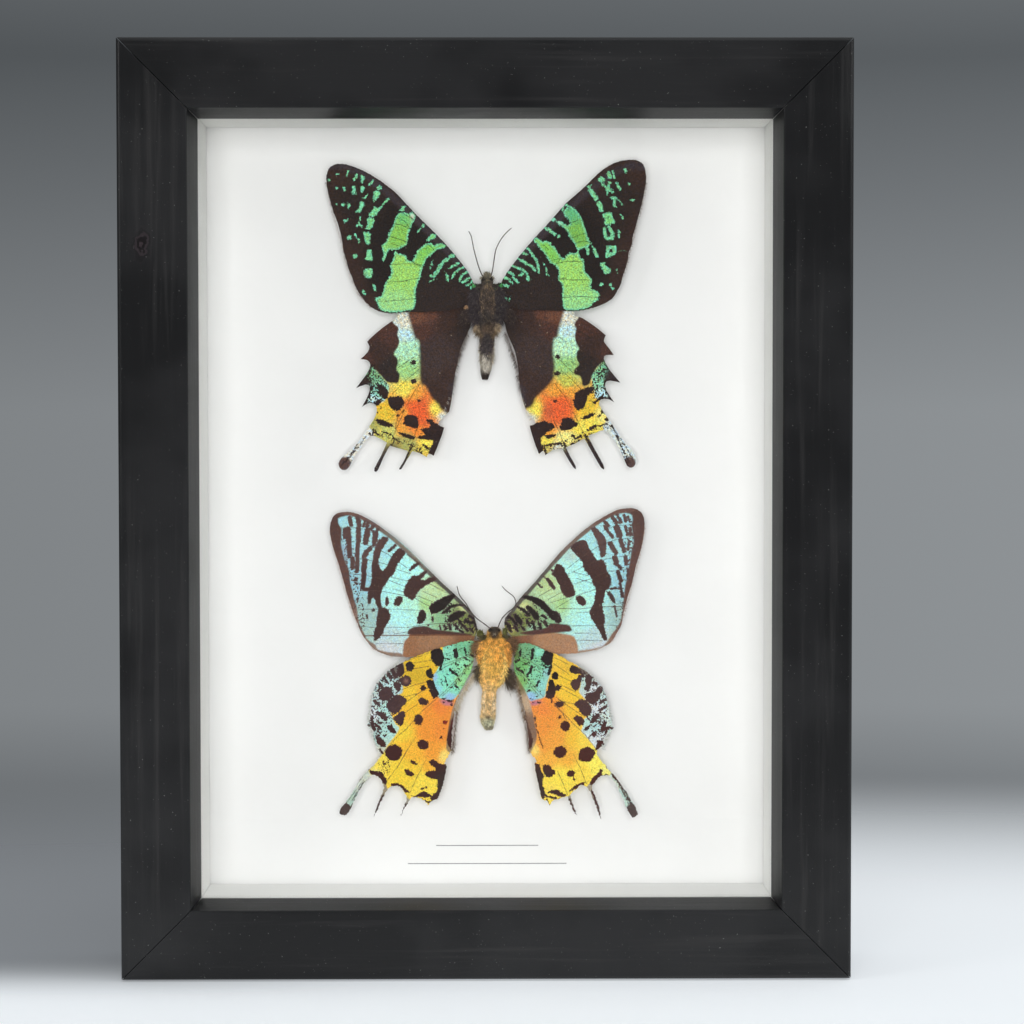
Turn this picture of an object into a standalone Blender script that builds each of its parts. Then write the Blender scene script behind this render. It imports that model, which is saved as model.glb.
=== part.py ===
"""Framed sunset moth specimen: two spread moths in a deep black box frame.

Metres, +Z up. The frame stands on its bottom edge and faces -Y, with the
origin at the bottom centre. Sizes below are in millimetres.
"""

import math

import bmesh
import bpy
from mathutils import Matrix, Vector

MM = 0.001

# Frame
WIDTH = 181.0
HEIGHT = 232.6
DEPTH = 36.0
RAIL = 19.2
OUTER_WALL = 14.0
LIP_DEPTH = 7.0
LIP_SLOPE = 1.8
FRONT_ROUND = 1.2
LIP_ROUND = 0.5
MITRE_GAP = 0.2

# What lies behind the lip, from the front
GAP = 0.3
GLASS = 2.0
SPACER_DEPTH = 18.0
SPACER_INSET = 0.2
CARD = 2.0
BACK_BOARD = 3.0

# Fixings of the back board
TAB_LENGTH = 11.0
TAB_WIDTH = 7.0
TAB_THICKNESS = 0.5
TAB_IN_RAIL = 3.0
SLOT_CLEARANCE = 0.2
HANGER_LENGTH = 38.0
HANGER_HEIGHT = 7.0
HANGER_THICKNESS = 0.8
HANGER_TEETH = 14
HANGER_BELOW_TOP = 34.0
RIVET_RADIUS = 1.5
RIVET_HEIGHT = 0.6

# Moths: where each one's middle is, across and up from the bottom of the frame
UPPER_MOTH = (0.3, 168.1)
LOWER_MOTH = (2.0, 76.4)
WING_THICKNESS = 0.4
NEAR_WING_HEIGHT = 4.4
FAR_WING_HEIGHT = 3.6
BODY_HEIGHT = 3.6
ANTENNA_RADIUS = 0.13

# Depths from the front face of the frame
GLASS_FRONT = LIP_DEPTH + GAP
SPACER_FRONT = GLASS_FRONT + GLASS + GAP
CARD_FRONT = SPACER_FRONT + SPACER_DEPTH + GAP
BOARD_FRONT = CARD_FRONT + CARD + GAP
TAB_FRONT = BOARD_FRONT + BACK_BOARD + GAP

INSERT_WIDTH = WIDTH - 2 * (OUTER_WALL + GAP)
INSERT_HEIGHT = HEIGHT - 2 * (OUTER_WALL + GAP)
SIGHT_WIDTH = WIDTH - 2 * RAIL
SIGHT_HEIGHT = HEIGHT - 2 * RAIL

# Wing outlines, across and up from the middle of the moth, as seen from the
# front. A third value of 1 marks a sharp corner.
UPPER_FOREWING_LEFT = [
    (-3.4, 5.6, 1), (-5.0, 8.7), (-8.0, 12.6), (-10.0, 14.9), (-13.0, 18.1), (-18.0, 23.0),
    (-22.5, 27.8), (-25.0, 30.0), (-28.0, 32.2), (-31.0, 33.9), (-33.5, 35.0), (-35.7, 35.7),
    (-38.0, 35.9), (-39.8, 35.2), (-40.7, 33.8), (-41.0, 31.8), (-40.6, 29.0), (-40.0, 26.5),
    (-39.2, 23.6), (-38.1, 20.8), (-37.4, 18.2), (-36.9, 15.8), (-36.6, 13.6), (-35.9, 11.2),
    (-35.5, 9.4), (-34.5, 7.0), (-33.8, 5.0), (-32.7, 2.9), (-31.3, 1.0), (-29.6, -0.6),
    (-27.6, -1.7), (-24.4, -2.3), (-21.0, -1.9), (-17.0, -1.9), (-12.0, -1.7), (-7.5, -0.9),
    (-3.6, 0.6, 1),
]
UPPER_FOREWING_RIGHT = [
    (3.6, 5.9, 1), (5.0, 8.3), (7.0, 11.0), (9.0, 13.5), (12.0, 17.0), (16.0, 21.3),
    (20.0, 25.8), (22.5, 28.0), (25.0, 30.2), (27.0, 32.2), (29.0, 34.0), (31.0, 35.4),
    (33.0, 36.3), (35.0, 36.8), (37.0, 36.9), (38.6, 36.6), (39.7, 35.8), (40.3, 34.4),
    (40.6, 32.0), (40.3, 29.6), (39.7, 26.6), (39.2, 24.5), (38.5, 22.0), (37.7, 19.0),
    (37.1, 17.0), (37.0, 15.4), (36.2, 13.5), (35.9, 11.3), (35.3, 9.2), (34.5, 7.0),
    (34.2, 5.4), (33.0, 3.1), (31.9, 1.5), (29.8, 0.2), (27.2, -0.8), (23.6, -1.6),
    (19.5, -1.6), (14.0, -1.5), (8.0, -1.2), (4.2, 0.2, 1),
]
UPPER_HINDWING_LEFT = [
    (-3.7, 1.5, 1), (-10.0, 1.2), (-18.0, 0.6), (-22.6, -1.2), (-23.2, -3.2), (-24.2, -4.0),
    (-26.0, -5.2), (-28.6, -7.3), (-30.7, -9.3, 1), (-30.1, -10.6), (-30.6, -12.0),
    (-32.4, -13.8, 1), (-30.6, -14.1), (-29.9, -15.4), (-30.9, -17.6), (-33.6, -21.2, 1),
    (-31.2, -20.3), (-30.1, -20.7), (-30.4, -22.8), (-32.1, -26.0, 1), (-30.2, -25.0),
    (-28.6, -25.4), (-28.3, -27.2), (-29.2, -29.4), (-30.7, -31.6), (-32.6, -34.4),
    (-35.0, -37.0), (-37.2, -38.8), (-38.1, -40.4), (-37.6, -41.7), (-36.4, -42.2),
    (-35.2, -41.2), (-34.0, -38.8), (-32.6, -36.6), (-31.0, -34.4), (-29.6, -33.3),
    (-27.6, -34.0), (-25.7, -35.1, 1), (-27.2, -38.4), (-28.9, -41.6), (-28.7, -42.6),
    (-27.9, -42.0), (-26.5, -38.8), (-24.9, -35.9, 1), (-22.6, -36.6), (-20.3, -37.2, 1),
    (-21.4, -39.8), (-22.6, -41.7), (-22.0, -41.9), (-20.6, -39.6), (-19.2, -37.3, 1),
    (-17.3, -37.8), (-15.5, -38.9, 1), (-15.0, -37.9), (-13.7, -38.5, 1), (-12.6, -35.8),
    (-11.6, -33.2), (-11.0, -31.2, 1), (-12.6, -30.4), (-11.2, -28.6), (-9.7, -27.2, 1),
    (-9.1, -24.0), (-8.6, -20.0), (-7.8, -15.5), (-6.9, -11.6), (-5.6, -8.4), (-4.3, -5.6),
    (-3.6, -2.0, 1),
]
UPPER_HINDWING_RIGHT = [
    (4.2, 1.5, 1), (10.0, 1.2), (17.0, 0.8), (21.8, -0.8), (22.4, -2.8), (23.6, -3.0),
    (25.4, -4.0), (28.0, -5.8), (30.3, -7.7, 1), (29.8, -9.2), (30.8, -10.6), (32.4, -12.8, 1),
    (30.4, -12.8), (29.8, -13.7), (31.2, -16.4), (34.1, -19.9, 1), (31.4, -19.3),
    (30.2, -19.9), (30.5, -21.9), (32.6, -25.0, 1), (30.8, -24.0), (29.0, -24.2),
    (28.6, -25.4), (29.9, -27.6), (31.5, -29.8), (33.0, -32.0), (35.0, -34.9), (36.9, -36.9),
    (37.9, -38.8), (37.9, -40.7), (36.9, -41.6), (35.7, -41.1), (34.9, -39.2), (33.6, -36.4),
    (31.8, -33.6), (30.0, -31.9), (27.6, -32.7), (25.7, -33.4, 1), (27.6, -37.0),
    (29.6, -40.6), (29.9, -41.9), (29.1, -41.6), (27.2, -38.4), (24.8, -34.1, 1),
    (22.4, -35.4), (20.1, -36.3, 1), (21.2, -38.6), (22.6, -41.1), (22.6, -41.9),
    (21.9, -41.4), (20.4, -39.0), (19.1, -36.7, 1), (16.9, -37.0), (14.8, -38.4, 1),
    (14.3, -37.2), (13.2, -38.1, 1), (12.3, -35.9), (11.3, -32.8), (10.8, -30.8, 1),
    (12.4, -30.1), (11.1, -28.4), (9.7, -26.4, 1), (8.9, -24.0), (8.2, -20.0), (7.8, -16.0),
    (7.1, -12.0), (5.9, -9.2), (4.9, -6.8), (4.1, -3.0, 1),
]
LOWER_FOREWING_LEFT = [
    (-4.2, 8.6, 1), (-5.0, 11.8), (-6.3, 13.9), (-8.2, 16.0), (-10.6, 18.3), (-14.0, 21.4),
    (-18.0, 25.5), (-22.0, 29.5), (-25.0, 32.1), (-28.0, 34.4), (-31.0, 36.5), (-34.0, 38.1),
    (-36.0, 38.8), (-38.0, 39.0), (-40.0, 38.7), (-41.3, 37.7), (-41.9, 36.0), (-42.1, 34.0),
    (-41.7, 31.4), (-40.9, 28.6), (-39.9, 25.6), (-39.1, 22.8), (-38.3, 19.8), (-37.5, 17.0),
    (-36.6, 14.4), (-35.9, 12.2), (-34.9, 9.8), (-34.0, 7.6), (-32.6, 5.6), (-31.0, 3.8),
    (-28.6, 2.5), (-26.0, 1.8), (-22.6, 1.6), (-18.0, 2.0), (-11.0, 3.6), (-5.6, 4.9, 1),
]
LOWER_FOREWING_RIGHT = [
    (2.5, 9.6, 1), (2.7, 11.6), (4.3, 13.6), (5.6, 15.4), (7.0, 17.3), (9.0, 19.4),
    (13.0, 24.0), (17.0, 28.7), (21.0, 32.5), (23.0, 34.2), (25.4, 36.0), (28.0, 37.6),
    (31.0, 39.2), (33.0, 39.7), (35.0, 39.9), (36.7, 39.5), (37.8, 38.6), (38.4, 37.3),
    (38.6, 35.5), (38.4, 33.0), (38.0, 30.8), (37.3, 28.0), (36.5, 25.4), (35.9, 22.8),
    (35.2, 20.0), (34.4, 17.4), (33.7, 14.8), (33.1, 12.2), (32.7, 10.0), (31.6, 7.9),
    (30.3, 5.8), (28.8, 4.5), (26.0, 3.4), (22.6, 2.7), (18.6, 2.4), (12.0, 2.6), (6.0, 4.6, 1),
]
LOWER_HINDWING_LEFT = [
    (-4.9, 5.9, 1), (-7.0, 6.1), (-11.0, 5.0), (-14.5, 4.2), (-17.5, 3.1), (-20.0, 2.1),
    (-22.5, 1.1), (-24.6, 0.0), (-27.4, -1.9), (-29.6, -4.2), (-30.9, -6.4), (-31.4, -8.6),
    (-31.7, -11.6), (-32.0, -14.2), (-32.8, -15.9, 1), (-31.3, -17.2), (-31.1, -19.4),
    (-29.9, -21.8), (-29.5, -23.4), (-30.7, -25.4), (-32.9, -27.6), (-34.8, -29.9),
    (-36.4, -32.7), (-38.0, -35.2), (-39.8, -37.3), (-39.7, -38.6), (-38.5, -39.1),
    (-37.3, -38.3), (-36.2, -36.2), (-34.9, -33.5), (-33.4, -30.9), (-31.4, -28.8),
    (-29.9, -29.2), (-28.9, -30.6), (-28.5, -32.0, 1), (-29.5, -34.4), (-30.5, -37.0),
    (-31.1, -39.3), (-30.4, -38.7), (-29.2, -36.0), (-28.0, -33.6), (-27.0, -32.0, 1),
    (-25.6, -31.4), (-24.2, -31.8), (-23.2, -33.2), (-22.6, -34.4, 1), (-23.2, -36.2),
    (-24.1, -39.0), (-23.6, -38.6), (-22.4, -36.4), (-21.3, -34.5, 1), (-19.6, -34.6),
    (-18.2, -35.2), (-17.0, -36.6, 1), (-16.2, -35.5), (-14.4, -34.8), (-13.4, -32.4),
    (-12.6, -29.2), (-12.0, -26.3), (-12.6, -25.7, 1), (-11.9, -24.2), (-10.9, -22.4, 1),
    (-10.7, -18.0), (-10.1, -13.0), (-9.5, -9.6), (-8.0, -6.2), (-6.6, -3.6), (-5.4, -1.0),
    (-4.9, 2.0, 1),
]
LOWER_HINDWING_RIGHT = [
    (5.4, 4.9, 1), (8.0, 5.5), (10.0, 5.0), (12.0, 4.1), (14.5, 3.1), (16.2, 2.4), (18.2, 1.4),
    (20.8, -0.1), (24.0, -2.1), (26.3, -4.3), (27.9, -6.2), (28.8, -8.2), (29.4, -11.0),
    (29.8, -13.8), (30.8, -16.8, 1), (29.2, -18.0), (28.0, -19.6), (28.6, -20.9, 1),
    (26.9, -21.9), (26.4, -23.2), (27.4, -24.8), (29.2, -26.8), (31.2, -29.1), (33.0, -31.5),
    (34.9, -34.4), (36.9, -38.2), (36.6, -39.2), (35.5, -39.9), (34.5, -38.8), (33.6, -36.8),
    (32.4, -33.8), (31.0, -31.2), (29.6, -29.0, 1), (28.0, -28.9), (26.7, -29.6),
    (25.7, -31.0), (25.1, -32.0, 1), (26.1, -34.2), (27.0, -37.0), (27.5, -40.0),
    (26.8, -39.3), (25.9, -36.6), (24.8, -34.0), (23.8, -32.1, 1), (22.6, -31.4),
    (21.2, -32.2), (19.6, -33.8, 1), (20.3, -36.0), (21.3, -39.1), (20.5, -38.6),
    (19.5, -36.6), (18.6, -34.4, 1), (16.6, -34.9), (15.2, -35.4), (14.2, -36.8, 1),
    (13.4, -35.5), (11.9, -34.7), (11.2, -31.6), (10.6, -28.6), (10.2, -25.8), (10.8, -25.3, 1),
    (9.9, -24.0), (8.9, -22.5, 1), (8.6, -20.0), (8.1, -16.0), (7.4, -11.5), (6.4, -7.4),
    (5.2, -3.6), (4.7, -0.4, 1),
]

# Body stations: across, up, half the width, half the depth
UPPER_BODY = [
    (0.0, 7.7, 0.3, 0.3), (0.0, 7.3, 0.9, 0.9), (0.0, 6.5, 1.25, 1.3), (0.0, 5.7, 1.2, 1.4),
    (0.0, 4.9, 1.9, 2.0), (0.0, 3.2, 2.6, 2.7), (0.1, 0.6, 2.9, 3.1), (0.1, -2.4, 2.8, 3.1),
    (0.0, -4.8, 2.3, 2.7), (0.0, -6.6, 1.9, 2.2), (-0.1, -9.0, 1.8, 2.1), (-0.2, -12.0, 1.7, 2.0),
    (-0.3, -15.0, 1.5, 1.8), (-0.5, -17.2, 1.0, 1.3), (-0.6, -18.6, 0.5, 0.7),
    (-0.6, -19.2, 0.2, 0.3),
]
LOWER_BODY = [
    (0.0, 9.7, 0.4, 0.4), (0.0, 9.3, 1.1, 1.0), (0.0, 8.5, 1.5, 1.4), (0.0, 7.7, 1.6, 1.6),
    (0.1, 6.6, 3.0, 2.4), (0.0, 4.0, 3.7, 3.0), (-0.1, 1.0, 3.6, 3.2), (-0.4, -2.0, 3.2, 3.1),
    (-0.8, -4.4, 2.4, 2.7), (-1.2, -6.2, 1.5, 2.2), (-1.4, -8.6, 1.5, 2.0),
    (-1.5, -11.4, 1.5, 1.9), (-1.7, -13.6, 1.55, 1.7), (-1.7, -15.2, 1.2, 1.3),
    (-1.4, -16.4, 0.6, 0.7), (-1.3, -16.9, 0.2, 0.3),
]

# Antennae: across, up, height over the card
UPPER_ANTENNA_LEFT = [
    (-0.7, 6.6, 3.9), (-1.5, 8.0, 4.2), (-2.2, 9.8, 4.4), (-2.9, 12.2, 4.6), (-3.4, 14.2, 4.7),
    (-3.8, 16.2, 4.6), (-4.1, 17.6, 4.5), (-4.7, 18.7, 4.4),
]
UPPER_ANTENNA_RIGHT = [
    (0.7, 6.6, 3.9), (1.3, 8.5, 4.2), (1.7, 11.0, 4.5), (2.1, 13.5, 4.7), (2.6, 14.9, 4.8),
    (3.4, 16.4, 4.8), (4.4, 17.8, 4.7), (5.3, 18.7, 4.6), (6.2, 19.5, 4.5),
]
LOWER_ANTENNA_LEFT = [
    (-0.9, 8.9, 4.0), (-2.5, 10.2, 4.6), (-4.0, 11.3, 4.9), (-5.3, 12.5, 5.0),
    (-6.3, 13.9, 5.0), (-7.3, 15.6, 5.0), (-8.6, 17.2, 4.9), (-9.2, 18.6, 4.8),
    (-9.5, 19.9, 4.7),
]
LOWER_ANTENNA_RIGHT = [
    (0.9, 8.9, 4.0), (1.4, 10.4, 4.4), (2.2, 11.9, 4.8), (3.6, 13.3, 5.0), (4.9, 14.3, 5.0),
    (5.5, 15.3, 5.0), (5.4, 16.3, 4.9), (4.9, 17.3, 4.8), (3.9, 18.1, 4.8), (2.9, 18.9, 4.7),
    (2.0, 19.9, 4.6),
]

OUTLINE_STEPS = 2
BODY_SIDES = 20
EYE_RADIUS = 0.75
ROUND_STEPS = 4

for old in list(bpy.data.objects):
    bpy.data.objects.remove(old, do_unlink=True)

parts = bpy.data.collections.new("framed_sunset_moths")
cutters = bpy.data.collections.new("cutters")
for collection in (parts, cutters):
    bpy.context.scene.collection.children.link(collection)


def material(name, colour, roughness, metallic=0.0):
    made = bpy.data.materials.new(name)
    made.use_nodes = True
    shader = made.node_tree.nodes["Principled BSDF"]
    shader.inputs["Base Color"].default_value = (*colour, 1.0)
    shader.inputs["Roughness"].default_value = roughness
    shader.inputs["Metallic"].default_value = metallic
    return made


def clear_material(name):
    made = material(name, (1.0, 1.0, 1.0), 0.0)
    shader = made.node_tree.nodes["Principled BSDF"]
    shader.inputs["Transmission Weight"].default_value = 1.0
    shader.inputs["IOR"].default_value = 1.52
    return made


BLACK_WOOD = material("black_wood", (0.03, 0.029, 0.03), 0.45)
GLASS_CLEAR = clear_material("clear_glass")
WHITE_BOARD = material("white_board", (0.87, 0.87, 0.86), 0.9)
BROWN_BOARD = material("brown_board", (0.30, 0.19, 0.11), 0.85)
STEEL = material("zinc_steel", (0.55, 0.55, 0.54), 0.35, 1.0)
BRASS = material("brass", (0.75, 0.55, 0.25), 0.35, 1.0)
BLACK_GREEN_WING = material("black_green_wing", (0.10, 0.16, 0.06), 0.5)
ORANGE_WING = material("orange_wing", (0.45, 0.22, 0.06), 0.5)
BLUE_WING = material("pale_blue_wing", (0.30, 0.48, 0.47), 0.5)
YELLOW_WING = material("yellow_wing", (0.55, 0.38, 0.08), 0.5)
BLACK_FUR = material("black_fur", (0.05, 0.045, 0.035), 0.9)
ORANGE_FUR = material("orange_fur", (0.70, 0.30, 0.05), 0.9)


def place(across, depth, up):
    """A point in metres from millimetres across, behind the front face and up."""
    return Vector((across, depth - DEPTH / 2, up)) * MM


def add(name, mesh, finish, collection=parts):
    made = bpy.data.objects.new(name, mesh)
    made.data.materials.append(finish)
    collection.objects.link(made)
    return made


def mesh_of(shape, name):
    bmesh.ops.recalc_face_normals(shape, faces=shape.faces)
    mesh = bpy.data.meshes.new(name)
    shape.to_mesh(mesh)
    shape.free()
    return mesh


def box_mesh(name, size):
    shape = bmesh.new()
    bmesh.ops.create_cube(shape, size=1.0)
    bmesh.ops.scale(shape, vec=Vector(size) * MM, verts=shape.verts)
    return mesh_of(shape, name)


def box(name, size, centre, finish, bevel=0.0):
    """A box of size (across, deep, up), with its middle at centre."""
    made = add(name, box_mesh(name, size), finish)
    made.location = place(*centre)
    if bevel:
        edges = made.modifiers.new("edges", "BEVEL")
        edges.width = bevel * MM
        edges.segments = 2
    return made


def as_mesh(made):
    """The same object with its curve turned into a welded mesh."""
    bpy.context.view_layer.update()
    graph = bpy.context.evaluated_depsgraph_get()
    mesh = bpy.data.meshes.new_from_object(made.evaluated_get(graph))
    shape = bmesh.new()
    shape.from_mesh(mesh)
    bmesh.ops.remove_doubles(shape, verts=shape.verts, dist=1e-6)
    bmesh.ops.recalc_face_normals(shape, faces=shape.faces)
    shape.to_mesh(mesh)
    shape.free()
    solid = bpy.data.objects.new(made.name + "_solid", mesh)
    solid.matrix_world = made.matrix_world
    for collection in made.users_collection:
        collection.objects.link(solid)
    bpy.data.objects.remove(made, do_unlink=True)
    return solid


def as_helper(made):
    made.hide_render = True
    made.display_type = "WIRE"
    return made


def boolean(made, other, operation):
    step = made.modifiers.new(other.name, "BOOLEAN")
    step.object = other
    step.operation = operation
    step.solver = "EXACT"


def arc(centre, radius, start, end, steps):
    """Points on an arc, from the start angle to the end angle in degrees."""
    angles = [math.radians(start + (end - start) * i / steps) for i in range(steps + 1)]
    return [
        (centre[0] + radius * math.cos(a), centre[1] + radius * math.sin(a)) for a in angles
    ]


def rail_profile():
    """(in from the outer side, behind the front face), around the section."""
    lip_start = RAIL - LIP_SLOPE
    return [
        *arc((FRONT_ROUND, FRONT_ROUND), FRONT_ROUND, 180, 270, ROUND_STEPS),
        *arc((lip_start - LIP_ROUND, LIP_ROUND), LIP_ROUND, 270, 345, ROUND_STEPS),
        (RAIL, LIP_DEPTH - 0.4),
        (RAIL, LIP_DEPTH),
        (OUTER_WALL, LIP_DEPTH),
        (OUTER_WALL, DEPTH),
        (0.0, DEPTH),
    ]


def rail(name, length, across_frame, turn):
    """A rail along local Z, with its outer side at local -X, cut at 45 degrees at both ends."""
    shape = bmesh.new()
    outline = [
        shape.verts.new(Vector((u - across_frame / 2, d - DEPTH / 2, -length / 2)) * MM)
        for u, d in rail_profile()
    ]
    face = shape.faces.new(outline)
    grown = bmesh.ops.extrude_face_region(shape, geom=[face])
    ends = [v for v in grown["geom"] if isinstance(v, bmesh.types.BMVert)]
    bmesh.ops.translate(shape, verts=ends, vec=(0, 0, length * MM))
    for side in (-1, 1):
        normal = Vector((1.0, 0.0, side)).normalized()
        corner = Vector((-across_frame / 2, 0.0, side * length / 2)) * MM
        cut = bmesh.ops.bisect_plane(
            shape,
            geom=shape.verts[:] + shape.edges[:] + shape.faces[:],
            plane_co=corner - normal * MITRE_GAP / 2 * MM,
            plane_no=normal,
            clear_outer=True,
        )
        edges = [e for e in cut["geom_cut"] if isinstance(e, bmesh.types.BMEdge)]
        bmesh.ops.contextual_create(shape, geom=edges)
    made = add(name, mesh_of(shape, name), BLACK_WOOD)
    made.rotation_euler = (0.0, math.radians(turn), 0.0)
    made.location = place(0.0, DEPTH / 2, HEIGHT / 2)
    return made


def build_frame():
    return {
        "left": rail("rail_left", HEIGHT, WIDTH, 0),
        "top": rail("rail_top", WIDTH, HEIGHT, 90),
        "right": rail("rail_right", HEIGHT, WIDTH, 180),
        "bottom": rail("rail_bottom", WIDTH, HEIGHT, 270),
    }


def build_insert():
    """The glass, the spacer strips, the card and the back board, from the front."""
    middle = HEIGHT / 2
    box(
        "glass_pane",
        (INSERT_WIDTH, GLASS, INSERT_HEIGHT),
        (0.0, GLASS_FRONT + GLASS / 2, middle),
        GLASS_CLEAR,
        bevel=0.2,
    )
    inner_width = SIGHT_WIDTH + 2 * SPACER_INSET
    inner_height = SIGHT_HEIGHT + 2 * SPACER_INSET
    side_thickness = (INSERT_WIDTH - inner_width) / 2
    end_thickness = (INSERT_HEIGHT - inner_height) / 2
    spacer_middle = SPACER_FRONT + SPACER_DEPTH / 2
    for name, side in (("spacer_left", -1), ("spacer_right", 1)):
        across = side * (INSERT_WIDTH - side_thickness) / 2
        size = (side_thickness, SPACER_DEPTH, INSERT_HEIGHT)
        box(name, size, (across, spacer_middle, middle), WHITE_BOARD)
    for name, side in (("spacer_bottom", -1), ("spacer_top", 1)):
        up = middle + side * (INSERT_HEIGHT - end_thickness) / 2
        size = (inner_width - GAP, SPACER_DEPTH, end_thickness)
        box(name, size, (0.0, spacer_middle, up), WHITE_BOARD)
    size = (INSERT_WIDTH, CARD, INSERT_HEIGHT)
    box("backing_card", size, (0.0, CARD_FRONT + CARD / 2, middle), WHITE_BOARD)
    size = (INSERT_WIDTH, BACK_BOARD, INSERT_HEIGHT)
    box("back_board", size, (0.0, BOARD_FRONT + BACK_BOARD / 2, middle), BROWN_BOARD)


def build_tabs(rails):
    """Flat steel tabs, pushed into slots in the rails, that hold the back board in."""
    inside = Vector((INSERT_WIDTH / 2 + GAP, INSERT_HEIGHT / 2 + GAP))
    spots = (
        ("board_tab_top", "top", 0.0, 1.0, 0.0),
        ("board_tab_bottom", "bottom", 0.0, -1.0, 0.0),
        ("board_tab_left_upper", "left", -1.0, 0.0, 45.0),
        ("board_tab_left_lower", "left", -1.0, 0.0, -45.0),
        ("board_tab_right_upper", "right", 1.0, 0.0, 45.0),
        ("board_tab_right_lower", "right", 1.0, 0.0, -45.0),
    )
    shift = TAB_IN_RAIL - TAB_LENGTH / 2
    slot_size = TAB_WIDTH + 2 * SLOT_CLEARANCE
    for name, side, across, up, along in spots:
        centre = (
            across * (inside.x + shift),
            TAB_FRONT + TAB_THICKNESS / 2,
            HEIGHT / 2 + up * (inside.y + shift) + along,
        )
        length, width = (TAB_LENGTH, TAB_WIDTH) if across else (TAB_WIDTH, TAB_LENGTH)
        tab = box(name, (length, TAB_THICKNESS, width), centre, STEEL)
        corners = tab.modifiers.new("corners", "BEVEL")
        corners.width = 0.15 * MM
        corners.segments = 1
        slot_length = TAB_LENGTH + 2 * SLOT_CLEARANCE
        long, wide = (slot_length, slot_size) if across else (slot_size, slot_length)
        size = (long, TAB_THICKNESS + 2 * SLOT_CLEARANCE, wide)
        cutter = add(name + "_slot", box_mesh(name, size), STEEL, cutters)
        cutter.location = place(*centre)
        boolean(rails[side], as_helper(cutter), "DIFFERENCE")


def build_hanger():
    """A toothed hanging strip on the back board, with a round-headed rivet at each end."""
    up = HEIGHT - HANGER_BELOW_TOP
    depth = TAB_FRONT + HANGER_THICKNESS / 2
    half = HANGER_LENGTH / 2
    toothed = half * 0.6
    pitch = 2 * toothed / HANGER_TEETH
    outline = [(-half, 0.0), (-half, HANGER_HEIGHT / 2), (half, HANGER_HEIGHT / 2), (half, 0.0)]
    lower = -HANGER_HEIGHT / 2
    outline += [(half - 2.0, lower), (toothed, lower)]
    for tooth in range(HANGER_TEETH):
        at = toothed - pitch * tooth
        outline += [(at - pitch / 2, lower + 1.0), (at - pitch, lower)]
    outline += [(-half + 2.0, lower)]
    curve = bpy.data.curves.new("sawtooth_hanger", "CURVE")
    curve.dimensions = "2D"
    curve.fill_mode = "BOTH"
    curve.extrude = HANGER_THICKNESS / 2 * MM
    spline = curve.splines.new("POLY")
    spline.points.add(len(outline) - 1)
    for point, (x, z) in zip(spline.points, outline):
        point.co = (x * MM, z * MM, 0.0, 1.0)
    spline.use_cyclic_u = True
    hanger = add("sawtooth_hanger_outline", curve, BRASS)
    hanger.rotation_euler = (math.radians(90), 0.0, 0.0)
    hanger.location = place(0.0, depth, up)
    solid = as_mesh(hanger)
    solid.name = "sawtooth_hanger"
    for name, side in (("hanger_rivet_left", -1), ("hanger_rivet_right", 1)):
        shape = bmesh.new()
        bmesh.ops.create_uvsphere(shape, u_segments=16, v_segments=8, radius=RIVET_RADIUS * MM)
        bmesh.ops.bisect_plane(
            shape,
            geom=shape.verts[:] + shape.edges[:] + shape.faces[:],
            plane_co=(0, 0, 0),
            plane_no=(0, 0, -1),
            clear_outer=True,
        )
        rim = [e for e in shape.edges if e.is_boundary]
        bmesh.ops.contextual_create(shape, geom=rim)
        bmesh.ops.scale(shape, vec=(1, 1, RIVET_HEIGHT / RIVET_RADIUS), verts=shape.verts)
        rivet = add(name, mesh_of(shape, name), BRASS)
        rivet.rotation_euler = (math.radians(-90), 0.0, 0.0)
        rivet.location = place(side * (half - 2.5), TAB_FRONT + HANGER_THICKNESS + GAP, up)


def smooth_outline(points, steps):
    """A closed curve through the points, turning sharply at the marked corners."""
    count = len(points)
    spots = [Vector(p[:2]) for p in points]
    sharp = [len(p) > 2 for p in points]
    slopes = [(spots[(i + 1) % count] - spots[i - 1]) / 2 for i in range(count)]
    curve = []
    for i in range(count):
        j = (i + 1) % count
        a, b = spots[i], spots[j]
        leave = (b - a) if sharp[i] else slopes[i]
        arrive = (b - a) if sharp[j] else slopes[j]
        for step in range(steps):
            t = step / steps
            curve.append(
                a * (2 * t**3 - 3 * t**2 + 1)
                + leave * (t**3 - 2 * t**2 + t)
                + b * (3 * t**2 - 2 * t**3)
                + arrive * (t**3 - t**2)
            )
    return curve


def wing(name, moth, outline, over_card, finish):
    """A thin plate of the wing's outline, parallel to the card."""
    curve = bpy.data.curves.new(name, "CURVE")
    curve.dimensions = "2D"
    curve.fill_mode = "BOTH"
    curve.extrude = WING_THICKNESS / 2 * MM
    spline = curve.splines.new("POLY")
    edge = smooth_outline(outline, OUTLINE_STEPS)
    spline.points.add(len(edge) - 1)
    for point, at in zip(spline.points, edge):
        point.co = (at.x * MM, at.y * MM, 0.0, 1.0)
    spline.use_cyclic_u = True
    made = add(name + "_outline", curve, finish)
    made.rotation_euler = (math.radians(90), 0.0, 0.0)
    made.location = place(moth[0], CARD_FRONT - over_card, moth[1])
    solid = as_mesh(made)
    solid.name = name
    return solid


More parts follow.
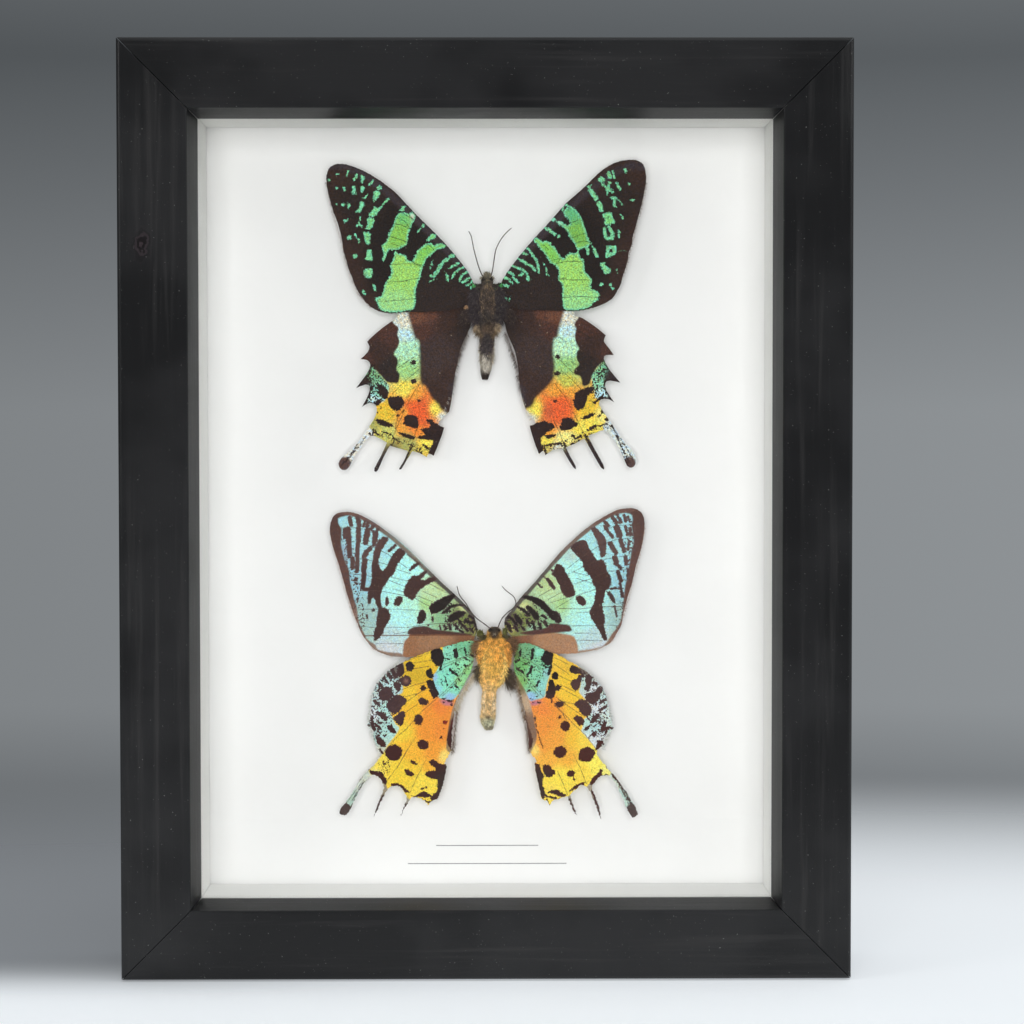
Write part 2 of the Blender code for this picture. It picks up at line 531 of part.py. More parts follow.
def body_form(name, moth, stations, finish):
    """Head, thorax and abdomen in one closed loft along the stations."""
    shape = bmesh.new()
    rings = []
    for across, up, half_width, half_depth in stations:
        ring = []
        for side in range(BODY_SIDES):
            angle = 2 * math.pi * side / BODY_SIDES
            spot = place(
                moth[0] + across + half_width * math.cos(angle),
                CARD_FRONT - BODY_HEIGHT + half_depth * math.sin(angle),
                moth[1] + up,
            )
            ring.append(shape.verts.new(spot))
        rings.append(ring)
    for first, second in zip(rings, rings[1:]):
        bmesh.ops.bridge_loops(
            shape,
            edges=[
                shape.edges.new((ring[i - 1], ring[i]))
                if shape.edges.get((ring[i - 1], ring[i])) is None
                else shape.edges.get((ring[i - 1], ring[i]))
                for ring in (first, second)
                for i in range(BODY_SIDES)
            ],
        )
    shape.faces.new(rings[0])
    shape.faces.new(rings[-1])
    return add(name, mesh_of(shape, name), finish)


def eye(name, centre):
    shape = bmesh.new()
    bmesh.ops.create_uvsphere(shape, u_segments=12, v_segments=8, radius=EYE_RADIUS * MM)
    made = add(name, mesh_of(shape, name), BLACK_FUR, cutters)
    made.location = centre
    return as_helper(made)


def antenna(name, moth, points):
    curve = bpy.data.curves.new(name, "CURVE")
    curve.dimensions = "3D"
    curve.bevel_depth = ANTENNA_RADIUS * MM
    curve.bevel_resolution = 1
    curve.use_fill_caps = True
    spline = curve.splines.new("POLY")
    spline.points.add(len(points) - 1)
    for point, (across, up, over_card) in zip(spline.points, points):
        point.co = (*place(moth[0] + across, CARD_FRONT - over_card, moth[1] + up), 1.0)
    made = bpy.data.objects.new(name, curve)
    cutters.objects.link(made)
    return as_helper(as_mesh(made))


def body(name, moth, stations, antennae, eye_up, finish):
    made = body_form(name, moth, stations, finish)
    for side, points in zip(("left", "right"), antennae):
        boolean(made, antenna(f"{name}_antenna_{side}", moth, points), "UNION")
    for side, across in (("left", -0.85), ("right", 0.85)):
        centre = place(moth[0] + across, CARD_FRONT - BODY_HEIGHT - 0.5, moth[1] + eye_up)
        boolean(made, eye(f"{name}_eye_{side}", centre), "UNION")
    return made


def build_moths():
    """The upper moth shows its back, with the forewings nearer, and the lower one its underside."""
    body(
        "upper_moth_body",
        UPPER_MOTH,
        UPPER_BODY,
        (UPPER_ANTENNA_LEFT, UPPER_ANTENNA_RIGHT),
        6.5,
        BLACK_FUR,
    )
    body(
        "lower_moth_body",
        LOWER_MOTH,
        LOWER_BODY,
        (LOWER_ANTENNA_LEFT, LOWER_ANTENNA_RIGHT),
        8.4,
        ORANGE_FUR,
    )
    near, far = NEAR_WING_HEIGHT, FAR_WING_HEIGHT
    for name, moth, outline, over_card, finish in (
        ("upper_forewing_left", UPPER_MOTH, UPPER_FOREWING_LEFT, near, BLACK_GREEN_WING),
        ("upper_forewing_right", UPPER_MOTH, UPPER_FOREWING_RIGHT, near, BLACK_GREEN_WING),
        ("upper_hindwing_left", UPPER_MOTH, UPPER_HINDWING_LEFT, far, ORANGE_WING),
        ("upper_hindwing_right", UPPER_MOTH, UPPER_HINDWING_RIGHT, far, ORANGE_WING),
        ("lower_forewing_left", LOWER_MOTH, LOWER_FOREWING_LEFT, far, BLUE_WING),
        ("lower_forewing_right", LOWER_MOTH, LOWER_FOREWING_RIGHT, far, BLUE_WING),
        ("lower_hindwing_left", LOWER_MOTH, LOWER_HINDWING_LEFT, near, YELLOW_WING),
        ("lower_hindwing_right", LOWER_MOTH, LOWER_HINDWING_RIGHT, near, YELLOW_WING),
    ):
        wing(name, moth, outline, over_card, finish)


frame_rails = build_frame()
build_insert()
build_tabs(frame_rails)
build_hanger()
build_moths()
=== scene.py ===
"""Looks of the framed sunset moths: paint, glass, card, scaled wings and fur.

Metres, +Z up, the glass faces -Y. Values below are in millimetres unless said
otherwise. Wing points are across and up from the middle of the moth, as seen
from the front.
"""

import math
import random

import bmesh
import bpy
import numpy as np
from mathutils import Matrix, Vector, geometry


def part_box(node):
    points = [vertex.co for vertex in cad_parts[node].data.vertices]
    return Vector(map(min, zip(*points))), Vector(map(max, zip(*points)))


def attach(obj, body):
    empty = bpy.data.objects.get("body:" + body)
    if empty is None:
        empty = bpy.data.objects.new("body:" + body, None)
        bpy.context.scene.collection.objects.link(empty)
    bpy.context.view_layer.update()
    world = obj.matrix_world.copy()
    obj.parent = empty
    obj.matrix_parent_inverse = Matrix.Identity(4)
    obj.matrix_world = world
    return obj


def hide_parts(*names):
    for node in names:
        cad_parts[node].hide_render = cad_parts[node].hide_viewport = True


MM = 0.001

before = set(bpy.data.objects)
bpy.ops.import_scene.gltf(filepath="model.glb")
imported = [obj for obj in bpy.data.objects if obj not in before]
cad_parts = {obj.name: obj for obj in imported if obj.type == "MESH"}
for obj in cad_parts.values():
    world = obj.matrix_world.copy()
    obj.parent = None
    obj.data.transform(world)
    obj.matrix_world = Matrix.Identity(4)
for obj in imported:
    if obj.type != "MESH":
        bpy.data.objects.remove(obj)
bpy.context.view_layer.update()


def low_high(node):
    """A node's lowest and highest corners in millimetres."""
    low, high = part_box(node)
    return Vector(low) / MM, Vector(high) / MM


RAIL_LOW, RAIL_HIGH = low_high("rail_left")
CARD_LOW, CARD_HIGH = low_high("backing_card")
BOTTOM_LOW, BOTTOM_HIGH = low_high("rail_bottom")
FRONT = RAIL_LOW.y
REAR = RAIL_HIGH.y
CARD_FACE = CARD_LOW.y
HALF_WIDTH = -RAIL_LOW.x
HEIGHT = RAIL_HIGH.z
RAIL = RAIL_HIGH.x - RAIL_LOW.x

# Section of a rail, inwards from its outer side and back from the front
OUTER_WALL = 14.0
LIP_DEPTH = 7.0
LIP_SLOPE = 1.8
LIP_EDGE = 0.4
FRONT_ROUND = 1.2
LIP_ROUND = 0.5
MITRE_GAP = 0.12
LIP_BEVEL = 0.6
ROUND_STEPS = 8

# How finely a rail is divided along its length, and how uneven its front face is
RAIL_STEPS = 60
DENT = 0.05
DENTED_DEPTH = 1.0

# A knot in the front face of the left rail. Heights off its middle count by a factor, so that
# it is taller than wide. Its core and edge are in metres.
KNOT = Vector((-84.4, -18.0, 181.7))
KNOT_HEIGHT_FACTOR = 0.6
KNOT_CORE = 0.0016
KNOT_EDGE = 0.0044

# Ruled lines on the card: name, left end, right end, height up
RULED_LINES = (("short", -13.1, 13.3, 28.9), ("long", -20.4, 20.6, 24.2))
LINE_HALF = 0.11
LINE_BACK = 0.003
LINE_FRONT = 0.03

# Camera: focal length on a 36 mm wide picture, place, and turns in degrees
CAMERA_LENS = 85.58
PICTURE_WIDTH = 36.0
CAMERA_PLACE = Vector((2.25, -617.1, 135.3))
CAMERA_DOWN = -1.845
CAMERA_ROLL = 0.052
CAMERA_TURN = -0.40

# Floor: radius, and how far it lies below the frame
FLOOR_RADIUS = 800.0
FLOOR_DROP = 0.4

# Lights in metres and watts: name, place, aim, size, power, and whether glass and metal mirror it
LIGHTS = (
    ("front_soft", (-0.02, -1.3, 0.16), (0.0, 0.0, 0.12), 0.9, 14.5, False),
    ("front_left", (-0.85, -0.55, 0.45), (0.0, 0.0, 0.12), 0.35, 1.5, True),
    ("over", (0.05, -0.4, 1.1), (0.0, 0.0, 0.12), 0.5, 0.7, True),
    ("right_edge", (0.8, -0.3, 0.5), (0.0, 0.0, 0.15), 0.3, 1.1, True),
)

# Sky: position in the ramp from low to high, and grey from 0 to 255
SKY_STOPS = (
    (0.0, 110), (0.13, 110), (0.16, 120), (0.19, 138), (0.31, 138), (0.395, 111), (0.451, 89),
    (0.475, 100), (0.6, 100), (0.72, 190),
)

# Moths: where each one's middle is, across and up
UPPER_MOTH = Vector((0.3, 168.1))
LOWER_MOTH = Vector((2.0, 76.4))


def put(across, over_card, up):
    """A point in metres from millimetres across, towards the viewer off the card, and up."""
    return Vector((across, CARD_FACE - over_card, up)) * MM


def camera():
    """A camera 600 mm in front of the frame, a little above its middle, looking slightly down."""
    lens = bpy.data.cameras.new("camera")
    lens.lens = CAMERA_LENS
    lens.sensor_width = PICTURE_WIDTH
    lens.clip_start = 0.01
    made = bpy.data.objects.new("camera", lens)
    bpy.context.scene.collection.objects.link(made)
    aim = Matrix.Rotation(math.radians(CAMERA_TURN), 4, "Z")
    aim = aim @ Matrix.Rotation(math.radians(CAMERA_ROLL), 4, "Y")
    aim = aim @ Matrix.Rotation(math.radians(CAMERA_DOWN), 4, "X")
    level = Matrix.Rotation(math.radians(90), 4, "X")
    made.matrix_world = Matrix.Translation(CAMERA_PLACE * MM) @ aim @ level
    bpy.context.scene.camera = made


def node(tree, kind, inputs=None, **settings):
    """A shader node with its settings, and its inputs set or linked."""
    made = tree.nodes.new("ShaderNode" + kind)
    for key, value in settings.items():
        setattr(made, key, value)
    for key, value in (inputs or {}).items():
        if isinstance(value, bpy.types.NodeSocket):
            tree.links.new(value, made.inputs[key])
        else:
            made.inputs[key].default_value = value
    return made


def calc(tree, operation, *values):
    """A Math node on sockets or numbers."""
    inputs = dict(enumerate(values))
    return node(tree, "Math", inputs, operation=operation).outputs[0]


def blend(tree, factor, first, second, mode="MIX"):
    """A colour between two colours, each a socket or three numbers."""
    colours = [(*c, 1.0) if isinstance(c, tuple) and len(c) == 3 else c for c in (first, second)]
    made = node(
        tree, "Mix", {0: factor, 6: colours[0], 7: colours[1]}, data_type="RGBA", blend_type=mode
    )
    return made.outputs[2]


def place_of(tree):
    """Where a point lies on its own object, in metres."""
    return node(tree, "TexCoord").outputs["Object"]


def noise(tree, vector, scale, detail=2.0, roughness=0.5, distortion=0.0):
    """Cloudy values around a half, the finer the larger the scale."""
    inputs = {
        "Vector": vector,
        "Scale": scale,
        "Detail": detail,
        "Roughness": roughness,
        "Distortion": distortion,
    }
    return node(tree, "TexNoise", inputs).outputs[0]


def stretch(tree, vector, across, deep, up):
    """Texture coordinates with their own scale along each axis."""
    return node(tree, "Mapping", {"Vector": vector, "Scale": (across, deep, up)}).outputs[0]


def span(tree, value, low, high, to_low=0.0, to_high=1.0):
    """A value moved from one range to another with a smooth start and end."""
    inputs = {"Value": value, "From Min": low, "From Max": high, "To Min": to_low, "To Max": to_high}
    return node(tree, "MapRange", inputs, interpolation_type="SMOOTHSTEP").outputs[0]


def bump(tree, height, distance, strength=1.0):
    """A normal that makes the height show as relief."""
    inputs = {"Height": height, "Distance": distance, "Strength": strength}
    return node(tree, "Bump", inputs).outputs[0]


def new_material(name, roughness, metallic=0.0):
    """A new material, its node tree and its shader."""
    made = bpy.data.materials.new(name)
    made.use_nodes = True
    shader = made.node_tree.nodes["Principled BSDF"]
    shader.inputs["Roughness"].default_value = roughness
    shader.inputs["Metallic"].default_value = metallic
    return made, made.node_tree, shader


def wire(tree, shader, **sockets):
    """Link sockets to the shader's inputs. An input's name has _ for each space."""
    for name, socket in sockets.items():
        tree.links.new(socket, shader.inputs[name.replace("_", " ")])


def linear(red, green, blue):
    """A linear colour from the usual 0 to 255 values."""
    return tuple(
        c / 12.92 if c <= 0.04045 else ((c + 0.055) / 1.055) ** 2.4
        for c in (red / 255, green / 255, blue / 255)
    )


def knotted(tree, spot, paint):
    """The paint with a brown ringed knot in it."""
    away = node(tree, "VectorMath", {0: spot, 1: KNOT * MM}, operation="SUBTRACT").outputs[0]
    upright = stretch(tree, away, 1.0, 1.0, KNOT_HEIGHT_FACTOR)
    off = node(tree, "VectorMath", {0: upright}, operation="LENGTH").outputs["Value"]
    uneven = calc(tree, "MULTIPLY", noise(tree, spot, 640.0, 3.0), 0.0026)
    ragged = calc(tree, "ADD", off, uneven)
    knot = span(tree, ragged, KNOT_CORE, KNOT_EDGE, 0.9, 0.0)
    rings = span(tree, calc(tree, "SINE", calc(tree, "MULTIPLY", ragged, 5200.0)), -0.4, 0.8)
    return blend(tree, knot, paint, blend(tree, rings, linear(14, 9, 11), linear(46, 38, 41)))


def black_paint(along_z):
    """Satin black paint over wood, with the grain along the rail, a few scuffs and specks."""
    made, tree, shader = new_material("black_paint_" + ("z" if along_z else "x"), 0.42)
    spot = place_of(tree)
    long, cross = 14.0, 420.0
    grain_scale = (cross, cross, long) if along_z else (long, cross, cross)
    grain = noise(tree, stretch(tree, spot, *grain_scale), 1.0, 6.0, 0.62, 0.25)
    wide = noise(tree, spot, 26.0, 3.0, 0.55)
    worn = span(tree, grain, 0.50, 0.74)
    patchy = span(tree, wide, 0.42, 0.66)
    paint = blend(tree, patchy, linear(17, 17, 18), linear(29, 29, 30))
    streaked = blend(tree, calc(tree, "MULTIPLY", worn, 0.5), paint, linear(46, 45, 45))
    brown = knotted(tree, spot, streaked)
    dust = noise(tree, spot, 2600.0, 1.0, 0.5)
    speck = span(tree, dust, 0.775, 0.80, 0.0, 0.55)
    wire(tree, shader, Base_Color=blend(tree, speck, brown, linear(150, 150, 148)))
    matt = calc(tree, "MULTIPLY_ADD", grain, 0.22, 0.30)
    relief = calc(tree, "ADD", grain, calc(tree, "MULTIPLY", noise(tree, spot, 700.0, 3.0), 0.35))
    wire(tree, shader, Roughness=matt, Normal=bump(tree, relief, 0.00012, 0.55))
    shader.inputs["Specular IOR Level"].default_value = 0.34
    return made


def clear_glass():
    """Clear window glass."""
    made, _, shader = new_material("clear_glass", 0.0)
    shader.inputs["Base Color"].default_value = (1.0, 1.0, 1.0, 1.0)
    shader.inputs["Transmission Weight"].default_value = 1.0
    shader.inputs["IOR"].default_value = 1.52
    return made


def white_board(name, tint):
    """Matt white card with a fine fibre tooth."""
    made, tree, shader = new_material(name, 0.92)
    spot = place_of(tree)
    tooth = noise(tree, spot, 5200.0, 3.0, 0.6)
    cloudy = noise(tree, spot, 30.0, 2.0)
    pale = blend(tree, span(tree, cloudy, 0.3, 0.7), tint, tuple(c * 0.975 for c in tint))
    shaded = blend(tree, calc(tree, "MULTIPLY", tooth, 0.05), pale, linear(205, 205, 200))
    wire(tree, shader, Base_Color=shaded)
    wire(tree, shader, Normal=bump(tree, tooth, 0.00002, 0.2))
    shader.inputs["Specular IOR Level"].default_value = 0.2
    return made


def brown_board():
    """Fibre board: short dark and pale fibres lying every way."""
    made, tree, shader = new_material("brown_board", 0.85)
    spot = place_of(tree)
    one = noise(tree, stretch(tree, spot, 260.0, 900.0, 2100.0), 1.0, 4.0, 0.6, 0.6)
    two = noise(tree, stretch(tree, spot, 2100.0, 900.0, 260.0), 1.0, 4.0, 0.6, 0.6)
    fibres = calc(tree, "MULTIPLY", calc(tree, "ADD", one, two), 0.5)
    warm = blend(tree, span(tree, fibres, 0.38, 0.62), linear(112, 80, 54), linear(166, 128, 92))
    stain = span(tree, noise(tree, spot, 22.0, 3.0), 0.4, 0.7, 0.0, 0.35)
    wire(tree, shader, Base_Color=blend(tree, stain, warm, linear(104, 74, 50)))
    wire(tree, shader, Normal=bump(tree, fibres, 0.00008, 0.6))
    return made


def metal(name, tint, dull, rough):
    """Stamped metal, brushed along its length, with a dull bloom."""
    made, tree, shader = new_material(name, rough, 1.0)
    spot = place_of(tree)
    brushed = noise(tree, stretch(tree, spot, 300.0, 5000.0, 5000.0), 1.0, 3.0, 0.6)
    bloom = span(tree, noise(tree, spot, 420.0, 4.0, 0.65), 0.4, 0.7)
    wire(tree, shader, Base_Color=blend(tree, bloom, tint, dull))
    wire(tree, shader, Roughness=calc(tree, "MULTIPLY_ADD", bloom, 0.25, rough))
    wire(tree, shader, Normal=bump(tree, brushed, 0.00002, 0.5))
    return made


def joined(name, points, faces, finish, smooth=True):
    """A mesh object in metres, riding on the frame."""
    mesh = bpy.data.meshes.new(name)
    mesh.from_pydata([tuple(p) for p in points], [], faces)
    mesh.materials.append(finish)
    made = bpy.data.objects.new(name, mesh)
    bpy.context.scene.collection.objects.link(made)
    if smooth:
        mesh.shade_smooth()
        mesh.set_sharp_from_angle(angle=math.radians(40))
    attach(made, "root")
    return made


def arc(centre, radius, start, end):
    """Points on an arc between two angles in degrees."""
    angles = [math.radians(start + (end - start) * i / ROUND_STEPS) for i in range(ROUND_STEPS + 1)]
    return [(centre[0] + radius * math.cos(a), centre[1] + radius * math.sin(a)) for a in angles]


def rail_section():
    """(inwards, behind the front) around the rail's section."""
    lip_top = RAIL - LIP_SLOPE - LIP_ROUND
    return [
        *arc((FRONT_ROUND, FRONT_ROUND), FRONT_ROUND, 180, 270),
        *arc((lip_top, LIP_ROUND), LIP_ROUND, 270, 345),
        *arc((RAIL - LIP_EDGE, LIP_DEPTH - LIP_BEVEL), LIP_EDGE, 345, 360)[1:],
        (RAIL, LIP_DEPTH),
        (OUTER_WALL, LIP_DEPTH),
        (OUTER_WALL, REAR - FRONT),
        (0.0, REAR - FRONT),
    ]


def rail(name, length, reach, turn, finish):
    """A rail with its section swept along it, the ends mitred and the faces very slightly uneven."""
    section = rail_section()
    wander = random.Random(name)
    waves = [(wander.uniform(0.02, 0.09), wander.uniform(0.0, 6.3)) for _ in range(4)]
    turned = Matrix.Rotation(math.radians(turn), 4, "Y")
    middle = Vector((0.0, 0.0, HEIGHT / 2))
    points = []
    for step in range(RAIL_STEPS + 1):
        along = 2.0 * step / RAIL_STEPS - 1.0
        for inward, behind in section:
            half = length / 2 - inward - MITRE_GAP
            up = along * half
            sway = sum(math.sin(up * pace + start) for pace, start in waves) / 4
            dent = DENT * (1.0 + sway) if behind < DENTED_DEPTH else 0.0
            spot = Vector((inward - reach / 2, FRONT + behind + dent, up))
            points.append((turned @ spot + middle) * MM)
    around = len(section)
    faces = []
    for step in range(RAIL_STEPS):
        for side in range(around):
            a = step * around + side
            b = step * around + (side + 1) % around
            faces.append((a, b, b + around, a + around))
    faces.append(tuple(range(around))[::-1])
    faces.append(tuple(RAIL_STEPS * around + side for side in range(around)))
    made = joined(name + "_painted", points, faces, finish)
    fix_normals(made)
    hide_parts(name)


def fix_normals(made):
    """Turn the faces of a closed mesh outwards."""
    shape = bmesh.new()
    shape.from_mesh(made.data)
    bmesh.ops.recalc_face_normals(shape, faces=shape.faces)
    shape.to_mesh(made.data)
    shape.free()


def dress(name, finish):
    """A better finish for a CAD node that keeps its shape."""
    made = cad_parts[name]
    for held in made.material_slots:
        held.link = "OBJECT"
        held.material = finish


def build_box():
    """The frame: painted rails, glass, white strips and card, brown board and its metal parts."""
    upright, level = black_paint(True), black_paint(False)
    rail("rail_left", HEIGHT, 2 * HALF_WIDTH, 0, upright)
    rail("rail_top", 2 * HALF_WIDTH, HEIGHT, 90, level)
    rail("rail_right", HEIGHT, 2 * HALF_WIDTH, 180, upright)
    rail("rail_bottom", 2 * HALF_WIDTH, HEIGHT, 270, level)
    dress("glass_pane", clear_glass())
    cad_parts["glass_pane"].visible_shadow = False
    strip = white_board("white_strip", linear(236, 236, 233))
    for side in ("left", "right", "top", "bottom"):
        dress("spacer_" + side, strip)
    dress("backing_card", white_board("white_card", linear(244, 244, 242)))
    dress("back_board", brown_board())
    zinc = metal("zinc", linear(196, 196, 194), linear(140, 140, 138), 0.32)
    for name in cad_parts:
        if name.startswith("board_tab"):
            dress(name, zinc)
    brass = metal("brass", linear(206, 176, 112), linear(150, 118, 70), 0.30)
    for name in ("sawtooth_hanger", "hanger_rivet_left", "hanger_rivet_right"):
        dress(name, brass)
    build_ruled_lines()


def build_ruled_lines():
    """Two thin grey lines, printed one above the other low on the card."""
    made, tree, shader = new_material("grey_ink", 0.8)
    worn = noise(tree, place_of(tree), 3500.0, 2.0)
    grey = blend(tree, span(tree, worn, 0.4, 0.8), linear(120, 120, 118), linear(170, 170, 168))
    wire(tree, shader, Base_Color=grey)
    for name, left, right, up in RULED_LINES:
        low, high = up - LINE_HALF, up + LINE_HALF
        rim = [(left, low), (right, low), (right, high), (left, high)]
        points = [put(x, over, z) for over in (LINE_BACK, LINE_FRONT) for x, z in rim]
        faces = [(0, 3, 2, 1), (4, 5, 6, 7)]
        faces += [(i, (i + 1) % 4, 4 + (i + 1) % 4, 4 + i) for i in range(4)]
        line = joined("ruled_line_" + name, points, faces, made, smooth=False)
        fix_normals(line)


def build_floor():
    """A pale floor that fades away from the frame, with the frame's shadow painted on it behind and
    to the left, and a painted glow.
    """
    made, tree, shader = new_material("floor", 0.9)
    across, along, _ = node(tree, "SeparateXYZ", {0: place_of(tree)}).outputs
    wide = calc(tree, "MULTIPLY", across, 0.4)
    squares = [calc(tree, "MULTIPLY", part, part) for part in (wide, along)]
    off = calc(tree, "SQRT", calc(tree, "ADD", *squares))
    # Painted shadow of the frame: the floor's colour darkens behind the frame and to its left.
    to_left = span(tree, across, -0.1, 0.02, 1.0, 0.0)
    behind = span(tree, along, -0.045, 0.012)
    shaded = calc(tree, "MULTIPLY", to_left, behind)
    wire(tree, shader, Alpha=span(tree, off, 0.08, 0.36, 1.0, 0.0))
    wire(tree, shader, Base_Color=blend(tree, shaded, linear(226, 228, 229), linear(116, 119, 123)))
    # The floor glows faintly: painted light, dimmer inside the painted shadow.
    wire(tree, shader, Emission_Strength=span(tree, shaded, 0.0, 1.0, 0.36, 0.12))
    shader.inputs["Emission Color"].default_value = (0.9, 0.95, 1.0, 1.0)
    shader.inputs["Specular IOR Level"].default_value = 0.0
    shape = bmesh.new()
    bmesh.ops.create_circle(shape, cap_ends=True, segments=96, radius=FLOOR_RADIUS * MM)
    mesh = bpy.data.meshes.new("floor")
    shape.to_mesh(mesh)
    shape.free()
    mesh.materials.append(made)
    floor = bpy.data.objects.new("floor", mesh)
    floor.location = (0.0, 0.0, -FLOOR_DROP * MM)
    bpy.context.scene.collection.objects.link(floor)


def build_lights():
    """Soft light from the front and above."""
    for name, place, aim, size, watts, mirrored_light in LIGHTS:
        light = bpy.data.lights.new(name, "AREA")
        light.size = size
        light.energy = watts
        lamp = bpy.data.objects.new(name, light)
        bpy.context.scene.collection.objects.link(lamp)
        lamp.location = place
        lamp.rotation_euler = (Vector(aim) - Vector(place)).to_track_quat("-Z", "Y").to_euler()
        lamp.visible_camera = False
        lamp.visible_glossy = mirrored_light
        lamp.visible_transmission = mirrored_light


def build_sky():
    """Grey light all around, banded by height, and dark where the glass mirrors it."""
    world = bpy.data.worlds.new("studio")
    bpy.context.scene.world = world
    world.use_nodes = True
    tree = world.node_tree
    direction = node(tree, "TexCoord").outputs["Generated"]
    side, away, height = node(tree, "SeparateXYZ", {0: direction}).outputs
    grey = node(tree, "ValToRGB", {0: calc(tree, "ADD", height, 0.3)})
    ramp = grey.color_ramp
    for i, (stop, level) in enumerate(SKY_STOPS):
        if i > 1:
            ramp.elements.new(stop)
        ramp.elements[i].position = stop
        ramp.elements[i].color = (*linear(level - 3, level + 1, level + 4), 1.0)
    lift = calc(tree, "MULTIPLY_ADD", side, 0.5, 1.0)
    front = span(tree, away, -0.99, -0.9, 0.25, 1.0)
    back = node(tree, "Background", {0: grey.outputs[0], 1: calc(tree, "MULTIPLY", lift, front)})
    tree.links.new(back.outputs[0], tree.nodes["World Output"].inputs[0])
    bpy.context.scene.view_settings.view_transform = "Standard"


# How finely a wing is meshed, and how thick and wavy it is
POINT_SPACING = 0.27
WING_HALF_THICKNESS = 0.06
PLEAT = 0.07
CAMBER = 0.10
PLEATS_TURN = 26.0
WING_REACH = 42.0
RAGGED = 0.05
FRINGE_HALF_WIDTH = 0.022

# Far outside every mark, and far from every vein
OUTSIDE = -9.0
FAR = 9.0

# Wing colours
NIGHT = linear(40, 34, 32)
SOOT = linear(50, 41, 38)
UMBER = linear(62, 46, 41)
CHESTNUT = linear(78, 53, 46)
RUST = linear(108, 72, 56)
DUSTY = linear(64, 55, 58)
BLACK_MARK = linear(50, 37, 35)
LEAF = linear(134, 206, 96)
MINT = linear(140, 222, 150)
SEA = linear(128, 214, 168)
JADE = linear(112, 170, 112)
ICE = linear(196, 230, 232)
FROST = linear(214, 222, 224)
CREAM = linear(222, 222, 205)
BUTTER = linear(250, 238, 140)
LEMON = linear(246, 226, 92)
GOLD = linear(236, 196, 62)
AMBER = linear(240, 164, 66)
ORANGE = linear(238, 140, 56)
FLAME = linear(232, 100, 54)
MOSS = linear(180, 176, 96)


def softened(points):
    """The same outline with its corners cut a little."""
    made = []
    for i, here in enumerate(points):
        there = points[(i + 1) % len(points)]
        for part in (0.18, 0.82):
            x = here[0] + (there[0] - here[0]) * part
            y = here[1] + (there[1] - here[1]) * part
            made.append((x, y))
    return made


def away_from(spots, line, closed=False):
    """How far each spot is from a line."""
    ends = np.array([p[:2] for p in line], dtype=float)
    start = ends if closed else ends[:-1]
    reach = (np.roll(ends, -1, axis=0) if closed else ends[1:]) - start
    off = spots[:, None] - start[None]
    part = np.clip((off * reach).sum(-1) / np.maximum((reach**2).sum(-1), 1e-9), 0.0, 1.0)
    return np.sqrt(((off - part[..., None] * reach) ** 2).sum(-1)).min(1)


def depth_in(spots, outline):
    """How far each spot lies inside an outline, negative outside it."""
    ends = np.array([p[:2] for p in outline], dtype=float)
    nexts = np.roll(ends, -1, axis=0)
    x, y = spots[:, :1], spots[:, 1:]
    straddles = (ends[:, 1] > y) != (nexts[:, 1] > y)
    rise = np.where(nexts[:, 1] == ends[:, 1], 1e-9, nexts[:, 1] - ends[:, 1])
    cross = ends[:, 0] + (y - ends[:, 1]) / rise * (nexts[:, 0] - ends[:, 0])
    inside = (straddles & (x < cross)).sum(1) % 2 == 1
    away = away_from(spots, outline, closed=True)
    return np.where(inside, away, -away)


def marks_depth(spots, marks):
    """How far each spot lies inside the nearest of several marks.

    A mark is an outline, a spot (x, y, half width, half height, tilt) or a
    stroke ("line", half width, point, point, ...).
    """
    deepest = np.full(len(spots), OUTSIDE)
    for mark in marks:
        if mark[0] == "line":
            depth = mark[1] - away_from(spots, mark[2:])
        elif isinstance(mark[0], tuple):
            depth = depth_in(spots, softened(mark))
        else:
            x, y, wide, high, tilt = mark
            turn = math.radians(tilt)
            off = spots - (x, y)
            u = (off[:, 0] * math.cos(turn) + off[:, 1] * math.sin(turn)) / wide
            v = (off[:, 1] * math.cos(turn) - off[:, 0] * math.sin(turn)) / high
            depth = (1.0 - np.sqrt(u**2 + v**2)) * min(wide, high)
        deepest = np.maximum(deepest, depth)
    return deepest


def field(spots, stops):
    """Soft colours between stops (x, y, reach, colour), the nearest counting most."""
    total = np.full((len(spots), 1), 1e-12)
    colour = np.zeros((len(spots), 3))
    for x, y, reach, tint in stops:
        away = ((spots - (x, y)) ** 2).sum(1, keepdims=True) / reach**2
        weight = 1.0 / (0.05 + away**2)
        total += weight
        colour += weight * np.array(tint)
    return colour / total


def step_up(values, low, high):
    """A column that runs smoothly from 0 to 1 as the values run from low to high."""
    part = np.clip((values - low) / (high - low), 0.0, 1.0)
    return (part * part * (3.0 - 2.0 * part))[:, None]


def painted(spots, layers):
    """Ground colours, from the first layer up. A layer is (marks, stops, softness)."""
    colour = np.zeros((len(spots), 3))
    for marks, stops, soft in layers:
        cover = 1.0 if marks is None else step_up(marks_depth(spots, marks), -soft, soft)
        colour = colour * (1.0 - cover) + field(spots, stops) * cover
    return colour


def rim_of(name, moth):
    """The outline of a wing's solid, around its front face."""
    shape = bmesh.new()
    shape.from_mesh(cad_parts[name].data)
    bmesh.ops.remove_doubles(shape, verts=shape.verts, dist=1e-7)
    shape.normal_update()
    links = {}
    for edge in shape.edges:
        facing = [face.normal.y < -0.9 for face in edge.link_faces]
        if sum(facing) == 1:
            for here, there in (tuple(edge.verts), tuple(edge.verts)[::-1]):
                links.setdefault(here, []).append(there)
    start = next(iter(links))
    walk = [start, links[start][0]]
    while len(walk) < len(links):
        one, two = links[walk[-1]]
        walk.append(two if one is walk[-2] else one)
    rim = [Vector((v.co.x, v.co.z)) / MM - moth for v in walk]
    low, high = (f(v.co.y for v in shape.verts) / MM for f in (min, max))
    shape.free()
    return rim, CARD_FACE - (low + high) / 2


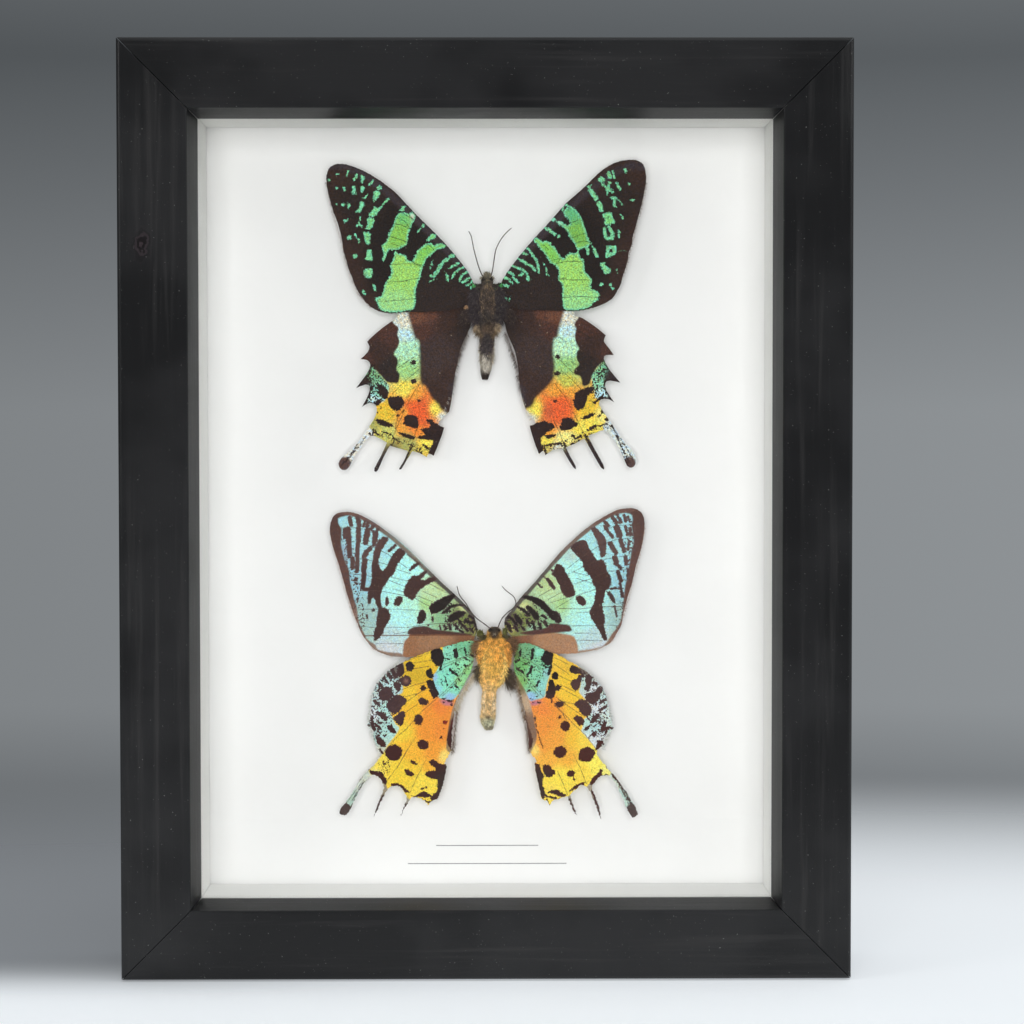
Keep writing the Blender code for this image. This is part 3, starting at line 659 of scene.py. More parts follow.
def even_rim(rim, spacing, wander, nibbled):
    """The outline at even steps, nibbled inwards by a random amount."""
    points = []
    for here, there in zip(rim, rim[1:] + rim[:1]):
        steps = max(1, round((there - here).length / spacing))
        points += [here.lerp(there, i / steps) for i in range(steps)]
    turned = sum(a.x * b.y - b.x * a.y for a, b in zip(points, points[1:] + points[:1]))
    side = 1.0 if turned > 0 else -1.0
    made = []
    for i, point in enumerate(points):
        along = (points[(i + 1) % len(points)] - points[i - 1]).normalized()
        inward = Vector((-along.y, along.x)) * side
        made.append(point + inward * (0.01 + wander.random() * nibbled))
    return made


def wing_mesh(rim, wander, nibbled):
    """Flat triangles within the outline."""
    edge = even_rim(rim, POINT_SPACING, wander, nibbled)
    low = [min(p[i] for p in edge) for i in range(2)]
    high = [max(p[i] for p in edge) for i in range(2)]
    rise = POINT_SPACING * math.sqrt(3.0) / 2
    rows = []
    for row in range(int((high[1] - low[1]) / rise) + 1):
        across = np.arange(low[0] + (row % 2) * POINT_SPACING / 2, high[0], POINT_SPACING)
        rows.append(np.stack([across, np.full(len(across), low[1] + row * rise)], -1))
    grid = np.concatenate(rows)
    inner = grid[depth_in(grid, [tuple(p) for p in edge]) > POINT_SPACING * 0.55]
    spots = [Vector(p) for p in edge] + [Vector(p) for p in inner.tolist()]
    ring = [tuple(range(len(edge)))]
    result = geometry.delaunay_2d_cdt(spots, [], ring, 1, 1e-6)
    return result[0], result[2]


def relief(spots, root):
    """Gentle camber and pleats that fan out from the wing's root."""
    off = spots - root
    far = np.hypot(off[:, 0], off[:, 1])
    angle = np.arctan2(off[:, 1], np.abs(off[:, 0]))
    part = np.clip(far / WING_REACH, 0.0, 1.0)
    pleats = np.sin(angle * PLEATS_TURN) * PLEAT * part * (1.1 - part) * 2.0
    return pleats + CAMBER * np.sin(part * math.pi)


def both_faces(faces, count):
    """The near and the far face of a wing, and the band around its edge."""
    seen = {}
    for face in faces:
        for here, there in zip(face, list(face[1:]) + [face[0]]):
            seen[(here, there)] = True
    border = [pair for pair in seen if pair[::-1] not in seen]
    solid = [tuple(face) for face in faces]
    solid += [tuple(i + count for i in face[::-1]) for face in faces]
    solid += [(b, a, a + count, b + count) for a, b in border]
    return solid


def look_depth(spots, look):
    """How deep each spot lies in the look's marks, with the heavier and the mottled parts."""
    count = len(spots)
    depth = marks_depth(spots, look["marks"])
    for outline, more in look.get("heavier", []):
        depth += more * step_up(depth_in(spots, outline), -0.5, 0.5)[:, 0]
    speckle = np.random.default_rng(count)
    for outline, share in look.get("mottled", []):
        grain = np.where(speckle.random(count) < share, 0.25, -0.25)
        depth = np.where(depth_in(spots, outline) > 0.0, np.maximum(depth, grain), depth)
    return depth


def write_colours(mesh, key, colours):
    """Store a colour on each point of a mesh."""
    layer = mesh.attributes.new(key, "FLOAT_COLOR", "POINT")
    layer.data.foreach_set("color", np.column_stack([colours, np.ones(len(colours))]).ravel())


def write_values(mesh, key, values):
    """Store a number on each point of a mesh."""
    layer = mesh.attributes.new(key, "FLOAT", "POINT")
    layer.data.foreach_set("value", values)


def wing(name, moth, look, finish):
    """A thin scaled wing in place of its plate, with its colours and marks on its points."""
    wander = random.Random(name)
    rim, over_card = rim_of(name, moth)
    flat, faces = wing_mesh(rim, wander, look.get("nibbled", RAGGED))
    spots = np.array([tuple(p) for p in flat])
    height = relief(spots, np.array(look["root"]))
    count = len(spots)
    points = [
        put(x + moth.x, over_card + h + side * WING_HALF_THICKNESS, y + moth.y)
        for side in (1.0, -1.0)
        for (x, y), h in zip(spots, height)
    ]
    solid = both_faces(faces, count)
    ground = painted(spots, look["ground"])
    mark = painted(spots, look["mark_tint"])
    depth = look_depth(spots, look)
    if "rim_tint" in look:
        tint, wide = look["rim_tint"]
        edge = 1.0 - step_up(depth, 0.0, wide)
        mark = mark * (1.0 - edge) + np.array(tint) * edge
    vein = np.full(count, FAR)
    for line in look["veins"]:
        vein = np.minimum(vein, away_from(spots, line))
    ground, mark, depth, vein = (np.concatenate([v, v]) for v in (ground, mark, depth, vein))
    for path, hairs, way, length, tint in look.get("fringe", []):
        draw = np.random.default_rng(hairs)
        strips, shapes = fringe(path, hairs, way, length, over_card, draw)
        solid += [tuple(i + len(points) for i in face) for face in shapes]
        points += [put(x + moth.x, over, y + moth.y) for x, over, y in strips]
        tints = np.tile(np.array(tint), (len(strips), 1))
        ground = np.concatenate([ground, tints])
        mark = np.concatenate([mark, tints])
        depth = np.concatenate([depth, np.full(len(strips), OUTSIDE)])
        vein = np.concatenate([vein, np.full(len(strips), FAR)])
    made = joined(name + "_scaled", points, solid, finish)
    write_colours(made.data, "ground", ground)
    write_colours(made.data, "mark", mark)
    write_values(made.data, "mark_depth", depth)
    write_values(made.data, "vein_away", vein)
    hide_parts(name)


def fringe(path, hairs, way, length, over_card, wander):
    """Fine hairs along a wing's edge."""
    line = np.array(path, dtype=float)
    part = wander.random(hairs) * (len(line) - 1.001)
    low = part.astype(int)
    spot = line[low] + (line[low + 1] - line[low]) * (part - low)[:, None]
    over = over_card + wander.uniform(-0.1, 0.15, hairs)
    mostly_flat = (1.0, 0.2, 1.0)
    roots = np.stack([spot[:, 0], over, spot[:, 1]], -1)
    roots += wander.normal(0.0, 0.12, roots.shape) * mostly_flat
    ways = np.array([way[0], 0.0, way[1]]) + wander.normal(0.0, 0.28, (hairs, 3)) * mostly_flat
    ways /= np.linalg.norm(ways, axis=1, keepdims=True)
    lengths = length * wander.uniform(0.4, 1.15, hairs)
    return hair_strips(roots, ways, lengths, FRINGE_HALF_WIDTH)


def wing_scales(name, ragged, play, rough, vein_tint):
    """Scaled wing: ground and marks with crisp uneven edges, a fine scale grain with specks, thin
    veins.
    """
    made, tree, shader = new_material(name, 0.5)
    spot = place_of(tree)
    ground = node(tree, "Attribute", attribute_name="ground").outputs["Color"]
    mark = node(tree, "Attribute", attribute_name="mark").outputs["Color"]
    depth = node(tree, "Attribute", attribute_name="mark_depth").outputs["Fac"]
    away = node(tree, "Attribute", attribute_name="vein_away").outputs["Fac"]
    fine = noise(tree, spot, 2100.0, 3.0, 0.7)
    grain = noise(tree, spot, 3200.0, 3.0, 0.75)
    uneven = calc(tree, "MULTIPLY_ADD", calc(tree, "SUBTRACT", fine, 0.5), ragged, depth)
    coloured = blend(tree, span(tree, uneven, -0.03, 0.03), ground, mark)
    tone = span(tree, noise(tree, spot, 1500.0, 2.0, 0.6), 0.36, 0.64)
    warm, cool = (1.0 + play, 1.0, 1.0 - 1.6 * play), (1.0 - play, 1.0, 1.0 + 1.6 * play)
    toned = blend(tree, 1.0, coloured, blend(tree, tone, warm, cool), "MULTIPLY")
    wavering = calc(tree, "MULTIPLY_ADD", calc(tree, "SUBTRACT", fine, 0.5), 0.2, away)
    line = span(tree, wavering, 0.04, 0.17, 0.8, 0.0)
    veined = blend(tree, line, toned, vein_tint)
    shade = span(tree, grain, 0.34, 0.66, 1.0 - rough, 1.0 + 0.8 * rough)
    dusted = blend(tree, 1.0, veined, shade_colour(tree, shade), "MULTIPLY")
    pits = span(tree, noise(tree, spot, 2700.0, 1.0), 0.60, 0.68, 0.0, rough)
    pitted = blend(tree, pits, dusted, NIGHT)
    motes = span(tree, noise(tree, spot, 1700.0, 1.0), 0.76, 0.79, 0.0, 0.5)
    wire(tree, shader, Base_Color=blend(tree, motes, pitted, linear(168, 158, 136)))
    ridge = calc(tree, "MULTIPLY", span(tree, away, 0.0, 0.3, 1.0, 0.0), 1.5)
    height = calc(tree, "ADD", grain, ridge)
    wire(tree, shader, Normal=bump(tree, height, 0.00006, 0.5))
    wire(tree, shader, Roughness=calc(tree, "MULTIPLY_ADD", grain, 0.3, 0.42))
    shader.inputs["Specular IOR Level"].default_value = 0.12
    return made


def shade_colour(tree, shade):
    """A grey colour from one value."""
    return node(tree, "CombineColor", {0: shade, 1: shade, 2: shade}).outputs[0]


# Upper moth, forewing on the left: green marks on black brown
FOREWING_DORSAL_GROUND_LEFT = [
    (None,
     [(-22, 16, 9, NIGHT), (-12, 4, 8, SOOT), (-27, 8, 7, NIGHT), (-34, 26, 7, SOOT),
      (-36, 12, 5, UMBER), (-34, 6, 5, UMBER), (-39, 22, 4, UMBER), (-30, 0, 4, UMBER),
      (-38, 33, 4, UMBER), (-27, 33, 5, UMBER)],
     0.3),
    # The grey line along the costa is a painted highlight on the wing's front edge.
    ([("line", 0.9, (-40, 35.2), (-36, 35.2), (-31, 32.9), (-25, 28.3), (-19, 22.6), (-12, 15.8),
       (-4, 7.6))],
     [(-30, 30, 20, DUSTY)], 0.6),
]
UPPER_FOREWING_LEFT_MARKS = [
    ((-28.3, 1.0), (-28.5, 2.0), (-27.0, 2.0), (-26.5, 3.2), (-26.1, 5.0), (-25.4, 6.6),
     (-24.6, 7.3), (-24.3, 8.3), (-24.8, 10.2), (-24.0, 11.3), (-23.7, 12.3), (-23.6, 13.6),
     (-22.5, 13.1), (-21.3, 12.8), (-20.6, 12.4), (-20.3, 11.3), (-19.2, 11.1), (-18.7, 11.6),
     (-18.3, 12.6), (-17.6, 14.0), (-16.6, 14.8), (-15.6, 15.5), (-14.6, 15.8), (-13.5, 15.1),
     (-11.6, 15.7), (-10.7, 15.3), (-10.6, 14.6), (-12.8, 14.1), (-13.2, 13.6), (-14.5, 12.6),
     (-15.6, 11.5), (-16.0, 10.2), (-16.6, 9.3), (-16.9, 8.2), (-16.9, 7.2), (-17.4, 6.4),
     (-17.8, 5.0), (-18.3, 4.2), (-18.3, 0.8), (-18.5, -0.9), (-20, -1.5), (-24, -1.9), (-27, -1.5),
     (-27.9, 0.2)),
    ((-15.5, 16.1), (-14.8, 17.3), (-13.8, 18.2), (-12.9, 17.8), (-13.4, 16.8), (-14.6, 16.3)),
    ((-27.0, 15.0), (-25.8, 15.9), (-25.2, 17.3), (-24.8, 18.6), (-24.0, 19.8), (-23.7, 21.0),
     (-23.2, 22.5), (-22.5, 23.4), (-21.2, 23.5), (-19.8, 23.1), (-19.2, 23.6), (-18.3, 23.1),
     (-18.1, 22.3), (-18.7, 21.3), (-19.2, 20.2), (-19.7, 19.0), (-20.1, 17.8), (-20.2, 16.4),
     (-20.4, 15.2), (-22.2, 14.4), (-23.3, 13.9), (-24.9, 14.1), (-25.5, 13.2), (-25.9, 11.8),
     (-26.4, 11.0), (-26.6, 11.8), (-26.3, 13.2), (-26.8, 14.6)),
    ((-22.3, 24.1), (-21.4, 25.1), (-20.6, 25.1), (-21.3, 23.9), (-21.9, 23.6)),
    ((-28.2, 29.9), (-27.4, 30.3), (-26.7, 29.9), (-26.8, 29.2), (-27.8, 29.2)),
    ((-28.8, 29.0), (-27.6, 29.0), (-27.0, 28.6), (-27.6, 27.3), (-29.0, 26.1), (-28.9, 27.6)),
    ((-24.8, 27.5), (-24.8, 26.7), (-26.2, 25.5), (-27.8, 23.6), (-28.6, 22.5), (-30.3, 22.5),
     (-29.0, 24.3), (-28.9, 24.9), (-27.4, 24.5), (-26.5, 25.9), (-25.4, 27.0)),
    ((-30.4, 22.2), (-28.5, 22.0), (-29.4, 19.3), (-31.1, 19.1), (-30.4, 20.4)),
    ((-31.7, 18.5), (-29.6, 18.5), (-29.9, 15.4), (-30.8, 15.4), (-31.2, 17.0)),
    ((-30.7, 14.1), (-29.5, 14.1), (-29.4, 12.5), (-29.1, 11.2), (-31.4, 11.4), (-30.6, 12.6)),
    ((-31.4, 7.0), (-31.5, 8.6), (-30.6, 9.2), (-29.3, 9.5), (-29.3, 6.8)),
    ("line", 0.28, (-28.9, 5.1), (-28.5, 3.8)),
    ((-32.3, 26.4), (-31.1, 26.0), (-32.2, 23.4), (-33.6, 23.5), (-32.5, 24.7)),
    ((-30.2, 28.4), (-30.8, 26.8), (-31.8, 27.1), (-30.9, 27.6)),
    ((-34.4, 28.2), (-34.3, 30.3), (-33.5, 30.2), (-33.4, 27.8)),
    ((-32.2, 30.1), (-31.0, 29.9), (-31.5, 28.7), (-32.1, 28.6)),
    ((-32.2, 32.9), (-31.0, 32.6), (-31.6, 30.9), (-32.1, 31.0)),
    ("line", 0.28, (-33.1, 33.0), (-33.7, 31.8)), ("line", 0.22, (-35.4, 33.9), (-35.7, 32.7)),
    ("line", 0.3, (-29.1, 31.4), (-29.9, 30.5)), (-36.4, 29.6, 0.4, 0.55, 20),
    (-36.6, 25.5, 0.4, 0.5, 0), (-35.3, 25.3, 0.35, 0.7, 0), (-36.0, 21.4, 0.6, 0.35, 30),
    ("line", 0.2, (-32.3, 22.2), (-32.6, 20.6), (-33.2, 20.0)),
    ("line", 0.2, (-32.6, 20.6), (-31.9, 19.8)), (-35.0, 17.1, 0.6, 0.5, 20),
    ("line", 0.2, (-33.6, 17.9), (-33.0, 16.8), (-32.5, 16.0)), (-33.6, 12.4, 0.5, 0.5, 0),
    ("line", 0.2, (-31.6, 3.5), (-31.2, 2.8)), (-37.9, 33.2, 0.35, 0.25, 0),
    (-38.2, 29.7, 0.3, 0.2, 0), (-38.3, 25.5, 0.2, 0.2, 0), (-40.3, 31.8, 0.3, 0.12, -30),
    (-16.3, 20.2, 0.5, 0.4, 40), ("line", 0.17, (-16.9, 19.5), (-17.6, 18.4)),
    ("line", 0.42, (-8.6, 12.6), (-9.3, 12.4)),
    ("line", 0.36, (-9.7, 11.8), (-11.0, 11.0), (-11.9, 10.0)),
    ("line", 0.42, (-12.0, 9.7), (-12.6, 8.6), (-13.4, 7.5), (-14.2, 7.3)),
    ("line", 0.26, (-7.1, 10.7), (-8.4, 10.0), (-9.6, 9.3)),
    ("line", 0.26, (-6.0, 9.7), (-7.2, 9.0), (-8.2, 8.2), (-8.9, 6.9)),
    ("line", 0.24, (-5.0, 8.5), (-6.2, 7.6)), ("line", 0.22, (-6.6, 7.1), (-7.0, 6.2)),
    ("line", 0.24, (-4.0, 7.2), (-5.2, 6.3), (-6.3, 5.7)), ("line", 0.22, (-3.2, 6.4), (-5.2, 4.9)),
    ("line", 0.22, (-2.7, 5.6), (-4.3, 4.2)), (-10.2, 7.2, 0.4, 1.0, 20),
    (-14.0, 6.2, 0.8, 0.2, 15), (-14.2, 10.2, 0.2, 0.7, -20), (-14.6, 12.4, 0.25, 0.2, 0),
]
UPPER_FOREWING_LEFT_VEINS = [
    ((-26.2, 5.8), (-22, 5.9), (-19, 6.5), (-16.9, 6.8)), ((-28.2, 0.9), (-24, 1.0), (-18.2, 1.6)),
    ((-24.9, 10.2), (-21.5, 10.5), (-19, 10.5), (-17.6, 10.0)),
    ((-23.6, 20.6), (-21.6, 20.3), (-19.5, 19.1)),
    ((-25.4, 17.5), (-23.4, 17.0), (-20.8, 16.1), (-20.0, 15.7)), ((-20.2, 23.4), (-18.7, 21.5)),
    ((-23.3, 22.3), (-21.0, 21.3), (-19.4, 19.2)), ((-22.2, 23.9), (-21.0, 23.0), (-19.2, 21.9)),
    ((-28.4, 29.1), (-27.0, 28.8)), ((-30.6, 22.3), (-28.2, 22.2)), ((-31.4, 18.8), (-29.2, 18.9)),
    ((-19.9, 11.6), (-18.2, 10.5), (-16.4, 9.9)), ((-15.8, 15.8), (-14.3, 14.8), (-13.4, 13.8)),
    ((-30.4, 17.5), (-30.3, 17.1)), ((-30.9, 8.2), (-30.9, 7.5)), ((-24.6, 15.6), (-21.9, 14.8)),
]

UPPER_FOREWING_RIGHT_MARKS = [
    ((19.6, -1.2), (19.2, 0.6), (19.0, 2.0), (19.3, 4.0), (19.0, 5.3), (18.0, 6.2), (18.3, 7.5),
     (18.0, 9.2), (17.4, 10.0), (16.3, 10.5), (15.3, 11.9), (14.4, 13.3), (13.3, 14.4),
     (12.7, 15.5), (11.8, 16.0), (11.9, 16.8), (12.7, 17.1), (14.0, 16.0), (15.0, 16.3),
     (16.0, 15.8), (17.2, 14.5), (18.3, 13.0), (18.9, 12.0), (19.5, 11.7), (20.3, 12.7),
     (21.4, 13.3), (22.6, 13.0), (23.2, 14.0), (23.5, 12.3), (24.7, 11.2), (24.7, 8.4), (25.8, 7.5),
     (26.7, 6.3), (26.4, 5.0), (26.6, 4.1), (28.7, 3.0), (28.4, 1.4), (27.0, 0.4), (25.7, -0.9),
     (22, -1.4)),
    ((22.9, 13.9), (24.6, 14.4), (26.8, 15.5), (25.8, 16.6), (25.3, 18.3), (24.9, 19.4),
     (24.4, 21.0), (24.1, 22.1), (22.6, 24.2), (21.4, 25.0), (20.4, 24.7), (19.3, 23.6),
     (19.9, 22.6), (20.7, 21.6), (21.2, 20.5), (20.4, 20.1), (19.4, 20.8), (18.4, 21.4),
     (17.6, 21.2), (18.2, 20.3), (19.5, 19.6), (20.3, 18.9), (21.0, 17.4), (22.3, 15.5)),
    ("line", 0.2, (19.2, 24.0), (19.5, 25.0), (20.2, 25.3), (20.9, 25.0)),
    (16.9, 21.6, 0.5, 0.45, 0), ("line", 0.3, (25.4, 14.8), (25.7, 13.8), (25.6, 12.9)),
    ((26.6, 15.2), (27.4, 14.4), (28.6, 12.2), (27.9, 11.8), (27.1, 13.3)),
    ((25.6, 29.2), (26.7, 29.6), (27.6, 28.0), (28.4, 27.0), (27.6, 26.4), (26.3, 28.0)),
    (26.1, 30.0, 0.45, 0.3, 20),
    ((27.7, 26.1), (28.6, 26.5), (29.3, 25.5), (29.8, 23.7), (28.7, 23.6)),
    ((29.3, 23.2), (31.9, 23.6), (31.9, 22.2), (32.7, 20.8), (31.0, 20.2), (29.8, 20.3),
     (29.9, 21.6)),
    ("line", 0.42, (29.9, 19.2), (30.2, 17.2), (30.9, 16.7), (31.9, 17.0), (31.9, 18.2),
     (31.2, 19.5)),
    ("line", 0.4, (30.7, 14.6), (32.4, 14.7), (32.5, 13.2), (30.5, 12.3), (30.8, 14.4)),
    ((28.6, 10.6), (29.9, 10.7), (30.6, 9.4), (31.8, 9.2), (31.4, 8.1), (30.2, 7.6), (29.7, 8.4)),
    (29.0, 5.2, 0.5, 0.4, 0),
    ("line", 0.3, (28.6, 31.9), (29.1, 32.3), (29.8, 31.9), (29.3, 31.2), (28.6, 31.8)),
    ((30.4, 33.4), (30.9, 33.9), (31.4, 33.7), (31.9, 32.3), (31.0, 31.8)),
    ("line", 0.22, (31.9, 33.9), (32.4, 32.3)),
    ("line", 0.32, (29.3, 30.6), (30.6, 29.6), (31.9, 28.7)),
    ("line", 0.34, (31.2, 30.9), (30.7, 29.6), (30.6, 28.2)),
    ((32.6, 31.2), (33.3, 31.2), (34.1, 29.1), (33.6, 29.1)),
    ((31.2, 27.3), (33.3, 27.5), (32.8, 26.2), (33.0, 24.6), (32.1, 24.7), (32.2, 26.3)),
    ("line", 0.17, (33.5, 26.6), (34.5, 25.3)), (35.3, 34.2, 0.35, 0.6, 30),
    (36.1, 30.7, 0.3, 0.35, 0), (36.9, 26.6, 0.4, 0.2, 0),
    ("line", 0.18, (34.1, 22.8), (34.6, 21.8)), ("line", 0.26, (33.6, 18.8), (33.6, 17.4)),
    (34.5, 13.7, 0.45, 0.12, 0), (33.1, 8.7, 0.2, 0.3, 0),
    ("line", 0.2, (31.4, 5.3), (31.6, 4.4), (32.2, 4.0)),
    ("line", 0.34, (14.6, 19.6), (15.6, 19.2)), ("line", 0.34, (16.1, 18.9), (17.2, 17.9)),
    (18.2, 17.3, 0.35, 0.4, 0),
    ("line", 0.26, (10.4, 14.3), (11.3, 13.0), (12.4, 11.5), (12.9, 10.2), (13.2, 8.2)),
    ("line", 0.26, (8.9, 13.3), (9.9, 12.8)),
    ("line", 0.3, (7.8, 11.7), (8.9, 11.2), (10.3, 10.3), (11.4, 9.9), (12.1, 8.8)),
    ("line", 0.26, (6.4, 9.9), (7.6, 9.4), (9.2, 8.8), (10.0, 8.0), (10.4, 7.1)),
    (8.8, 7.8, 0.7, 0.3, 30), ("line", 0.26, (5.3, 8.5), (6.9, 7.5)),
    ("line", 0.28, (4.1, 7.0), (5.6, 6.5), (6.4, 5.5)), ("line", 0.24, (6.6, 6.9), (7.9, 5.7)),
    ("line", 0.3, (3.3, 5.2), (4.4, 5.0), (5.3, 4.7)),
    ("line", 0.16, (14.4, 10.6), (15.0, 9.4), (15.3, 8.0)), (15.5, 7.6, 0.35, 0.2, 0),
    (10.5, 6.4, 0.5, 0.3, 0), ("line", 0.14, (4.4, 2.0), (5.4, 1.0), (6.0, 2.2)),
]
UPPER_FOREWING_RIGHT_VEINS = [
    ((18.4, 6.6), (22, 6.3), (26.3, 6.4)), ((19.2, 1.9), (24, 2.1), (29.2, 1.9)),
    ((17.6, 10.5), (20.5, 11.1), (24.6, 10.9)), ((21.1, 20.8), (22.6, 21.3), (24.2, 21.6)),
    ((21.6, 17.0), (23.4, 17.7), (25.4, 18.3)), ((19.2, 12.2), (18.0, 10.8)),
    ((15.6, 14.0), (14.5, 15.2)), ((22.3, 15.6), (24.6, 16.3), (26.6, 15.7)),
    ((16.2, 11.3), (19.2, 11.9)), ((30.9, 22.6), (30.8, 21.6)),
    ((20.4, 20.2), (21.3, 20.9), (20.4, 22.2)),
]


def mirrored(layers):
    """The same layers on the other side of the moth."""
    made = []
    for marks, stops, soft in layers:
        flipped = None
        if marks is not None:
            flipped = [
                tuple((-p[0], p[1]) if isinstance(p, tuple) else p for p in mark)
                if mark[0] == "line" or isinstance(mark[0], tuple)
                else (-mark[0], mark[1], mark[2], mark[3], -mark[4])
                for mark in marks
            ]
        made.append((flipped, [(-x, y, reach, tint) for x, y, reach, tint in stops], soft))
    return made


# Upper moth, hindwings: turquoise running through yellow to flame red, black spots
HINDWING_DORSAL_GROUND_LEFT = [
    (None,
     [(-21, -4, 2.4, CREAM), (-21, -7.6, 2.2, ICE), (-20.5, -11.5, 3, linear(182, 232, 190)),
      (-20.5, -16.5, 2.6, linear(162, 214, 138)), (-20.8, -21.3, 2.2, LEMON),
      (-18.4, -22.8, 2.0, AMBER), (-17.8, -26.8, 4.2, FLAME), (-21.3, -27.4, 1.6, AMBER),
      (-13.3, -26.4, 1.8, LEMON), (-26.0, -27.6, 2.4, GOLD),
      (-25.5, -32.5, 2.4, linear(206, 204, 108)), (-20.5, -35.6, 2.2, MOSS),
      (-22, -31.4, 1.6, AMBER), (-17.6, -32.2, 1.4, ORANGE), (-15.8, -35.2, 1.6, LEMON),
      (-11.4, -28.4, 1.2, CREAM), (-31, -40, 3, DUSTY), (-24, -39, 3, DUSTY),
      (-28.5, -30.5, 1.5, MOSS)],
     0.3),
    ([((-19.0, 3), (-20.3, -2.2), (-19.4, -5.5), (-18.6, -8.4), (-17.4, -9.2), (-17.3, -14),
       (-17.2, -19.8), (-15.6, -20.9), (-14.4, -23.6), (-12.6, -25.2), (-12.0, -26.6), (-9.4, -28),
       (2, -20), (2, 3))],
     [(-17.5, -3.0, 1.9, RUST), (-14, -2.2, 1.6, linear(96, 64, 52)), (-17.0, -7.0, 2.2, CHESTNUT),
      (-9.5, -3, 3, UMBER), (-13.5, -14, 4.5, linear(66, 53, 50)), (-13, -22, 3, UMBER),
      (-10, -18, 2, UMBER), (-8, -21, 1.6, DUSTY), (-5, -4, 4, SOOT)],
     0.55),
    ([((-24.6, -3.2), (-24.0, -4.6), (-22.5, -5.8), (-23.0, -7.5), (-22.4, -9.0), (-22.6, -10.3),
       (-24.0, -12.5), (-22.9, -13.6), (-22.8, -15.0), (-23.3, -16.3), (-22.3, -17.7),
       (-22.7, -20.0), (-25.3, -19.7), (-26, -19.3), (-28, -17), (-30.2, -14.8), (-36, -15),
       (-36, -2))],
     [(-26, -7, 4, CHESTNUT), (-27.5, -11, 3, UMBER), (-24.6, -16, 3, SOOT),
      (-31, -14, 2, CHESTNUT)],
     0.14),
    ([((-30.2, -14.8), (-28, -17.2), (-26, -19.4), (-25.0, -20.6), (-25.4, -23.0), (-26.4, -24.6),
       (-28.4, -25.4), (-33, -27), (-36, -20), (-33, -14))],
     [(-28.6, -17.4, 1.5, linear(132, 190, 140)), (-28, -22, 1.6, linear(150, 212, 182)),
      (-29, -24.4, 1.5, ICE), (-31.6, -20.4, 1.6, DUSTY), (-31.5, -25.6, 1.2, UMBER)],
     0.2),
    ([((-29.6, -31.8), (-28.9, -33.2), (-30, -36), (-33, -42), (-40, -43), (-40, -37), (-33, -31.6),
       (-30.6, -30.6))],
     [(-33, -36, 4, linear(226, 230, 226))], 0.2),
    ([(-36.7, -40.5, 1.9, 1.7, 40)], [(-36.8, -40.6, 3, linear(92, 70, 66))], 0.3),
]
UPPER_HINDWING_LEFT_MARKS = [
    ("line", 0.16, (-33.0, -36.2), (-34.6, -38.0), (-36.0, -39.8)),
    ("line", 0.14, (-32.8, -37.4), (-34.2, -39.2), (-35.4, -40.6)),
    ("line", 0.08, (-30.6, -33.0), (-33.0, -36.2)), (-18.9, -14.6, 0.75, 0.55, 0),
    (-18.9, -19.4, 0.7, 0.6, 0), (-17.4, -24.4, 0.5, 0.35, -30),
    ((-25.5, -23.9), (-24.6, -23.2), (-23.8, -23.4), (-23.0, -23.1), (-21.7, -23.5), (-21.2, -24.4),
     (-21.4, -25.8), (-22.6, -27.0), (-24.0, -26.9), (-25.2, -25.6)),
    ((-28.2, -19.9), (-26.6, -20.4), (-25.2, -22.0), (-25.3, -24.0), (-26.8, -23.8), (-28.0, -22.0)),
    ((-21.4, -28.6), (-20.4, -28.0), (-18.9, -28.0), (-18.0, -28.5), (-17.6, -29.3), (-17.4, -30.4),
     (-17.9, -31.6), (-19.0, -31.4), (-20.4, -30.8), (-21.8, -30.2), (-21.0, -29.6)),
    ((-28.8, -29.3), (-28.0, -29.0), (-26.6, -29.2), (-24.6, -30.2), (-23.8, -31.0), (-25.2, -31.2),
     (-27.6, -30.6)),
    ((-22.9, -32.3), (-21.4, -32.6), (-19.9, -33.1), (-18.4, -33.5), (-18.6, -34.3), (-20.2, -34.1),
     (-22.2, -33.2)),
    (-22.9, -28.1, 0.4, 0.35, 0),
    ((-15.9, -29.3), (-14.2, -29.1), (-13.0, -30.3), (-11.0, -30.8), (-10.8, -32), (-12, -35),
     (-13.4, -38.8), (-15.2, -37.9), (-14.4, -36.0), (-13.6, -34.6), (-16.0, -34.3), (-18.2, -33.9),
     (-18.0, -33.5), (-16.0, -33.2), (-16.2, -32.5), (-17.4, -31.8), (-16.2, -31.4), (-14.8, -31.2),
     (-14.6, -30.4)),
    ("line", 0.24, (-29.2, -32.0), (-28.0, -33.0), (-27.2, -33.3)),
    ("line", 0.24, (-26.6, -32.3), (-24.8, -33.0)), ("line", 0.26, (-24.0, -34.0), (-22.4, -34.9)),
    ("line", 0.3, (-16.5, -35.7), (-14.6, -36.8)), ("line", 0.2, (-18.3, -37.0), (-16.8, -38.0)),
    ("line", 0.2, (-16.9, -36.4), (-17.3, -36.9)), ("line", 0.5, (-27.4, -24.4), (-28.4, -25.2)),
    ("line", 0.24, (-28.6, -27.0), (-28.0, -27.4)), (-30.6, -19.2, 0.9, 0.5, -20),
    ("line", 0.3, (-30.6, -15.6), (-28.8, -15.4)), (-29.6, -21.2, 0.5, 0.7, 0),
    (-30.2, -23.2, 0.3, 0.5, 0), (-27.2, -26.2, 0.2, 0.3, 0),
    ("line", 0.34, (-30.4, -14.5), (-30.1, -17.5), (-33.2, -21.3), (-30.6, -20.8), (-30.1, -22.5),
     (-31.8, -26.2), (-29, -25)),
    ("line", 0.2, (-37.4, -40.9), (-35.2, -38.6), (-33.2, -35.6)),
    ("line", 0.28, (-24.2, -35.2), (-26.6, -39), (-28.8, -42.6)),
    ("line", 0.28, (-19.2, -36), (-21, -39.2), (-22.8, -42)),
]
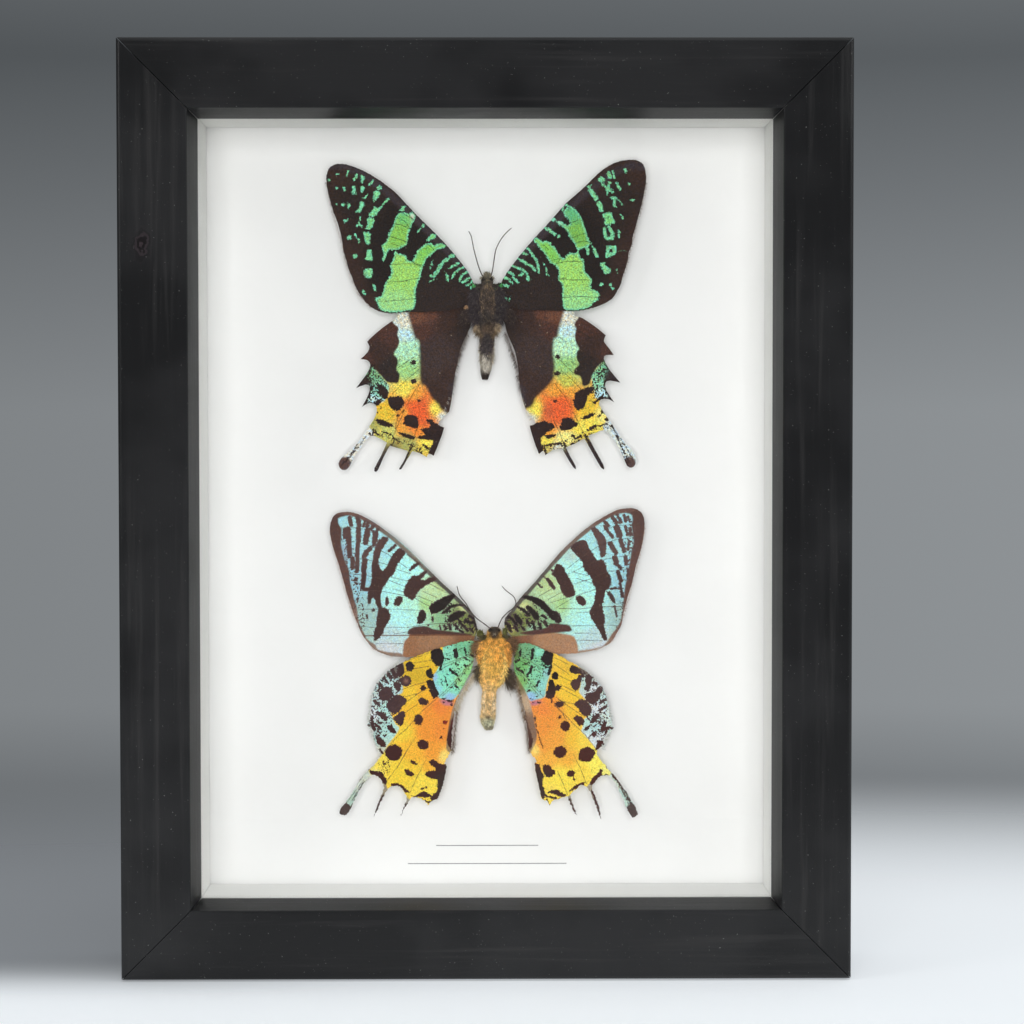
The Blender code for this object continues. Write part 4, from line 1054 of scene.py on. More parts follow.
UPPER_HINDWING_LEFT_VEINS = [
    ((-17.4, -20.2), (-19.2, -23.0), (-21.0, -26.4), (-22.6, -30.0), (-24.6, -34.8)),
    ((-17.4, -16.4), (-20.6, -19.0), (-24.2, -22.6)), ((-18.6, -13.2), (-22.8, -16.0)),
    ((-19.4, -16.6), (-17.6, -15.6)), ((-17.8, -30.8), (-19.4, -35.6)),
    ((-21.4, -26.8), (-22.9, -28.6), (-23.6, -31.6)), ((-19.8, -9.3), (-18.9, -9.0)),
]

HINDWING_DORSAL_GROUND_RIGHT = [
    (None,
     [(20.6, -3.2, 2.4, CREAM), (20.6, -6.8, 2.2, ICE), (20.0, -10.5, 3, linear(190, 236, 196)),
      (20.2, -15.2, 2.6, linear(156, 204, 126)), (20.3, -19.2, 2.0, linear(206, 204, 90)),
      (17.4, -21.8, 2.0, AMBER), (18.4, -26.4, 3.8, FLAME), (15.8, -27.2, 1.8, linear(206, 98, 60)),
      (12.2, -26.6, 1.8, LEMON), (25.2, -26.4, 2.4, GOLD), (26.4, -30.6, 2.2, LEMON),
      (20, -34.4, 2.2, BUTTER), (23.4, -31.4, 1.6, LEMON), (15.6, -32.4, 1.4, AMBER),
      (15.4, -34.6, 1.4, LEMON), (11.0, -28.6, 1.2, CREAM), (21.4, -22.2, 1.4, AMBER),
      (29.5, -28, 1.5, BUTTER), (28, -38, 3, DUSTY), (21, -38.6, 3, DUSTY),
      (18.4, -36.4, 1.2, CREAM)],
     0.3),
    ([((19.6, 3), (19.6, -1.8), (18.8, -4.4), (18.2, -6.6), (18.0, -8.2), (17.0, -8.6), (16.8, -12),
       (17.3, -15.4), (17.0, -18.8), (16.0, -20.2), (14.2, -22.0), (12.4, -23.6), (11.6, -25.8),
       (9, -27), (-2, -20), (-2, 3))],
     [(17.0, -2.6, 1.9, RUST), (13.5, -2.0, 1.6, linear(96, 64, 52)), (16.4, -6.6, 2.2, CHESTNUT),
      (9.5, -3, 3, UMBER), (13, -13, 4.5, linear(66, 53, 50)), (12.6, -21, 3, UMBER),
      (9.4, -18, 2, UMBER), (8.4, -22, 1.6, DUSTY), (5, -4, 4, SOOT)],
     0.55),
    ([((23.8, -2.4), (22.1, -5.0), (22.8, -5.9), (22.3, -7.8), (22.6, -9.6), (23.6, -11.2),
       (22.8, -12.0), (22.8, -13.8), (23.6, -15.2), (22.2, -16.4), (22.0, -17.6), (24.0, -18.2),
       (24.3, -20.8), (26, -20.4), (26.8, -18.2), (27.8, -16), (29.8, -14.4), (36, -14), (36, -2))],
     [(25.5, -5.6, 3, CHESTNUT), (27, -10, 3, UMBER), (24.4, -15, 3, SOOT),
      (30.6, -11.4, 2, CHESTNUT)],
     0.14),
    ([((29.6, -14.4), (27.9, -16.4), (26.6, -18.2), (26.9, -20.4), (27.4, -22.0), (27.6, -24.0),
       (29.2, -23.6), (34, -26), (36, -18), (32, -13))],
     [(28.4, -17.0, 1.5, linear(140, 210, 164)), (28.2, -20.2, 1.6, linear(156, 220, 178)),
      (29.2, -22.4, 1.5, ICE), (31.6, -18.4, 1.6, DUSTY), (31.8, -24.2, 1.2, UMBER)],
     0.2),
    ([((30.6, -29.2), (29.4, -31.2), (31, -35), (33, -42), (40, -43), (40, -37), (35, -31),
       (32, -28.8))],
     [(33, -35, 4, linear(214, 226, 224))], 0.2),
    ([(36.4, -40.5, 1.6, 1.8, 10)], [(36.4, -40.4, 3, linear(92, 70, 66))], 0.3),
]
UPPER_HINDWING_RIGHT_MARKS = [
    ("line", 0.14, (32.2, -31.6), (35.2, -36.0), (37.2, -39.4)),
    ("line", 0.2, (34.2, -37.6), (35.2, -39.4), (36.0, -41)), (18.0, -13.2, 0.6, 0.55, 0),
    (17.9, -17.4, 0.9, 0.5, 0), (17.4, -24.5, 0.5, 0.35, 30),
    ((22.4, -22.4), (23.4, -21.8), (25.0, -21.2), (27.2, -20.6), (27.6, -21.6), (25.8, -23.0),
     (25.3, -24.8), (24.8, -26.2), (23.4, -27.0), (22.4, -26.4), (21.9, -24.6)),
    ((19.0, -29.0), (20.2, -28.6), (21.6, -28.9), (22.6, -29.8), (23.5, -30.4), (22.8, -30.9),
     (21.6, -31.6), (20.0, -32.1), (18.6, -31.9), (18.3, -31.2), (19.0, -30.2)),
    ((23.8, -29.0), (25.0, -29.2), (26.6, -28.7), (27.6, -27.7), (27.0, -27.4), (25.6, -28.0)),
    ((25.2, -32.4), (26.6, -31.9), (28.2, -31.0), (28.0, -30.4), (26.6, -30.8)),
    ("line", 0.26, (28.6, -31.0), (30.4, -30.3)),
    ((14.6, -33.2), (15.8, -33.0), (17.8, -33.0), (17.4, -33.6), (15.8, -34.1), (15.0, -33.9)),
    (21.8, -33.4, 0.6, 0.4, 0), ("line", 0.24, (22.5, -34.1), (24.4, -33.2)),
    ("line", 0.28, (14.2, -36.0), (16.5, -35.5), (18.9, -35.3)),
    ("line", 0.2, (21.4, -35.6), (22.4, -35.2)), (28.6, -28.3, 0.6, 0.3, 30),
    (29.4, -27.2, 0.55, 0.6, 0), (30.6, -29.1, 0.6, 0.6, 0), (31.8, -30.9, 0.4, 0.3, 0),
    ("line", 0.14, (26.2, -24.4), (27.6, -25.2)),
    ((10.6, -30.6), (12.6, -30.1), (14.3, -29.4), (15.4, -29.9), (16.8, -30.2), (17.3, -31.2),
     (16.4, -32.0), (15.2, -32.4), (14.8, -33.3), (13.8, -33.6), (13.7, -35.2), (14.5, -37.0),
     (13.2, -38.4), (11.6, -35)),
    ("line", 0.24, (14.6, -36.4), (14.9, -38.2)),
    ((28.0, -17.8), (29.2, -16.6), (30.4, -16.4), (29.0, -17.6)),
    ("line", 0.34, (29.9, -14.0), (33.4, -19.7), (30.4, -19.0), (29.9, -21), (32.2, -24.8),
     (29.2, -23.5), (27.6, -24.8)),
    ("line", 0.22, (36.2, -40.0), (34.8, -37.2), (33.0, -33.4)),
    ("line", 0.28, (25.0, -33.2), (27.4, -37.4), (29.6, -41.8)),
    ("line", 0.28, (19.6, -35.2), (21.2, -38.6), (22.7, -41.6)), (28.4, -19.2, 0.2, 0.5, -40),
    (27.9, -21.6, 0.2, 0.4, 0),
]
UPPER_HINDWING_RIGHT_VEINS = [
    ((17.3, -20.0), (19.6, -23.2), (21.8, -27.0), (23.6, -30.6), (25.0, -33.4)),
    ((18.8, -16.6), (21.4, -18.8), (24.2, -21.8)), ((18.2, -13.8), (20.4, -15.8), (22.0, -17.4)),
    ((21.4, -14.4), (23.4, -15.6)), ((16.8, -29.2), (18.4, -32.4), (19.6, -35.4)),
    ((18.4, -8.2), (19.6, -9.0)), ((22.4, -6.2), (26.4, -8.4)),
]

LOOKS = {
    "upper_forewing_left": {
        "root": (-1.5, 3.0),
        "ground": FOREWING_DORSAL_GROUND_LEFT,
        "mark_tint": [
            (None,
             [(-21.5, 8, 6, linear(160, 215, 110)), (-22, 17.5, 4, linear(140, 197, 90)),
              (-23, 0.5, 4, linear(162, 220, 140)), (-21.5, 22.4, 2.5, linear(120, 200, 118)),
              (-15.5, 13, 4, LEAF), (-30, 20, 4, linear(134, 214, 130)), (-28.2, 28, 3, MINT),
              (-34, 30, 5, SEA), (-34, 20, 4, SEA), (-30.3, 12.4, 3, MINT), (-31, 4, 3, SEA),
              (-11, 9.5, 4, JADE), (-5, 6.5, 3, JADE), (-18.6, 22.8, 1.2, CREAM)],
             0.3),
        ],
        "rim_tint": (SEA, 0.7),
        "nibbled": 0.13,
        "fringe": [
            ([(-41.0, 31), (-39.2, 23.6), (-36.9, 15.8), (-35.5, 9.4), (-32.9, 3), (-29.6, -0.6)],
             520, (-0.9, -0.4), 0.42, linear(122, 92, 78)),
        ],
        "marks": UPPER_FOREWING_LEFT_MARKS,
        "veins": UPPER_FOREWING_LEFT_VEINS,
    },
    "upper_forewing_right": {
        "root": (1.5, 3.0),
        # The same ground mirrored, with its painted highlight along the costa.
        "ground": mirrored(FOREWING_DORSAL_GROUND_LEFT),
        "mark_tint": [
            (None,
             [(22, 8, 6, linear(162, 218, 112)), (22.5, 18, 4, linear(126, 186, 88)),
              (23, 0.5, 4, linear(156, 218, 142)), (21.8, 23, 2.5, linear(104, 188, 128)),
              (16, 13, 4, LEAF), (31, 21, 4, linear(134, 214, 130)), (27, 28, 3, MINT),
              (32, 30, 4, linear(134, 214, 130)), (35, 28, 4, SEA), (31, 14, 3, MINT),
              (31, 5, 3, SEA), (11, 9.5, 4, JADE), (5, 6, 3, JADE), (17.4, 21.3, 1.5, ICE)],
             0.3),
        ],
        "rim_tint": (SEA, 0.7),
        "nibbled": 0.13,
        "fringe": [
            ([(40.5, 31), (39.2, 24.5), (37.1, 17), (35.3, 9.2), (33, 4)], 460, (0.9, -0.4), 0.42,
             linear(122, 92, 78)),
        ],
        "marks": UPPER_FOREWING_RIGHT_MARKS,
        "veins": UPPER_FOREWING_RIGHT_VEINS,
    },
    "upper_hindwing_left": {
        "root": (-2.0, 0.0),
        "ground": HINDWING_DORSAL_GROUND_LEFT,
        "mark_tint": [(None, [(-20, -26, 30, BLACK_MARK)], 0.3)],
        "mottled": [
            ([(-30.0, -14.6), (-27.6, -17.4), (-25.0, -20.6), (-26.2, -24.4), (-28.6, -25.6),
              (-33, -27), (-35, -18)],
             0.34),
            ([(-28.6, -31.4), (-27.6, -33.6), (-18, -37.4), (-14.6, -38.4), (-14.8, -36.6),
              (-21, -34.4)],
             0.2),
            ([(-30.4, -32.6), (-28.6, -31.2), (-27.8, -33.4), (-30, -35)], 0.3),
        ],
        "marks": UPPER_HINDWING_LEFT_MARKS,
        "veins": UPPER_HINDWING_LEFT_VEINS,
        "fringe": [
            ([(-5.2, -7), (-7.2, -12), (-8.4, -16), (-9.4, -22)], 420, (0.7, -0.75), 1.4,
             linear(86, 72, 66)),
            ([(-9.6, -23), (-10.6, -25.6), (-12.4, -28)], 160, (0.75, -0.65), 1.0,
             linear(214, 206, 190)),
        ],
    },
    "upper_hindwing_right": {
        "root": (2.0, 0.0),
        "ground": HINDWING_DORSAL_GROUND_RIGHT,
        "mark_tint": [(None, [(20, -26, 30, BLACK_MARK)], 0.3)],
        "mottled": [
            ([(29.4, -14.2), (27.2, -17.2), (26.4, -20.4), (27.0, -24.0), (29.6, -24.6), (34, -26),
              (34, -17)],
             0.34),
            ([(27.6, -30.6), (28.4, -32.4), (19, -37.2), (14.6, -38.6), (14.4, -36.6), (21, -34.0)],
             0.2),
            ([(29.8, -30.4), (32.6, -30.4), (31.8, -32.8), (29.6, -31.6)], 0.3),
        ],
        "marks": UPPER_HINDWING_RIGHT_MARKS,
        "veins": UPPER_HINDWING_RIGHT_VEINS,
        "fringe": [
            ([(4.8, -7), (6.6, -12), (7.8, -16), (8.8, -22)], 420, (-0.7, -0.75), 1.4,
             linear(86, 72, 66)),
            ([(9.0, -23), (10.0, -26), (11.4, -29)], 160, (-0.75, -0.65), 1.0,
             linear(214, 206, 190)),
        ],
    },
}


# Lower moth, forewings: pale blue and yellow green with dark brown bands
BAND = linear(72, 52, 48)
VENTRAL_BROWN = linear(112, 84, 76)

FOREWING_VENTRAL_GROUND_LEFT = [
    (None,
     [(-23, 24, 4, linear(180, 244, 236)), (-25.5, 20, 3, linear(178, 240, 232)),
      (-22, 15.5, 3, linear(182, 238, 216)), (-24, 12, 3, linear(180, 240, 234)),
      (-26, 7.2, 2.6, linear(186, 216, 216)), (-27, 4, 2.4, linear(204, 210, 212)),
      (-16.5, 18.5, 3, linear(190, 220, 168)), (-14, 20.4, 2, linear(182, 204, 144)),
      (-17.6, 15.6, 2, linear(168, 210, 140)), (-35, 21, 4, linear(156, 204, 214)),
      (-33, 12, 3, linear(160, 194, 188)), (-33, 32, 6, linear(168, 218, 222)),
      (-37.5, 29, 2, linear(150, 180, 196)), (-20, 27.4, 1.6, linear(186, 216, 204)),
      (-13.6, 12, 2, linear(140, 184, 140)), (-8.4, 11.4, 2.6, linear(118, 130, 70)),
      (-5, 10.4, 2, linear(100, 106, 58)), (-7.6, 14.2, 1.2, linear(206, 214, 150)),
      (-4.2, 9.2, 0.9, BUTTER), (-9.6, 9.2, 1.2, linear(160, 200, 170)),
      (-32, 7.4, 1.5, linear(170, 200, 190))],
     0.3),
    ([((-44, 42), (-33, 42), (-34, 38.1), (-37.5, 38.0), (-39.9, 37.4), (-39.9, 36.0),
       (-39.0, 34.6), (-39, 33), (-39.2, 31.3), (-38.9, 29), (-38.2, 26.5), (-37.3, 24.5),
       (-37.0, 22.5), (-36.8, 20.6), (-36.2, 18.5), (-35.9, 16.5), (-35.2, 14.8), (-35.0, 12.5),
       (-34.5, 10.0), (-33.5, 8.2), (-32.8, 6.5), (-31.4, 5.4), (-30.4, 4.9), (-30.0, 3.6),
       (-27, 2.9), (-23.5, 2.7), (-23.5, 1), (-44, 1))],
     [(-41, 36, 5, linear(88, 64, 58)), (-38.6, 22, 4, linear(98, 70, 62)),
      (-35.5, 10, 3, linear(134, 104, 90)), (-28, 2.6, 3, linear(140, 118, 104))],
     0.16),
    ([("line", 0.55, (-40, 38.9), (-37, 38.6), (-34, 37.6), (-30, 35.2), (-26, 32.2), (-22, 28.6),
       (-18, 24.6), (-14, 20.8), (-10, 17.1), (-6.4, 13.4), (-3.4, 9.9))],
     [(-34, 37, 6, VENTRAL_BROWN), (-24, 30, 6, linear(122, 112, 102)),
      (-10, 17, 6, linear(84, 82, 76))],
     0.12),
    ([((-23.6, 1), (-23.2, 5.6), (-21.8, 7.0), (-21.8, 7.7), (-14, 7.9), (-8, 7.5), (-3.4, 6.8),
       (-3, 3), (-14, 1))],
     [(-22, 4, 2.5, linear(150, 106, 76)), (-15, 5, 4, linear(156, 116, 86)),
      (-7, 6, 3, linear(132, 92, 66))],
     0.2),
    ([((-22.4, 7.4), (-22.0, 8.7), (-20.6, 9.5), (-17.4, 9.7), (-15.6, 8.8), (-12, 8.4), (-9, 8.0),
       (-4.6, 7.4), (-10, 7.3), (-16, 7.4))],
     [(-14, 8, 20, linear(80, 56, 50))], 0.14),
    ([("line", 0.14, (-38, 7.1), (-14, 7.35), (-6, 7.2))], [(-10, 7, 9, linear(110, 70, 50))], 0.1),
]
LOWER_FOREWING_LEFT_MARKS = [
    ((-28.6, 32.7), (-26.8, 32.3), (-27.5, 31.0), (-28.6, 29.4), (-29.2, 28.0), (-29.7, 26.6),
     (-29.7, 25.4), (-29.2, 24.2), (-28.4, 23.9), (-27.4, 25.2), (-26.8, 26.6), (-26.0, 28.0),
     (-25.0, 29.2), (-24.1, 29.8), (-23.3, 29.3), (-22.5, 28.5), (-23.2, 27.4), (-24.2, 26.2),
     (-25.0, 24.8), (-25.4, 23.5), (-26.2, 22.6), (-27.2, 21.4), (-27.9, 20.2), (-28.7, 19.0),
     (-29.0, 17.6), (-29.0, 15.6), (-28.8, 14.5), (-27.7, 14.4), (-26.9, 13.6), (-26.5, 12.2),
     (-26.9, 11.0), (-27.5, 10.0), (-28.2, 9.0), (-28.4, 7.8), (-29.0, 7.0), (-30.0, 6.0),
     (-30.8, 5.6), (-31.0, 7.4), (-30.8, 8.8), (-30.2, 9.6), (-30.2, 11.4), (-29.9, 12.8),
     (-29.6, 14.0), (-30.3, 15.2), (-30.5, 16.3), (-31.1, 17.0), (-31.5, 16.0), (-31.9, 14.8),
     (-32.5, 15.8), (-32.5, 17.4), (-32.2, 18.6), (-31.6, 19.8), (-31.3, 21.4), (-31.2, 23.4),
     (-31.3, 25.2), (-30.9, 26.8), (-30.7, 28.6), (-30.2, 30.0), (-29.7, 31.4)),
    ("line", 0.42, (-26.9, 28.9), (-25.3, 30.3)), ("line", 0.2, (-25.4, 30.6), (-24.9, 31.0)),
    ((-27.6, 17.4), (-27.2, 17.2), (-26.9, 15.4), (-27.6, 14.6), (-28.0, 15.4), (-27.9, 16.8)),
    ("line", 0.42, (-36.9, 37.4), (-36.6, 35.6)), ("line", 0.5, (-34.9, 37.4), (-34.5, 35.4)),
    ("line", 0.22, (-33.0, 36.6), (-33.4, 35.2)), ("line", 0.38, (-32.2, 36.2), (-32.6, 35.0)),
    ("line", 0.36, (-30.9, 35.3), (-31.5, 34.5)), ("line", 0.34, (-29.7, 34.5), (-30.2, 33.6)),
    ("line", 0.55, (-37.4, 34.6), (-37.2, 31.6)), ("line", 0.3, (-38.3, 34.4), (-38.4, 32.4)),
    ("line", 0.52, (-34.7, 34.6), (-34.7, 31.6)), ("line", 0.62, (-32.4, 34.2), (-32.9, 31.2)),
    ("line", 0.24, (-30.9, 33.8), (-30.7, 32.4), (-31.0, 31.4)),
    ("line", 0.34, (-30.0, 33.2), (-30.3, 31.8), (-30.9, 30.4)),
    ("line", 0.45, (-37.2, 31.0), (-37.0, 27.6)), ("line", 0.45, (-34.9, 30.8), (-35.1, 27.6)),
    ((-31.6, 30.2), (-31.1, 29.6), (-32.2, 28.4), (-33.0, 27.2), (-33.9, 27.2), (-33.4, 28.6),
     (-32.6, 29.4)),
    ("line", 0.42, (-36.2, 27.0), (-36.3, 24.6)), ("line", 0.42, (-35.0, 26.8), (-35.1, 23.8)),
    ("line", 0.6, (-33.1, 26.4), (-33.4, 23.8)), ("line", 0.5, (-33.3, 22.8), (-33.7, 19.6)),
    ("line", 0.3, (-31.8, 19.2), (-33.4, 19.0)), (-35.5, 21.6, 0.5, 0.35, 40),
    (-35.3, 20.6, 0.25, 0.3, 0), (-35.0, 16.6, 0.28, 0.8, 0), (-32.6, 12.0, 0.34, 0.9, 6),
    (-33.6, 11.6, 0.3, 0.3, 0), (-31.0, 13.7, 0.5, 0.4, 0), (-33.8, 12.8, 0.2, 0.2, 0),
    (-31.6, 19.9, 0.2, 0.2, 0),
    ((-23.4, 18.0), (-22.9, 19.6), (-22.0, 21.6), (-20.9, 22.6), (-19.4, 22.6), (-18.2, 23.6),
     (-17.3, 24.1), (-16.8, 23.6), (-18.2, 22.3), (-18.9, 21.5), (-17.6, 21.5), (-16.2, 22.3),
     (-15.0, 22.3), (-14.6, 21.5), (-15.8, 20.9), (-17.2, 20.2), (-18.6, 19.2), (-19.8, 17.9),
     (-20.2, 16.9), (-21.0, 16.2), (-22.4, 16.9)),
    ((-22.0, 23.9), (-21.2, 25.1), (-20.2, 25.9), (-19.2, 26.1), (-18.9, 25.5), (-20.2, 24.7),
     (-21.2, 23.7)),
    ((-25.9, 15.0), (-25.5, 16.7), (-24.4, 17.4), (-23.3, 17.1), (-23.5, 15.8), (-24.5, 14.6)),
    ((-16.9, 14.0), (-16.4, 15.2), (-14.6, 16.3), (-12.6, 17.3), (-11.0, 17.8), (-10.2, 18.6),
     (-9.3, 17.7), (-10.6, 16.4), (-11.8, 15.2), (-12.8, 14.0), (-14.4, 12.9), (-16.0, 12.7)),
    ((-19.8, 11.2), (-19.5, 12.8), (-18.8, 13.9), (-18.0, 13.8), (-17.2, 12.2), (-17.9, 10.8),
     (-19.0, 10.0), (-19.7, 10.2)),
    (-15.8, 11.4, 0.35, 0.8, 0), (-16.0, 13.0, 0.3, 0.4, 0), (-16.8, 9.9, 0.3, 0.3, 0),
    (-13.0, 13.2, 0.5, 0.3, 30),
    ((-12.1, 10.8), (-11.6, 12.2), (-10.2, 13.1), (-8.6, 13.5), (-7.0, 13.1), (-8.2, 12.2),
     (-9.6, 11.3), (-10.8, 10.7)),
    ("line", 0.32, (-12.4, 13.4), (-11.2, 14.6), (-9.4, 15.1), (-7.4, 14.9), (-6.4, 13.6)),
    ("line", 0.3, (-6.4, 12.3), (-5.2, 11.5)),
    ("line", 0.34, (-7.4, 11.0), (-6.0, 10.4), (-4.7, 11.0)),
    ("line", 0.26, (-5.1, 10.4), (-4.5, 9.4), (-4.4, 8.0)),
    ("line", 0.24, (-8.9, 10.6), (-8.0, 9.8)), ("line", 0.24, (-10.0, 9.9), (-9.4, 9.0)),
    ("line", 0.22, (-11.6, 10.0), (-11.2, 8.8)), ("line", 0.2, (-12.8, 9.8), (-12.4, 8.8)),
    ("line", 0.2, (-14.0, 9.8), (-13.8, 8.8)), ("line", 0.26, (-7.6, 9.4), (-6.8, 8.4)),
    ("line", 0.26, (-3.9, 9.6), (-3.5, 8.5)), ("line", 0.24, (-8.8, 8.5), (-8.0, 8.0)),
    ("line", 0.2, (-6.2, 8.9), (-5.4, 8.0)),
]
LOWER_FOREWING_LEFT_VEINS = [
    ((-22.2, 9.3), (-18.6, 9.9), (-14, 10.3), (-10.6, 10.2), (-5, 8.4)),
    ((-34, 18.9), (-29, 18.6), (-24, 17.7), (-22, 17.2)),
    ((-35.6, 13.9), (-30, 14.0), (-24, 13.9), (-19, 13.6)),
    ((-34.8, 9.7), (-30, 9.2), (-24, 9.3), (-22, 9.2)),
    ((-38, 23.2), (-33, 22.7), (-27.6, 21.6), (-23.4, 20.0), (-20, 19.0)),
    ((-39, 27.2), (-33, 26.8), (-28, 25.6), (-24.4, 24.0), (-21.2, 23.0)),
    ((-40.8, 31.6), (-35, 31.2), (-31.4, 30.1), (-27.4, 28.2), (-24.4, 26.0), (-22, 24.4)),
    ((-41.6, 34.9), (-36, 34.9), (-33, 34.4), (-30.6, 33.4)),
    ((-30.4, 5.2), (-26, 5.2), (-23.4, 5.1)), ((-21.6, 17.6), (-18, 15.4), (-16.6, 14.8)),
    ((-19.6, 17.4), (-15.2, 15.6)), ((-16.4, 20.4), (-13.0, 18.6)), ((-15.6, 21.2), (-12.4, 19.0)),
    ((-18.4, 18.6), (-14.6, 16.9)), ((-26, 19.2), (-22.6, 18.2)), ((-21, 20.9), (-26.4, 22.2)),
    ((-22.2, 27.9), (-18.2, 24.9)), ((-22.4, 28.2), (-18.6, 25.3)), ((-25.6, 7.6), (-21.6, 8.2)),
]

FOREWING_VENTRAL_GROUND_RIGHT = mirrored(FOREWING_VENTRAL_GROUND_LEFT)[:1]
FOREWING_VENTRAL_GROUND_RIGHT += [
    ([((29, 42), (30, 38.0), (33, 38.8), (35.2, 38.2), (35.5, 36.8), (35.1, 35.6), (35.4, 34),
       (35.6, 32.2), (35.8, 31), (35.3, 29.6), (35.0, 27.4), (34.6, 25.4), (34.2, 23.6), (34.2, 22),
       (33.6, 20.4), (33.4, 18.8), (33.2, 17), (33.0, 15.2), (32.8, 13), (32.4, 11), (31.9, 10),
       (31.2, 8.8), (30.0, 7.4), (29.0, 5.6), (27.6, 4.2), (24, 3.5), (21.4, 3.3), (21, 1), (42, 1),
       (44, 42))],
     [(37, 37, 5, linear(92, 68, 62)), (35, 22, 4, linear(100, 72, 64)),
      (32.4, 10, 3, linear(128, 98, 86)), (25, 3, 3, linear(160, 136, 118))],
     0.16),
    ([("line", 0.8, (35.4, 39.7), (31, 39.0), (28, 37.4), (25.2, 35.6), (21, 32.2), (17, 28.3),
       (13, 23.7), (9, 19.1), (5.6, 15.1), (2.7, 11.5))],
     [(31, 38, 6, VENTRAL_BROWN), (22, 31, 6, linear(122, 104, 94)), (9, 18, 6, linear(92, 86, 80))],
     0.12),
    ([((21.8, 1), (21.3, 5.2), (20.3, 7.2), (15, 8.0), (10, 7.4), (5, 7.0), (3, 6.6), (3, 3),
       (12, 1))],
     [(19, 4.4, 2.5, linear(172, 130, 100)), (14, 5, 4, linear(170, 128, 96)),
      (7, 6, 3, linear(134, 92, 70))],
     0.2),
    ([((20.2, 8.2), (19.3, 9.9), (14.4, 10.4), (13.4, 9.1), (10, 8.6), (6, 7.8), (9, 7.2),
       (15, 7.8))],
     [(14, 8, 20, linear(86, 58, 54))], 0.14),
]
